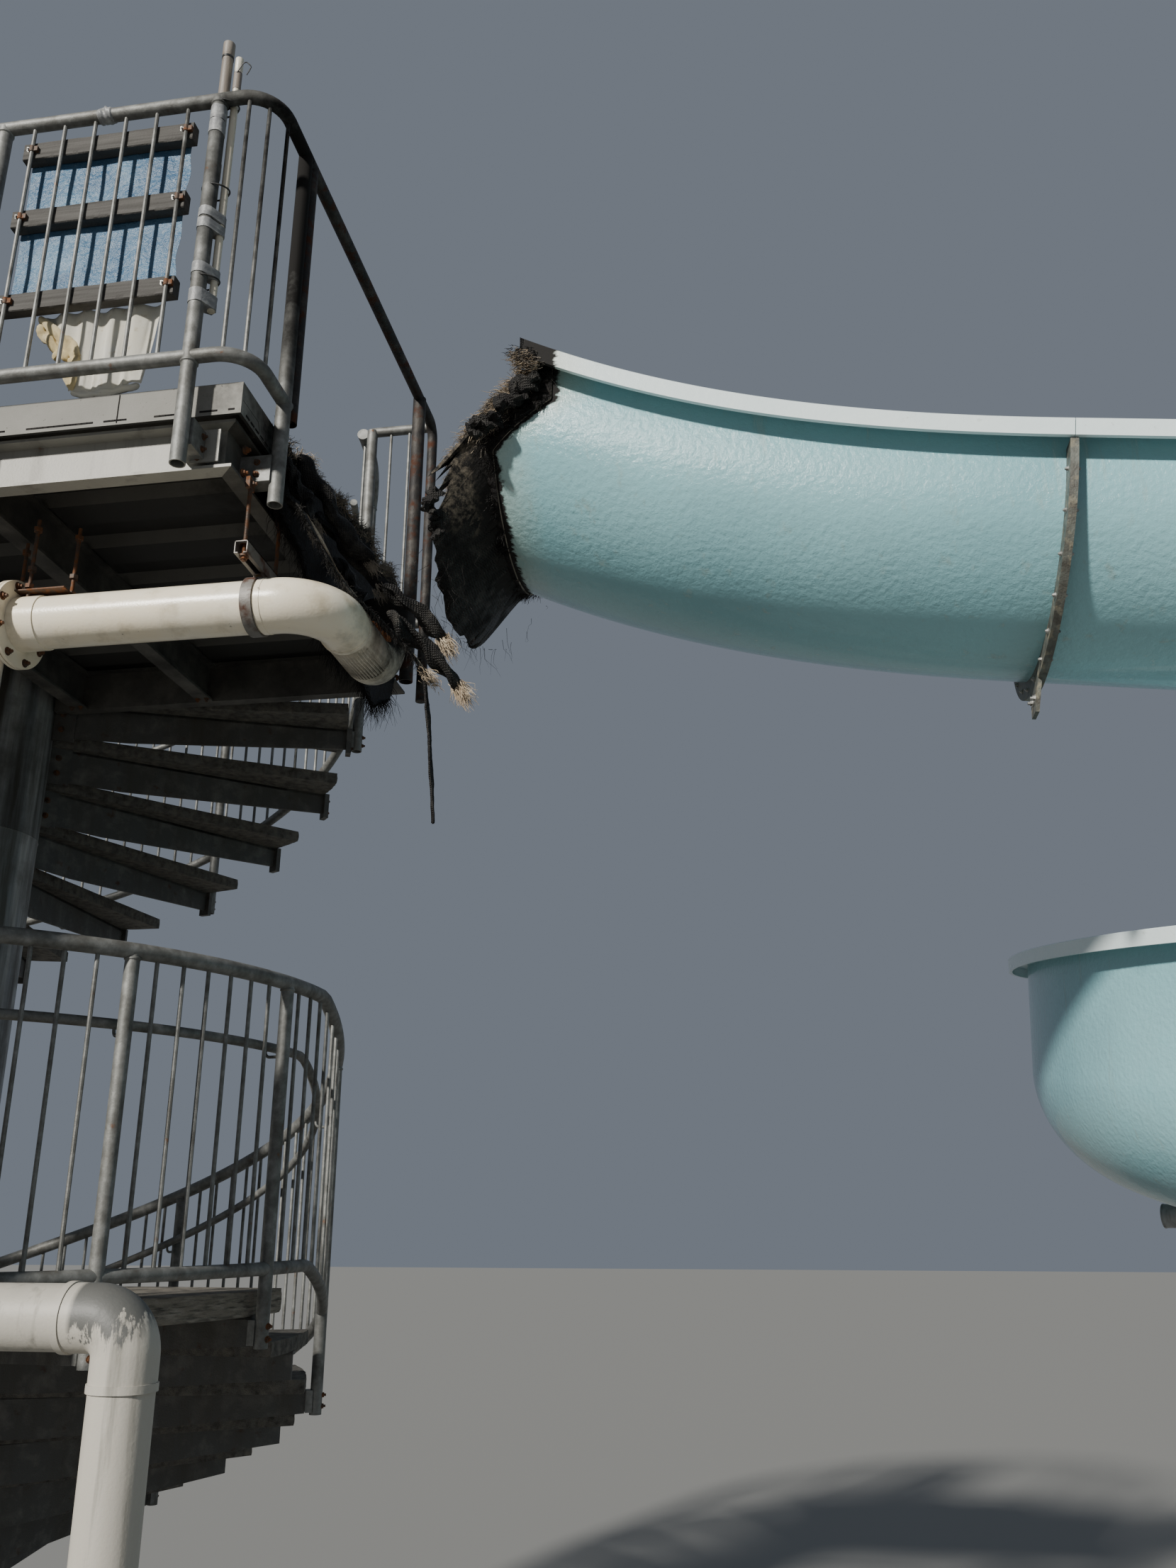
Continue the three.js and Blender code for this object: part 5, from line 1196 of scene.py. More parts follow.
class BuildStair(Step):
    """Builds the treads, the landing and the lower flight"""

    bl_idname = "slide_tower.stair"
    bl_label = "Stair"

    def execute(self, context):
        inner = COLUMN_RADIUS + 0.0003
        for index in range(1, 15):
            start, top = tread_place(UPPER_START, DECK_TOP, index)
            under, angle = top - 0.050, start + BEAM_TURN
            shape = Shape()
            slab(shape, start, start + TREAD_SWEEP, inner, under, top, index, 4, 1)
            tread_beam(shape, angle, under + 0.001, inner)
            boxes(shape, [inner, -0.014, under - 0.165],
                  [inner + 0.0897, 0.006, under + 0.001], angle)
            boxes(shape, [TIP_BOX[0], -0.028, under - 0.120],
                  [TIP_BOX[1], 0.028, under + 0.001], angle)
            outward, across = polar(angle, 1, 0), polar(angle + 90, 1, 0)
            for way in (-1, 1):
                spots = np.stack([outward * TIP_BOX[1] + across * 0.014 * way] * 2)
                spots[:, 2] = [under - 0.032, under - 0.092]
                bolts(shape, spots, outward, 0.0065, 2, stub=0.4)
            beam_bolts(shape, angle, under, inner, 2)
            shape.piece(f"tread_{index:02d}_plates", ["stair_paint", "slab_edge", "rusty_bolt"],
                        [f"tread_{index:02d}"], "stair_steel")
        shape = Shape()
        under = LANDING_TOP - 0.080
        slab(shape, LANDING_START, LOWER_START, inner, under, LANDING_TOP, 31, 8, 1, rough=0.005)
        for angle in LANDING_BEAMS:
            tread_beam(shape, angle, under + 0.001, inner)
            beam_bolts(shape, angle, under, inner, 2)
        shape.piece("landing_plates", ["stair_paint", "landing_edge", "rusty_bolt"],
                    ["landing"], "stair_steel")
        shape = Shape()
        sleeve = COLUMN_RADIUS + 0.014
        hollow = COLUMN_RADIUS + 0.0015
        turned(shape, [0, 0, 0], [(hollow, 2.020), (sleeve, 2.027), (sleeve, COLUMN_FOOT + 0.004),
                                  (hollow, COLUMN_FOOT)], 64)
        for index in range(1, 13):
            start, top = tread_place(LOWER_START, LANDING_TOP, index)
            under, angle = top - 0.050, start + BEAM_TURN
            slab(shape, start, start + TREAD_SWEEP, sleeve - 0.004, under, top, 60 + index, 4, 1)
            if under > 0.150:
                tread_beam(shape, angle, under + 0.001, sleeve - 0.004)
                beam_bolts(shape, angle, under, sleeve, 2)
            else:
                boxes(shape, [0.645, -0.006, 0.0],
                      [STAIR_RADIUS - 0.001, 0.006, under + 0.001], angle)
        shape.piece("lower_flight_plates", ["stair_paint", "slab_edge", "rusty_bolt"],
                    ["lower_flight"], "stair_steel")
        return {"FINISHED"}


def rail_height(angles):
    """Height of the stair's top rail: level to the stair's head, falling with the treads, level
    round the landing, falling again."""
    angles = np.asarray(angles, float)
    sweep_down = (TOP_RAIL - LANDING_RAIL) / RAIL_FALL
    first = TOP_RAIL - np.clip(angles - UPPER_START, 0, sweep_down) * RAIL_FALL
    return first - np.clip(angles - RAIL_LEVEL_END, 0, None) * RAIL_FALL


def stair_guard(name, node, start, end, post_angles, foot_tops, seat):
    """One length of the stair's guard: two rails, the inner handrail, rods, posts and brackets."""
    size = values().guards
    shape = Shape()
    trim = math.degrees(JOINT_TRIM / GUARD_RADIUS)
    angles = np.linspace(start + trim, end - trim, int((end - start) / 2) + 2)
    tube(shape, polar(angles, GUARD_RADIUS, rail_height(angles)), size.stair_rail_radius, 20)
    lower = rail_height(angles) - RAIL_SPACING
    swell = 0.0016 * np.exp(-((angles[:, None] - np.array(post_angles)) / 1.4) ** 2).sum(1)
    tube(shape, polar(angles, GUARD_RADIUS, lower), size.rail_radius + swell, 18)
    inner = GUARD_RADIUS - 0.072
    first = max(start + trim, 12)
    angles = np.linspace(first, end - trim, int((end - first) / 2) + 2)
    handrail = polar(angles, inner, rail_height(angles) - HANDRAIL_DROP)
    tube(shape, handrail, size.handrail_radius, 16)
    count = round((end - start) / 3.7)
    spots = start + (np.arange(count) + 0.5) * (end - start) / count
    far = np.abs(spots[:, None] - np.array(post_angles)).min(1) >= 3.7 * 0.45
    spots = spots[far]
    feet = polar(spots, GUARD_RADIUS, rail_height(spots) - RAIL_SPACING)
    tops = polar(spots, GUARD_RADIUS, rail_height(spots))
    rods(shape, feet, tops, size.stair_picket_radius, 8)
    for angle, foot_top in zip(post_angles, foot_tops):
        top = float(rail_height(angle))
        spot = polar(angle, GUARD_RADIUS, 0.0)
        hollow_post(shape, spot, top, foot_top - 0.150, size.post_radius)
        weld_collar(shape, spot + [0, 0, top - 0.026], size.post_radius)
        hand = top - HANDRAIL_DROP
        arm = rounded([polar(angle, GUARD_RADIUS, hand - 0.039), polar(angle, inner, hand - 0.039),
                       polar(angle, inner, hand)], 0.018, 6)
        across = polar(angle + 90, 1, 0)
        tube(shape, arm, 0.0055, 10, level=across)
        boxes(shape, [seat + 0.0003, -0.024, foot_top - 0.140],
              [GUARD_RADIUS - 0.015, 0.024, foot_top - 0.060], angle)
        outward = polar(angle, 1, 0)
        spots = np.stack([outward * (GUARD_RADIUS + 0.022)] * 2)
        spots[:, 2] = [foot_top - 0.080, foot_top - 0.120]
        bolts(shape, spots, outward, 0.009, 1)
    shape.piece(name, ["guard_steel", "rusty_bolt"], [node], "galvanised")


class BuildStairGuards(Step):
    """Builds the guards of the stair and the landing"""

    bl_idname = "slide_tower.stair_guards"
    bl_label = "Stair guards"

    def execute(self, context):
        def above(first, top, *numbers):
            """Angles of the posts beside some treads, and the tops of these treads."""
            spots = [tread_place(first, top, number) for number in numbers]
            return [(start + BEAM_TURN, height) for start, height in spots]

        upper, lower = (UPPER_START, DECK_TOP), (LOWER_START, LANDING_TOP)
        level = [(angle, LANDING_TOP - 0.030) for angle in LANDING_BEAMS]
        lengths = [
            ("stair_guard_upper_1", 4, 132, above(*upper, 1, 4, 7), TIP_BOX[1]),
            ("stair_guard_upper_2", 132, 206, above(*upper, 8, 11), TIP_BOX[1]),
            ("stair_guard_upper_3", 206, LANDING_START, above(*upper, 13), TIP_BOX[1]),
            ("landing_guard", LANDING_START, 356, level, STAIR_RADIUS),
            ("stair_guard_lower_1", 356, 446, above(*lower, 2, 5), STAIR_RADIUS),
            ("stair_guard_lower_2", 446, 536, above(*lower, 8, 10), STAIR_RADIUS),
            ("stair_guard_lower_3", 536, 570, above(*lower, 12), STAIR_RADIUS),
        ]
        for node, start, end, posts, seat in lengths:
            angles, tops = zip(*posts)
            stair_guard(node + "_tubes", node, start, end, angles, tops, seat)
        return {"FINISHED"}


# Flume


def keel(s):
    """Height and fall of the trough's lowest line at a distance along the path from the first
    joint: a cubic curve before it, then a fall that changes slowly round the bends."""
    s = np.asarray(s, float)
    back = np.maximum(-s, 0)
    turn = np.maximum(s - FLUME_STRAIGHT, 0) / HELIX_RADIUS
    u = np.minimum(turn / KEEL_SWEEP, 1)
    a, b, c = KEEL_FALL
    square, cube = KEEL_CURVE
    slope = a + b * u + c * u * u
    drop = HELIX_RADIUS * KEEL_SWEEP * (a * u + b * u * u / 2 + c * u ** 3 / 3)
    drop = drop + HELIX_RADIUS * np.maximum(turn - KEEL_SWEEP, 0) * slope
    height = KEEL_JOINT - a * np.minimum(s, FLUME_STRAIGHT) - drop
    height = height + square * back ** 2 + cube * back ** 3
    fall = np.where(s < 0, a + 2 * square * back + 3 * cube * back ** 2, slope)
    return height, fall


def flume_frame(s):
    """Centre, outer side, upward and forward directions of the trough."""
    s = np.asarray(s, float)
    height, fall = keel(s)
    turn = np.maximum(s - FLUME_STRAIGHT, 0) / HELIX_RADIUS
    straight = FLUME_JOINT_X + np.minimum(s, FLUME_STRAIGHT)
    x = straight + HELIX_RADIUS * np.sin(turn)
    y = HELIX[1] - HELIX_RADIUS * np.cos(turn)
    zero = np.zeros_like(turn)
    forward = np.stack([np.cos(turn), np.sin(turn), zero], -1)
    side = np.stack([np.sin(turn), -np.cos(turn), zero], -1)
    upward = unit(fall[..., None] * forward + np.array([0, 0, 1.0]))
    return np.stack([x, y, height], -1), side, upward, forward


def outer_share(s):
    """How far the outer wall has grown, along the second bay."""
    return smooth_step(s, 0.25 * FLUME_STRAIGHT, FLUME_STRAIGHT)


def wall_tops(s):
    """Heights of the inner and the outer wall's top over the keel."""
    s = np.asarray(s, float)
    return np.full_like(s, WALL_TOP), WALL_TOP + outer_share(s) * OUTER_RISE


def wall_line(distance, inner_top, outer_top, s, count):
    """Points round the trough at a distance outside its inner face, from wall to wall. Past a
    line that slants with height the burnt end hangs 280 mm lower."""
    r = FLUME_RADIUS + distance
    inner_top, outer_top = (np.asarray(v, float)[:, None] for v in (inner_top, outer_top))
    start = math.pi + np.arcsin(np.maximum(FLUME_RADIUS - inner_top, 0) / r)
    end = 2 * math.pi - np.arcsin(np.maximum(FLUME_RADIUS - outer_top, 0) / r)
    angle = start + (end - start) * np.linspace(0, 1, count)
    u, v = r * np.cos(angle), FLUME_RADIUS + r * np.sin(angle)
    past = -1.715 - 0.446 * v - np.asarray(s, float)[:, None]
    v = v - BURNT_DROOP * smooth_step(past, 0, DROOP_LENGTH)
    first = np.concatenate([-r + 0 * inner_top, np.maximum(inner_top, v[:, :1] + 0.001)], 1)
    last = np.concatenate([r + 0 * outer_top, np.maximum(outer_top, v[:, -1:] + 0.001)], 1)
    u = np.concatenate([first[:, :1], u, last[:, :1]], 1)
    v = np.concatenate([first[:, 1:], v, last[:, 1:]], 1)
    return np.stack([u, v], -1)


def leaned(line, s):
    """The walls lean in towards the rim: each point's distance from the middle less 34 mm by a
    smooth step over the wall's top 320 mm."""
    inner, outer = wall_tops(s)
    top = np.where(line[..., 0] < 0, inner[..., None], outer[..., None])
    pull = 0.034 * smooth_step(line[..., 1] - top, -0.32, 0)
    return np.stack([line[..., 0] - np.sign(line[..., 0]) * pull, line[..., 1]], -1)


def shell_profile(s, count=48):
    """The shell's closed section: inner rim, outside, outer rim, inside; with the finish of each
    stretch, 0 for the shell and 1 for the rim."""
    size = values().flume
    s = np.asarray(s, float)
    wall, face = size.wall, size.rim_face
    inner, outer = wall_tops(s)
    lip = FLUME_RADIUS + LIP_REACH
    outer_lip = lip + outer_share(s) * 0.013
    outside = leaned(wall_line(wall, inner - wall, outer - wall, s, count), s)
    inside = leaned(wall_line(0, inner, outer, s, count)[:, ::-1], s)

    def column(u, v):
        return np.stack(np.broadcast_arrays(u, v), -1)[:, None]

    soft = 0.004
    parts = [
        column(-lip + soft, inner), column(-lip, inner - soft), column(-lip, inner - face),
        column(wall - lip, inner - face), column(wall - lip, inner - wall), outside,
        column(outer_lip - wall, outer - wall), column(outer_lip - wall, outer - face),
        column(outer_lip, outer - face), column(outer_lip, outer - soft),
        column(outer_lip - soft, outer), inside,
    ]
    finishes = np.zeros(sum(part.shape[1] for part in parts), int)
    finishes[:5] = 1
    outside_end = 5 + outside.shape[1]
    finishes[outside_end - 1:outside_end + 5] = 1
    finishes[-1] = 1
    return np.concatenate(parts, 1), finishes


def flange(shape, start, end, finish=2):
    """The flange outside the shell at a bay's end, between two distances along the path."""
    s = np.array([start, end])
    drop = values().flume.rim_face + 0.004
    inner, outer = (top - drop for top in wall_tops(s))
    outside = wall_line(0.076, inner, outer, s, 46)
    inside = wall_line(0.009, inner, outer, s, 46)[:, ::-1]
    centres, side, upward, _ = flume_frame(s)
    profile = leaned(np.concatenate([outside, inside], 1), s)
    sweep(shape, centres, side, upward, profile, finish)


def flange_bolts(shape, s, way, finish=3):
    """Bolts through a flange at even steps round it."""
    centres, side, upward, _ = flume_frame(np.array([s]))
    outer = float(wall_tops(s)[1])
    line = leaned(wall_line(0.046, [0.46], [outer - 0.10], [0.0], 120), [s])[0]
    u, v = along_line(line, np.arange(0.06, walked(line)[-1] - 0.03, 0.125)).T
    spots = centres + u[:, None] * side + v[:, None] * upward
    axis = np.cross(side, upward)[0] * -way
    bolts(shape, spots, axis, 0.0068, finish, stub=0.5)


def keel_lug(shape, s):
    """The fin below a joint, with two bolts."""
    centres, side, upward, forward = flume_frame(np.array([s - 0.006]))
    outline = [(-0.034, -0.171), (0.034, -0.171), (0.070, -0.068), (-0.070, -0.068)]
    plates(shape, outline, centres, side, upward, 0.012, 2)
    spots = centres + side * np.array([[-0.022], [0.022]]) - upward * 0.120
    bolts(shape, spots - forward * 0.006, -forward, 0.009, 3)


def burnt_x(height, seed):
    """The ragged end of the burnt trough: its X at a height, with a small random wander."""
    line = [(4.000, 2.300), (4.500, 2.300), (4.600, 2.318), (4.720, 2.338), (4.880, 2.398),
            (4.990, 2.527), (5.070, 2.620), (5.130, 2.640), (5.500, 2.640)]
    heights, xs = zip(*line)
    return np.interp(height, heights, xs) + wander(height, 0.021, 0.016, seed)


def burnt_strip(u, v, part, rounds, inset=0.0):
    """For points u, v of the section, the place along the path that lies a given part of the way
    in X from the ragged edge to the sound paint: s moves by 0.6 of what is missing each round."""
    s = np.full(len(u), -1.75)
    for _ in range(rounds):
        centres, side, upward, _ = flume_frame(s)
        spot = centres + u[:, None] * side + v[:, None] * upward
        edge = burnt_x(spot[:, 2], 5) + np.where(u < 0, 0.03, 0)
        paint = np.interp(spot[:, 2], PAINT_HEIGHTS, PAINT_EDGE) - inset
        s = s + 0.6 * (edge + part * (paint - edge) - spot[:, 0])
    outward = unit(u[:, None] * side + (v - FLUME_RADIUS)[:, None] * upward)
    return s, spot, outward


class BuildFlume(Step):
    """Builds the flume's bays, flanges and fins"""

    bl_idname = "slide_tower.flume"
    bl_label = "Flume"

    def execute(self, context):
        finishes = ["flume_shell", "flume_rim", "flange_laminate", "bright_bolt"]
        bays = [(JOINT_TRIM, FLUME_STRAIGHT - JOINT_TRIM, 44)]
        for i in range(4):
            start = FLUME_STRAIGHT + i * BEND
            bays.append((start + JOINT_TRIM, start + BEND - JOINT_TRIM, 52))
        for number, (start, end, rows) in enumerate(bays, 2):
            shape = Shape()
            s = np.linspace(start + 0.001, end - 0.001, rows)
            profile, marks = shell_profile(s)
            centres, side, upward, _ = flume_frame(s)
            sweep(shape, centres, side, upward, profile, marks)
            flange(shape, start, start + FLANGE_THICKNESS)
            flange(shape, end - FLANGE_THICKNESS, end)
            flange_bolts(shape, start + FLANGE_THICKNESS, 1)
            flange_bolts(shape, end - FLANGE_THICKNESS, -1)
            keel_lug(shape, end)
            shape.piece(f"flume_bay_{number}_shell", finishes, [f"flume_bay_{number}"], "flume")
        self.burnt_bay(finishes)
        return {"FINISHED"}

    def burnt_bay(self, finishes):
        """The first bay. Each point of the section starts at its own place along the path, where
        the ragged line cuts it, and runs evenly to the joint."""
        shape = Shape()
        end = -0.00115
        columns = shell_profile(np.array([-1.8]), BURNT_ARC)[0].shape[1]
        first = np.full(columns, -1.8)
        for _ in range(6):
            own = shell_profile(first, BURNT_ARC)[0][np.arange(columns), np.arange(columns)]
            centres, side, upward, _ = flume_frame(first)
            spot = centres + own[:, :1] * side + own[:, 1:] * upward
            edge = burnt_x(spot[:, 2], 5) + np.where(own[:, 0] < 0, 0.03, 0)
            first = first + (edge - spot[:, 0]) * 0.8
        rows = 46
        share = np.linspace(0, 1, rows)[:, None] ** 1.25
        s = first[None] + (end - first[None]) * share
        flat = s.ravel()
        profile, marks = shell_profile(flat, BURNT_ARC)
        index = np.tile(np.arange(columns), rows)
        own = profile[np.arange(len(flat)), index]
        centres, side, upward, _ = flume_frame(flat)
        points = centres + own[:, :1] * side + own[:, 1:] * upward
        walls = net(rows, columns)
        middle = points[walls].mean(1)
        woven = (middle[:, 0] < 2.470) & (middle[:, 2] < 4.64)
        shape.add(points, [walls], np.where(woven, 4, np.tile(marks, rows - 1)))
        wall, last = (columns - 10) // 2, columns - 1
        k = np.arange(wall - 1)
        skin = np.stack([5 + k, 6 + k, last - k - 1, last - k], -1)
        rims = [np.r_[0:6, last][None], np.r_[4 + wall:11 + wall][None]]
        joint = np.arange(columns)[None, ::-1] + (rows - 1) * columns
        for cap, finish in ((skin, 4), (rims[0], 4), (rims[1], 4), (joint, 0)):
            shape.faces.append(cap + shape.count - rows * columns)
            shape.finishes.append(np.full(len(cap), finish))
        flange(shape, -JOINT_TRIM - FLANGE_THICKNESS, -JOINT_TRIM)
        flange_bolts(shape, -JOINT_TRIM - FLANGE_THICKNESS, -1)
        keel_lug(shape, -JOINT_TRIM)
        shape.piece("flume_bay_1_shell", finishes + ["charred_weave"], ["flume_bay_1"], "flume")


class BuildMast(Step):
    """Builds the flume's mast, arms and saddles"""

    bl_idname = "slide_tower.mast"
    bl_label = "Flume mast"

    def execute(self, context):
        shape = Shape()
        centre = np.array([HELIX[0], HELIX[1], 0.0])
        r = 0.162
        turned(shape, centre, [(r - 0.01, 4.250), (r, 4.243), (r, 2.207), (r + 0.0025, 2.2),
                               (r, 2.193), (r, 0.05), (r + 0.008, COLUMN_FOOT)], 56)
        for i in range(5):
            face = FLUME_STRAIGHT + i * BEND - JOINT_TRIM - 0.0123
            centres, side, upward, forward = flume_frame(np.array([face - 0.012, face]))
            drop = 0.171 + 0.057 + 0.008
            end = centres[0] - upward[0] * drop
            start = centre + [0, 0, end[2]]
            reach = end + side[0] * 0.120
            rods(shape, start, reach, 0.057, 28)
            away = unit(reach - start)
            rods(shape, start + away * (r - 0.004), start + away * (r + 0.012), 0.095, 28)
            rods(shape, reach - away * 0.006, reach, 0.059, 28)
            outline = [(-0.060, -drop), (0.060, -drop), (0.060, -0.091), (-0.060, -0.091)]
            plates(shape, outline, centres.mean(0), side[0], upward[0], 0.012)
            spots = centres[0] + side[0] * np.array([[-0.022], [0.022]]) - upward[0] * 0.120
            bolts(shape, spots, -forward[0], 0.010, 1)
            ring = np.arange(8) * TAU / 8
            level = np.cross([0, 0, 1.0], away)
            circle = np.cos(ring)[:, None] * [0, 0, 1.0] + np.sin(ring)[:, None] * level
            bolts(shape, start + away * (r + 0.012) + circle * 0.078, away, 0.008, 1)
        anchored_foot(shape, centre, r, 0.2, 0.26, 0.42)
        shape.piece("flume_mast_tubes", ["mast_paint", "rusty_bolt"], ["flume_mast"], "steel")
        return {"FINISHED"}


# Pipes


class BuildPipes(Step):
    """Builds the water pipes, their sockets, the valve flange and the hanger"""

    bl_idname = "slide_tower.pipes"
    bl_label = "Pipes"

    def execute(self, context):
        self.jet_pipe()
        self.riser_rust()
        self.valve_flange()
        self.feed_pipe()
        self.hanger()
        self.valve_rods()
        return {"FINISHED"}

    def jet_pipe(self):
        """The white pipe with its elbow, its collars and its cut riser."""
        shape = Shape()
        r, sleeve = PIPE_RADIUS, PIPE_RADIUS + 0.0005
        (left, right), y, z = JET_PIPE_X, PIPE_Y, JET_PIPE_Z
        riser = [right, JET_RISER_Y, JET_RISER_TOP]
        path = rounded([(left, y, z), (right, y, z), (right, JET_RISER_Y, z), riser], 0.150, 14)
        tube(shape, path[path[:, 2] < z + 0.001], r - 0.002, 48)
        tube(shape, path[-17:], r - 0.002, 48, level=(1, 0, 0))
        elbow = rounded([(1.870, y, z), (right, y, z), (right, -1.225, z)], 0.150, 20)
        tube(shape, elbow, sleeve, 48)
        for start, end in (([1.862, y, z], [1.880, y, z]),
                           ([right, -1.233, z], [right, -1.215, z]),
                           ([left, y, z], [1.150, y, z])):
            rods(shape, start, end, sleeve + 0.0015, 48)
        turned(shape, [right, JET_RISER_Y, 0],
               [(r, 4.43), (r, JET_RISER_TOP), (r - 0.008, JET_RISER_TOP - 0.001),
                (r - 0.008, 4.4)], 40)
        shape.piece("jet_pipe_plastic", ["white_pipe"], ["jet_pipe"], "plastic")

    def riser_rust(self):
        """Flakes of rust on the white pipe, beside its riser."""
        crust = Shape()
        random = np.random.default_rng(12)
        count = 26
        spots = np.stack([random.uniform(1.95, 2.09, count), random.uniform(-1.03, -0.93, count),
                          np.full(count, 4.325)], -1)
        size = random.uniform(0.012, 0.034, count)[:, None]
        rods(crust, spots - [0, 0, 0.03], spots + [0, 0, 1.0] * size * 1.4, size[:, 0], 7)
        crust.piece("riser_rust", ["orange_rust"], (), "plastic")

    def valve_flange(self):
        """The two rings at the white pipe's left end, with their seal and bolts."""
        valve = Shape()
        for x in (1.0403, 1.0537):
            rods(valve, [x, PIPE_Y, JET_PIPE_Z], [x + 0.0100, PIPE_Y, JET_PIPE_Z], 0.1395, 64)
        rods(valve, [1.0500, PIPE_Y, JET_PIPE_Z], [1.0545, PIPE_Y, JET_PIPE_Z], 0.112, 48, 1)
        turn = (np.arange(8) + 0.5) * TAU / 8
        ring = places(0, np.cos(turn) * 0.120, np.sin(turn) * 0.120)
        bolts(valve, ring + [1.0637, PIPE_Y, JET_PIPE_Z], [1, 0, 0], 0.010, 2)
        bolts(valve, ring + [1.0403, PIPE_Y, JET_PIPE_Z], [-1, 0, 0], 0.010, 2)
        valve.piece("valve_flange_rings", ["white_pipe", "black_band", "rusty_bolt"],
                    ["valve_flange"], "plastic")

    def feed_pipe(self):
        """The grey pipe from the ground up to the valve, with its two elbows and collars."""
        feed = Shape()
        r = PIPE_RADIUS
        (low_x, high_x), y, bend = FEED_PIPE_X, PIPE_Y, FEED_BEND_Z
        path = rounded([(low_x, y, 0), (low_x, y, bend), (high_x, y, bend),
                        (high_x, y, JET_PIPE_Z), (1.040, y, JET_PIPE_Z)], 0.090, 14)
        tube(feed, path, r - 0.002, 48, level=(0, 1, 0))
        for x, z, way in ((low_x, bend, 1), (high_x, bend, -1)):
            turn = [(x, y, z - 0.165 * way), (x, y, z), (x - 0.165 * way, y, z)]
            tube(feed, rounded(turn, 0.090, 16), r + 0.0005, 48, level=(0, 1, 0))
            ends = [(x, y, z - 0.170 * way), (x - 0.170 * way, y, z)]
            backs = [(x, y, z - 0.150 * way), (x - 0.150 * way, y, z)]
            rods(feed, ends, backs, r + 0.004, 48)
        for x, foot, top, swell in ((low_x, 0.95, 1.10, 0.003), (high_x, 3.20, 3.34, 0.003),
                                    (low_x, 0.0, 0.012, 0.012)):
            rods(feed, (x, y, foot), (x, y, top), r + swell, 48)
        feed.piece("feed_pipe_lengths", ["feed_pipe_plastic"], ["feed_pipe"], "grey_pipe")

    def hanger(self):
        """The strap round the white pipe, the channel over it and its two threaded rods."""
        hanger = Shape()
        x = HANGER_X
        turn = np.linspace(0, TAU, 61)[:-1]
        inner, outer = PIPE_RADIUS + 0.0006, PIPE_RADIUS + 0.0070
        section = [(-0.018, outer), (0.018, outer), (0.018, inner), (-0.018, inner)]
        centres = places(x, PIPE_Y, np.full(60, JET_PIPE_Z))
        radial = np.stack([0 * turn, np.cos(turn), np.sin(turn)], -1)
        points = centres[:, None] + np.array(section)[None, :, :1] * [1.0, 0, 0] + (
            np.array(section)[None, :, 1:] * radial[:, None])
        i = np.arange(60)[:, None]
        j = np.arange(4)[None]
        after, k = (i + 1) % 60, (j + 1) % 4
        faces = np.stack([i * 4 + j, after * 4 + j, after * 4 + k, i * 4 + k], -1).reshape(-1, 4)
        hanger.add(points, [faces])
        low, top = HANGER_Z
        sills = [-1.5345, -1.2955]
        boxes(hanger, places(x - 0.0205, sills, low), places(x + 0.0205, sills, low + 0.001))
        for x0, x1, z0, z1 in ((-0.0205, -0.0175, low, top), (0.0175, 0.0205, low, top),
                               (-0.0205, 0.0205, top - 0.003, top),
                               (-0.0175, -0.0090, low, low + 0.003),
                               (0.0090, 0.0175, low, low + 0.003)):
            boxes(hanger, [x + x0, HANGER_Y[0], z0], [x + x1, HANGER_Y[1], z1])
        boxes(hanger, [x - 0.016, PIPE_Y - 0.010, JET_PIPE_Z + outer - 0.002],
              [x + 0.016, PIPE_Y + 0.010, 4.366])
        bolts(hanger, places(x, [PIPE_Y - 0.010, PIPE_Y + 0.010], 4.353),
              [[0, -1, 0], [0, 1, 0]], 0.007, 2)
        bolts(hanger, places(x, [PIPE_Y], top), [0, 0, 1], 0.010, 1)
        for y in (-1.530, -1.300):
            upright(hanger, [x, y, 0], 4.350, 4.622, 0.0055, 10, 1)
            heights = np.arange(4.352, 4.620, 0.0055)
            upright(hanger, places(x, y, heights * 0), heights, heights + 0.0024, 0.0066, 10, 1)
            bolts(hanger, [(x, y, top), (x, y, low)], [[0, 0, 1], [0, 0, -1]], 0.011, 1, stub=0)
            boxes(hanger, [1.8313, y - 0.018, 4.592], [x + 0.005, y + 0.018, 4.630], 0, 1)
            bolts(hanger, [x + 0.005, y, 4.612], [1, 0, 0], 0.009, 1)
        hanger.piece("pipe_hanger_parts", ["strap_steel", "rusty_bolt", "brass_fitting"],
                     ["pipe_hanger"], "steel")

    def valve_rods(self):
        """Three rods with their nuts over the valve, and the plate that they carry."""
        rodding = Shape()
        spots = places([0.98, 1.10, 1.20], [-1.32, -1.45, -1.38], 0)
        upright(rodding, spots, 4.30, 4.602, 0.006, 10)
        for height in (4.36, 4.42, 4.56):
            upright(rodding, spots, height, height + 0.014, 0.014, 6)
        boxes(rodding, [0.95, -1.47, 4.345], [1.23, -1.30, 4.349])
        rodding.piece("valve_hanger_rods", ["rusty_bolt"], (), "steel")


# Things tied to the guard


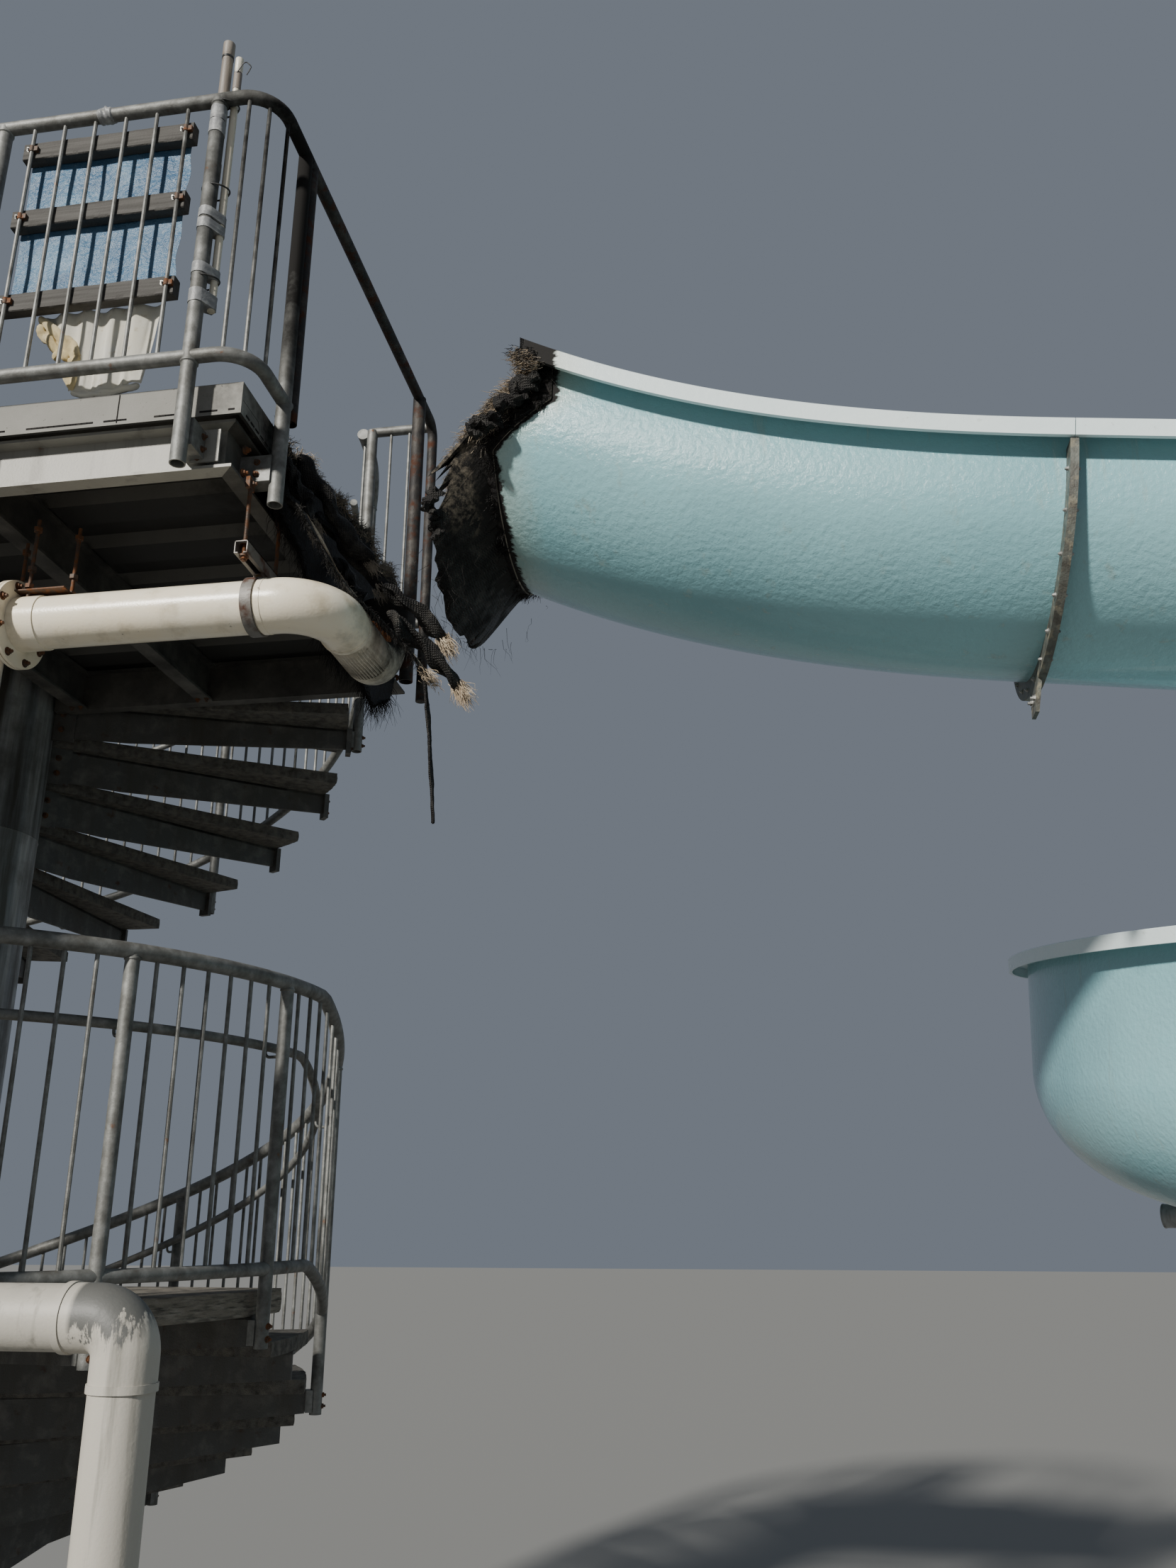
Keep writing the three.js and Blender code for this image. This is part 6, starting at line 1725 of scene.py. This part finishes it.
class BuildScreen(Step):
    """Builds the planks and the poles tied to the front guard"""

    bl_idname = "slide_tower.screen"
    bl_label = "Planks and poles"

    def execute(self, context):
        left, right = 1.030, 1.625
        front, back = -1.7333, -1.6953
        feet = {"top": 5.782, "middle": 5.507, "bottom": 5.179}
        for number, (place, foot) in enumerate(feet.items()):
            shape = Shape()
            x = np.linspace(left + 0.002, right - 0.002, 90)
            side = np.tile([0.0, 1.0, 0.0], (90, 1))
            upward = np.tile([0.0, 0.0, 1.0], (90, 1))
            corners = np.array([
                (back - 0.003, foot), (back, foot + 0.003), (back, foot + 0.065),
                (back - 0.003, foot + 0.068), (front + 0.003, foot + 0.068),
                (front, foot + 0.065), (front, foot + 0.045), (front, foot + 0.022),
                (front, foot + 0.003), (front + 0.003, foot)])
            wobble = np.stack([wander(x + 7 * k, 0.05, 0.0011, 20 + number * 10 + k)
                               for k in range(10)], 1)
            profile = np.repeat(corners[None], 90, 0)
            inward = np.sign(profile[..., 0] - (front + back) / 2)
            profile[..., 0] -= inward * np.abs(wobble)
            profile[..., 1] -= np.sign(profile[..., 1] - foot - 0.034) * np.abs(wobble) * 0.8
            centres = np.stack([x, 0 * x, 0 * x], -1)
            sweep(shape, centres, side, upward, profile[:, ::-1])
            rod = values().guards.picket_radius
            ends = places([1.0671, 1.6029], GUARD_FRONT, foot + 0.034)
            clamp = [(rod + 0.0022, 0.011), (rod + 0.003, 0), (rod + 0.0022, -0.011)]
            turned(shape, ends, clamp, 16, 1)
            boxes(shape, ends + [0.004, -0.004, -0.009], ends + [0.020, 0.008, 0.009], 0, 1)
            bolts(shape, ends + [-0.016, 0.0067, 0.006], [0, -1, 0], 0.0060, 2)
            shape.piece(f"screen_plank_{place}_board", ["old_timber", "rusty_bolt", "bright_bolt"],
                        [f"screen_plank_{place}"], "plank")
        shape = Shape()
        brown = [*BROWN_POLE, 0]
        turned(shape, brown, [(0.0195, 6.200), (0.0195, 6.150), (0.0180, 6.148), (0.0180, 5.70),
                              (0.0195, 5.698), (0.0195, 5.640), (0.0180, 5.638),
                              (0.0180, 5.290)], 24)
        upright(shape, brown, 6.135, 6.143, 0.0194, 24, 1)
        tape, post, white = Shape(), (1.710, GUARD_FRONT, 0.0245), (*WHITE_POLE, 0.0134)
        taped(tape, [post], 5.770, 5.820, 31)
        taped(tape, [post], 5.822, 5.876, 33)
        taped(tape, [post, white], 5.435, 5.470, 34)
        taped(tape, [post, white], 5.395, 5.430, 36)
        taped(tape, [post, white], 5.225, 5.262, 37)
        taped(tape, [post, white], 5.118, 5.165, 39)
        taped(tape, [(*BROWN_POLE, 0.0195), white], 5.940, 5.965, 40, 1)
        lump = places(np.linspace(1.288, 1.348, 24), GUARD_FRONT, TOP_RAIL)
        rolled(tape, lump, 0.0252, 44, 0.10, 24)
        for height in (5.900, 5.560, 5.215):
            ring = np.linspace(0, TAU, 49)
            loop = np.stack([1.722 + 0.043 * np.cos(ring), -1.724 + 0.036 * np.sin(ring),
                             height + 0.004 * np.sin(ring * 2)], -1)
            tube(tape, loop, 0.0028, 8, finish=1)
        tape.piece("pole_tapes", ["grey_tape", "black_band"], (), "plastic")
        shape.piece("brown_pole_tube", ["pole_paint", "black_band"], ["brown_pole"], "plank")
        shape = Shape()
        x, y = WHITE_POLE
        turned(shape, [x, y, 0],
               [(0.0133, 6.120), (0.0133, 6.075), (0.0121, 6.073), (0.0121, 5.117)], 20)
        upright(shape, [x, y, 0], 5.99, 6.06, 0.0133, 20, 2)
        tail = rounded([(x, y - 0.012, 6.05), (x + 0.03, y - 0.02, 6.09),
                        (x + 0.055, y - 0.02, 6.06), (x + 0.040, y - 0.018, 6.03)], 0.012, 6)
        tube(shape, tail, 0.0018, 8, level=(0.2, 1, 0), finish=1)
        shape.piece("white_pole_tube", ["pole_plastic", "black_band", "pole_paint"],
                    ["white_pole"], "plastic")
        return {"FINISHED"}


class BuildBanner(Step):
    """Builds the thin blue sheet behind the planks"""

    bl_idname = "slide_tower.banner"
    bl_label = "Banner"

    def execute(self, context):
        shape = Shape()
        u, v = np.meshgrid(np.linspace(0, 1, 60), np.linspace(0, 1, 64))
        between = np.sin(v * math.pi * 2) ** 2
        edge = 0.008 * np.sin(v * 17 + 0.6) * smooth_step(u, 0.6, 1) * between
        x = 1.045 + 0.557 * u + edge
        z = 5.204 + 0.606 * v
        y = -1.6930 + 0.0016 * np.sin(u * 9 + v * 5) + 0.0035 * between * np.sin(u * 13 + v * 3)
        y = np.maximum(y, -1.6945)
        points = np.stack([x, y, z], -1)
        normals = np.broadcast_to(np.array([0.0, 1.0, 0.0]), points.shape)
        lay_sheet(shape, points, 0.0008, normals)
        banner = shape.piece("banner_sheet", ["blue_sheet"], ["banner"], "vinyl", crease=80)
        return {"FINISHED"}


def settle_cloth(obj, pinned, frames):
    """Lets a sheet hang from its pinned points under its own weight, and keeps the result."""
    scene = bpy.context.scene
    group = obj.vertex_groups.new(name="held")
    group.add(pinned, 1.0, "REPLACE")
    modifier = obj.modifiers.new("hang", "CLOTH")
    modifier.settings.vertex_group_mass = "held"
    modifier.settings.quality = 6
    modifier.settings.mass = 0.25
    modifier.settings.tension_stiffness = 25
    modifier.settings.compression_stiffness = 25
    modifier.settings.bending_stiffness = 0.6
    modifier.settings.air_damping = 3.0
    modifier.collision_settings.use_self_collision = False
    modifier.point_cache.frame_start = 1
    modifier.point_cache.frame_end = frames
    for number in range(1, frames + 1):
        scene.frame_set(number)
    evaluated = obj.evaluated_get(bpy.context.evaluated_depsgraph_get())
    count = len(obj.data.vertices)
    points = np.zeros(count * 3, np.float32)
    evaluated.data.vertices.foreach_get("co", points)
    obj.modifiers.remove(modifier)
    obj.vertex_groups.clear()
    scene.frame_set(1)
    return points.reshape(-1, 3)


class BuildCloth(Step):
    """Hangs the cream cloth, with its knotted end, below the lowest plank"""

    bl_idname = "slide_tower.cloth"
    bl_label = "Hanging cloth"

    def execute(self, context):
        rows, columns = 46, 64
        u, v = np.meshgrid(np.linspace(0, 1, columns), np.linspace(0, 1, rows))
        left = 1.165 + 0.125 * smooth_step(v, 0, 0.55)
        right = 1.560 - 0.045 * v
        x = left + (right - left) * u
        folds = 0.0085 * np.sin(u * 29 + 2.0 * v) + 0.005 * np.sin(u * 13 + v * 5 + 1)
        y = -1.6745 + folds * (1 - 0.25 * v)
        foot = 4.890 + 0.022 * np.cos(u * 7.0)
        z = 5.196 + (foot - 5.196) * v
        shape = Shape()
        shape.add(np.stack([x, y, z], -1), [net(rows, columns, closed=False)])
        cloth = shape.piece("hanging_cloth_sheet", ["cream_cloth"], ["hanging_cloth"], "cloth",
                            crease=80)
        mesh = cloth.data
        start = np.stack([x, y, z], -1).reshape(-1, 3)
        points = settle_cloth(cloth, list(range(columns)), 24)
        points = start + np.clip(points - start, -0.018, 0.018)
        points[:, 1] = np.clip(points[:, 1], -1.6945, -1.6545)
        points[:, 2] = np.maximum(points[:, 2], 4.8745)
        mesh.vertices.foreach_set("co", points.astype(np.float32).ravel())
        mesh.update()
        thick = cloth.modifiers.new("thickness", "SOLIDIFY")
        thick.thickness = 0.0012
        finer = cloth.modifiers.new("finer", "SUBSURF")
        finer.levels = finer.render_levels = 1
        bundle = Shape()
        for number, (line, radius, finish) in enumerate((
                (((1.145, 5.190), (1.195, 5.150), (1.250, 5.095), (1.290, 5.030), (1.285, 4.960),
                  (1.300, 4.905)), 0.018, 0),
                (((1.155, 5.165), (1.180, 5.110), (1.225, 5.070), (1.270, 5.020)), 0.015, 0),
                (((1.160, 5.120), (1.205, 5.100), (1.235, 5.055), (1.215, 5.030)), 0.012, 0),
                (((1.290, 4.902), (1.350, 4.888), (1.430, 4.888), (1.515, 4.905)), 0.0115, 1))):
            path = rounded([(px, -1.674 + 0.002 * number, pz) for px, pz in line], 0.02, 6)
            path = along_line(path, np.linspace(0, walked(path)[-1], 60))
            rolled(bundle, path, radius, 70 + number, 0.35, 16, finish)
        bundle = bundle.piece("hanging_cloth_bundle", ["yellow_cloth", "cream_cloth"], (), "cloth",
                              crease=80)
        return {"FINISHED"}


# Burnt pieces

# The lower and the upper edge of the wall left on the platform's edge, as Y and Z
REMAINS_LOW = [(-1.445, 4.600), (-1.200, 4.560), (-1.000, 4.400), (-0.820, 4.340),
               (-0.640, 4.400), (-0.400, 4.330), (-0.200, 4.440), (-0.145, 4.560)]
REMAINS_HIGH = [(-1.445, 4.890), (-1.300, 4.860), (-1.180, 4.930), (-1.020, 4.900),
                (-0.860, 4.970), (-0.700, 4.950), (-0.560, 5.010), (-0.420, 4.930),
                (-0.300, 4.990), (-0.145, 4.960)]


class BuildRemains(Step):
    """Builds the burnt wall left on the platform's edge and the woven flap by the pipe"""

    bl_idname = "slide_tower.remains"
    bl_label = "Burnt remains"

    def execute(self, context):
        self.wall()
        self.flap()
        self.strips()
        return {"FINISHED"}

    def wall(self):
        """The torn wall on the platform's edge, with fibres along both its edges."""
        shape = Shape()
        u, v = np.meshgrid(np.linspace(0, 1, 110), np.linspace(0, 1, 46))
        y = -1.445 + 1.300 * u
        low = np.interp(y, *zip(*REMAINS_LOW)) + np.abs(wander(y, 0.018, 0.020, 41))
        high = np.interp(y, *zip(*REMAINS_HIGH)) - np.abs(wander(y, 0.022, 0.022, 42))
        z = low + (high - low) * v
        bulge = wander(y, 0.11, 0.0025, 43) * np.sin(v * math.pi)
        points = np.stack([1.8640 + bulge, y, z], -1)
        normals = np.broadcast_to(np.array([-1.0, 0.0, 0.0]), points.shape)
        lay_sheet(shape, points, 0.010, normals)
        random = np.random.default_rng(44)
        count = 1500
        yy = random.uniform(-1.44, -0.15, count)
        edge = np.interp(yy, *zip(*REMAINS_HIGH)) - 0.012
        roots = np.stack([np.full(count, 1.864) + random.normal(0, 0.004, count), yy, edge], -1)
        aim = unit(np.stack([random.normal(0.15, 0.35, count), random.normal(0, 0.5, count),
                             random.uniform(0.4, 1.0, count)], -1))
        strands(shape, roots, aim, random.uniform(0.012, 0.05, count), 0.0011, 45, 0.7, 0.7,
                finish=1)
        count = 900
        yy = random.uniform(-1.42, -0.16, count)
        edge = np.interp(yy, *zip(*REMAINS_LOW)) + 0.016
        roots = np.stack([np.full(count, 1.866), yy, edge], -1)
        aim = unit(np.stack([random.normal(0.1, 0.3, count), random.normal(0, 0.3, count),
                             random.uniform(-1.0, -0.4, count)], -1))
        strands(shape, roots, aim, random.uniform(0.02, 0.07, count), 0.0012, 46, 0.6, 0.6)
        shape.piece("tub_remains_crust", ["soot_crust", "grey_fibre"], ["tub_remains"], "charred")

    def flap(self):
        """The woven flap by the pipe with its narrow tail, and the threads along its edges."""
        route = np.array([(1.881, 4.650, -1.440, -1.330), (1.960, 4.580, -1.440, -1.325),
                          (2.040, 4.420, -1.380, -1.260), (2.100, 4.335, -1.320, -1.200),
                          (2.221, 4.234, -1.165, -1.035), (2.279, 4.150, -1.110, -1.000)])
        tail = np.array([(2.262, 4.180, -1.075, -1.030), (2.280, 4.060, -1.072, -1.034),
                         (2.300, 3.860, -1.070, -1.036), (2.316, 3.657, -1.062, -1.044)])
        flap = Shape()
        for number, (line, rows, columns) in enumerate(((route, 110, 28), (tail, 80, 10))):
            distances = walked(line[:, :2])
            t = np.linspace(0, distances[-1], rows)
            x, z, y0, y1 = (np.interp(t, distances, line[:, k]) for k in range(4))
            y0 = y0 + np.abs(wander(t, 0.013, 0.012 if number == 0 else 0.006, 51 + number))
            y1 = y1 - np.abs(wander(t, 0.016, 0.016 if number == 0 else 0.006, 53 + number))
            share = np.linspace(0, 1, columns)[None]
            y = y0[:, None] + (y1 - y0)[:, None] * share
            along = unit(np.stack([np.gradient(x), 0 * x, np.gradient(z)], -1))
            away = np.stack([-along[:, 2], 0 * x, along[:, 0]], -1)
            fold = 0.0022 * np.sin(share * 9 + t[:, None] * 30)
            points = np.stack(np.broadcast_arrays(x[:, None], y, z[:, None]), -1)
            points = points + away[:, None] * fold[..., None]
            normals = np.broadcast_to(away[:, None], points.shape)
            lay_sheet(flap, points, 0.006, normals)
            if number == 0:
                torn = points[:, 18:] + away[:, None] * 0.005
                torn[..., 1] -= 0.004
                lay_sheet(flap, torn, 0.003, normals[:, 18:], 1)
        random = np.random.default_rng(61)
        count = 1600
        distances = walked(route[:, :2])
        t = random.uniform(0, distances[-1], count)
        x, z, y0, y1 = (np.interp(t, distances, route[:, k]) for k in range(4))
        near = random.uniform(0, 1, count) < 0.5
        roots = np.stack([x, np.where(near, y0 + 0.012, y1 - 0.014), z], -1)
        aim = unit(np.stack([random.normal(0, 0.4, count), np.where(near, -0.4, 0.4),
                             random.normal(-0.2, 0.5, count)], -1))
        strands(flap, roots, aim, random.uniform(0.008, 0.030, count), 0.0009, 62, 0.5, 0.6)
        count = 150
        end = np.array([2.279, -1.055, 4.150])
        roots = end + random.normal(0, 1, (count, 3)) * [0.012, 0.030, 0.012]
        aim = unit(np.array([0.62, 0.1, -0.55]) + random.normal(0, 0.25, (count, 3)))
        strands(flap, roots, aim, random.uniform(0.010, 0.035, count), 0.0012, 63, 0.1, 0.35,
                finish=1)
        flap.piece("burnt_flap_weave", ["charred_weave", "tan_fibre"],
                   ["burnt_flap"], "burnt_fibre")

    def strips(self):
        """Rolled, charred strips along the remains, some ending in pale frayed fibre."""
        shape = Shape()
        t = np.linspace(0, 1, 40)[:, None]
        bends = (
            ((2.120, -1.090, 4.470), (2.215, -1.010, 4.430), (2.290, -0.920, 4.340), 0.020, True),
            ((2.150, -1.120, 4.360), (2.250, -1.030, 4.290), (2.345, -0.915, 4.165), 0.022, True),
            ((1.880, -1.300, 4.860), (1.960, -1.180, 4.700), (2.080, -1.080, 4.560), 0.026, False),
            ((1.880, -1.100, 4.760), (1.980, -1.060, 4.660), (2.110, -1.040, 4.480), 0.024, False),
            ((1.885, -0.900, 4.700), (1.960, -0.920, 4.560), (2.020, -0.980, 4.420), 0.022, False),
            ((1.885, -1.380, 4.800), (1.905, -1.330, 4.700), (1.960, -1.290, 4.580), 0.020, False),
        )
        for number, (start, bend, end, radius, frayed) in enumerate(bends):
            start, bend, end = map(np.array, (start, bend, end))
            path = (1 - t) ** 2 * start + 2 * t * (1 - t) * bend + t * t * end
            path = path + 0.005 * np.sin(t * 14 + number) * np.array([0.4, 0.8, 0.5])
            rolled(shape, path, radius, 110 + number, 0.55)
            aim = unit(end - bend)
            random = np.random.default_rng(130 + number)
            roots = end - aim * 0.012 + random.normal(0, 0.009, (26 if frayed else 7, 3))
            tufts(shape, roots, aim, 14, 0.058 if frayed else 0.035, 0.0014, 140 + number,
                  0.005, 1 if frayed else 2)
        random = np.random.default_rng(150)
        y = random.uniform(-1.43, -0.20, 150)
        top = np.interp(y, *zip(*REMAINS_HIGH))
        roots = np.stack([np.full(150, 1.868), y, top - random.uniform(0.0, 0.05, 150)], -1)
        aims = unit(np.stack([random.normal(0.5, 0.3, 150), random.normal(0, 0.4, 150),
                              random.normal(0.3, 0.5, 150)], -1))
        tufts(shape, roots[:90], aims[:90], 12, 0.034, 0.0014, 151, 0.010, 2)
        tufts(shape, roots[90:], aims[90:], 12, 0.030, 0.0013, 153, 0.010, 1)
        shape.piece("burnt_strips", ["charred_weave", "tan_fibre", "grey_fibre"], (), "burnt_fibre")


class BuildBurntEnd(Step):
    """Grows the loose, scorched glass fibre along the flume's burnt end"""

    bl_idname = "slide_tower.burnt_end"
    bl_label = "Burnt flume end"

    def execute(self, context):
        length = values().flume.fibre_length
        line = leaned(wall_line(0.018, [0.515], [0.515], [0.0], 300), [0.0])[0]
        whole = walked(line)[-1]
        for name, finish, clumps, near, far, share, seed in (
                ("black", "charred_weave", 330, 0.35, 0.92, 0.60, 81),
                ("grey", "grey_fibre", 400, -0.03, 0.50, 0.85, 82),
                ("tan", "tan_fibre", 420, -0.06, 0.38, 0.90, 83)):
            random = np.random.default_rng(seed)
            u, v = along_line(line, random.uniform(0, whole, clumps)).T
            part = random.uniform(near, far, clumps)
            s, spot, _ = burnt_strip(u, v, part, 10)
            keep = spot[:, 2] > (4.50 if name == "black" else 4.60)
            s, u, v = s[keep], u[keep], v[keep]
            centres, side, upward, _ = flume_frame(s)
            outward = unit(u[:, None] * side + (v - FLUME_RADIUS)[:, None] * upward)
            roots = centres + u[:, None] * side + v[:, None] * upward
            count = len(roots)
            aims = unit(outward * random.uniform(0.05, 0.8, (count, 1))
                        + np.array([-0.8, 0, -0.1]) + random.normal(0, 0.45, (count, 3)))
            shape = Shape()
            tufts(shape, roots, aims, 15, length * share, 0.0015, seed + 10, 0.008)
            for way, y in ((-1, -1.338), (1, -0.262)):
                rim = np.stack([random.uniform(2.610, 2.690, 16),
                                np.full(16, y) + random.normal(0, 0.006, 16),
                                random.uniform(5.085, 5.135, 16)], -1)
                aim = np.array([-0.8, 0.25 * way, 0.1])
                tufts(shape, rim, aim, 14, length * 0.6, 0.0014, seed + 20)
            shape.piece(f"flume_end_{name}_fibres", [finish], (), "burnt_fibre")
        self.crust(line)
        shape = Shape()
        t = np.linspace(0, 1, 26)[:, None]
        for number, (start, end, radius) in enumerate((
                ((2.700, -1.340, 5.105), (2.605, -1.338, 5.130), 0.020),
                ((2.690, -1.322, 5.045), (2.590, -1.325, 5.010), 0.026),
                ((2.640, -1.322, 5.000), (2.545, -1.322, 4.950), 0.024),
                ((2.560, -1.318, 4.925), (2.455, -1.318, 4.872), 0.022),
                ((2.350, -1.296, 4.700), (2.325, -1.270, 4.620), 0.020),
                ((2.340, -1.250, 4.640), (2.330, -1.190, 4.560), 0.018))):
            path = np.array(start) + t * (np.array(end) - np.array(start))
            path = path + 0.006 * np.sin(t * 9 + number) * np.array([0.2, 0.5, 0.8])
            rolled(shape, path, radius, 90 + number, 0.55)
        random = np.random.default_rng(99)
        s = random.uniform(-1.90, -1.69, 90)
        centres, side, upward, _ = flume_frame(s)
        sag = BURNT_DROOP * smooth_step(-1.670 - s, 0, DROOP_LENGTH)
        angle = random.uniform(-0.75, 0.75, 90) - math.pi / 2
        reach = (FLUME_RADIUS + 0.010) * np.stack([np.cos(angle), 1 + np.sin(angle)], -1)
        roots = centres + reach[:, :1] * side + (reach[:, 1:] - sag[:, None]) * upward
        strands(shape, roots, unit(np.array([-0.1, 0, -1.0]) + random.normal(0, 0.3, (90, 3))),
                random.uniform(0.02, 0.10, 90), 0.0008, 100, 0.1, 0.7)
        shape.piece("flume_end_rolls", ["charred_weave"], (), "burnt_fibre")
        return {"FINISHED"}

    def crust(self, line):
        """A blistered skin over the burnt strip between the ragged edge and the sound shell: the
        wall's points moved outward by small random waves, thinning to nothing at both sides."""
        columns = 16
        line = line[::-1]
        u, v = (np.repeat(line[:, None, k], columns, 1).ravel() for k in (0, 1))
        part = np.tile(np.linspace(0.02, 0.98, columns), len(line))
        _, spot, outward = burnt_strip(u, v, part, 12, inset=0.012)
        random = np.random.default_rng(171)
        lift = random.uniform(0, 1, (len(line), columns))
        lift = lift + np.roll(lift, 1, 0) + np.roll(lift, 1, 1)
        share = np.linspace(0, 1, columns)
        lift = 0.0060 * lift * np.sin(math.pi * share) ** 0.5
        grid = (len(line), columns, 3)
        points = (spot + outward * (lift.ravel()[:, None] + 0.001)).reshape(grid)
        keep = points[:, 0, 2] > 4.60
        shape = Shape()
        for chosen in (keep & (line[:, 0] > 0), keep & (line[:, 0] < 0)):
            if chosen.sum() > 3:
                part_points, part_normals = points[chosen], outward.reshape(grid)[chosen]
                marks = np.tile(np.arange(columns - 1) < 7, len(part_points) - 1).astype(int)
                lay_sheet(shape, part_points, 0.006, part_normals, marks)
        shape.piece("flume_end_crust", ["soot_crust", "grey_fibre"], (), "burnt_fibre")


class BuildStage(Step):
    """Sets the floor, the lights and the camera"""

    bl_idname = "slide_tower.stage"
    bl_label = "Stage"

    def execute(self, context):
        size = values().stage
        scene = context.scene
        reach = 60.0
        mesh = bpy.data.meshes.new("floor")
        mesh.from_pydata([(-reach, -reach, -0.002), (reach, -reach, -0.002), (reach, reach, -0.002),
                          (-reach, reach, -0.002)], [], [(0, 1, 2, 3)])
        floor = bpy.data.objects.new("floor", mesh)
        scene.collection.objects.link(floor)
        material = bpy.data.materials.new("floor_plain")
        material.use_nodes = True
        shader = material.node_tree.nodes["Principled BSDF"]
        shader.inputs["Base Color"].default_value = (0.25, 0.25, 0.24, 1)
        shader.inputs["Roughness"].default_value = 0.9
        mesh.materials.append(material)
        world = bpy.data.worlds.new("pale_sky")
        world.use_nodes = True
        sky = world.node_tree.nodes["Background"]
        sky.inputs["Color"].default_value = (0.74, 0.84, 1.0, 1)
        sky.inputs["Strength"].default_value = size.sky
        scene.world = world
        light = bpy.data.lights.new("key_light", "SUN")
        light.energy = size.sun
        light.angle = size.softness
        light.color = (1.0, 0.965, 0.90)
        lamp = bpy.data.objects.new("key_light", light)
        lamp.rotation_euler = (math.radians(63), 0, math.radians(-25))
        scene.collection.objects.link(lamp)
        lens = bpy.data.cameras.new("camera")
        lens.lens = 29.13
        lens.sensor_width = 36
        lens.sensor_fit = "AUTO"
        lens.clip_end = 200
        camera = bpy.data.objects.new("camera", lens)
        camera.location = (3.376, -4.685, 2.515)
        camera.rotation_euler = (math.radians(108.7), 0, math.radians(9))
        scene.collection.objects.link(camera)
        scene.camera = camera
        return {"FINISHED"}


STEPS = [
    MakeFinishes, FinishNodes, BuildColumn, BuildPlatformFittings, BuildGuards, BuildStair,
    BuildStairGuards, BuildFlume, BuildMast, BuildPipes, BuildScreen, BuildBanner, BuildCloth,
    BuildRemains, BuildBurntEnd, BuildStage,
]
GROUPS = [SlideTowerGuards, SlideTowerFlume, SlideTowerColours, SlideTowerStage, SlideTower]


class SlideTowerPanel(bpy.types.Panel):
    """Lists the tower's values and the steps that build it"""

    bl_idname = "VIEW3D_PT_slide_tower"
    bl_label = "Slide tower"
    bl_space_type = "VIEW_3D"
    bl_region_type = "UI"
    bl_category = "Slide tower"

    def draw(self, context):
        tower = context.scene.slide_tower
        for group in (tower.guards, tower.flume, tower.colours, tower.stage):
            box = self.layout.box()
            for name in group.__annotations__:
                box.prop(group, name)
        for step in STEPS:
            self.layout.operator(step.bl_idname)


def register():
    """Registers the groups of values, the steps and the panel."""
    for group in GROUPS:
        bpy.utils.register_class(group)
    for step in STEPS:
        bpy.utils.register_class(step)
    bpy.utils.register_class(SlideTowerPanel)
    bpy.types.Scene.slide_tower = PointerProperty(type=SlideTower)


def unregister():
    """Removes what register added."""
    del bpy.types.Scene.slide_tower
    bpy.utils.unregister_class(SlideTowerPanel)
    for item in reversed(GROUPS + STEPS):
        bpy.utils.unregister_class(item)


def main():
    """Registers the add-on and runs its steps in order."""
    register()
    for step in STEPS:
        name = step.bl_idname.split(".")[1]
        if getattr(bpy.ops.slide_tower, name)() != {"FINISHED"}:
            raise RuntimeError(f"the step {name} did not finish")


if __name__ == "__main__":
    main()
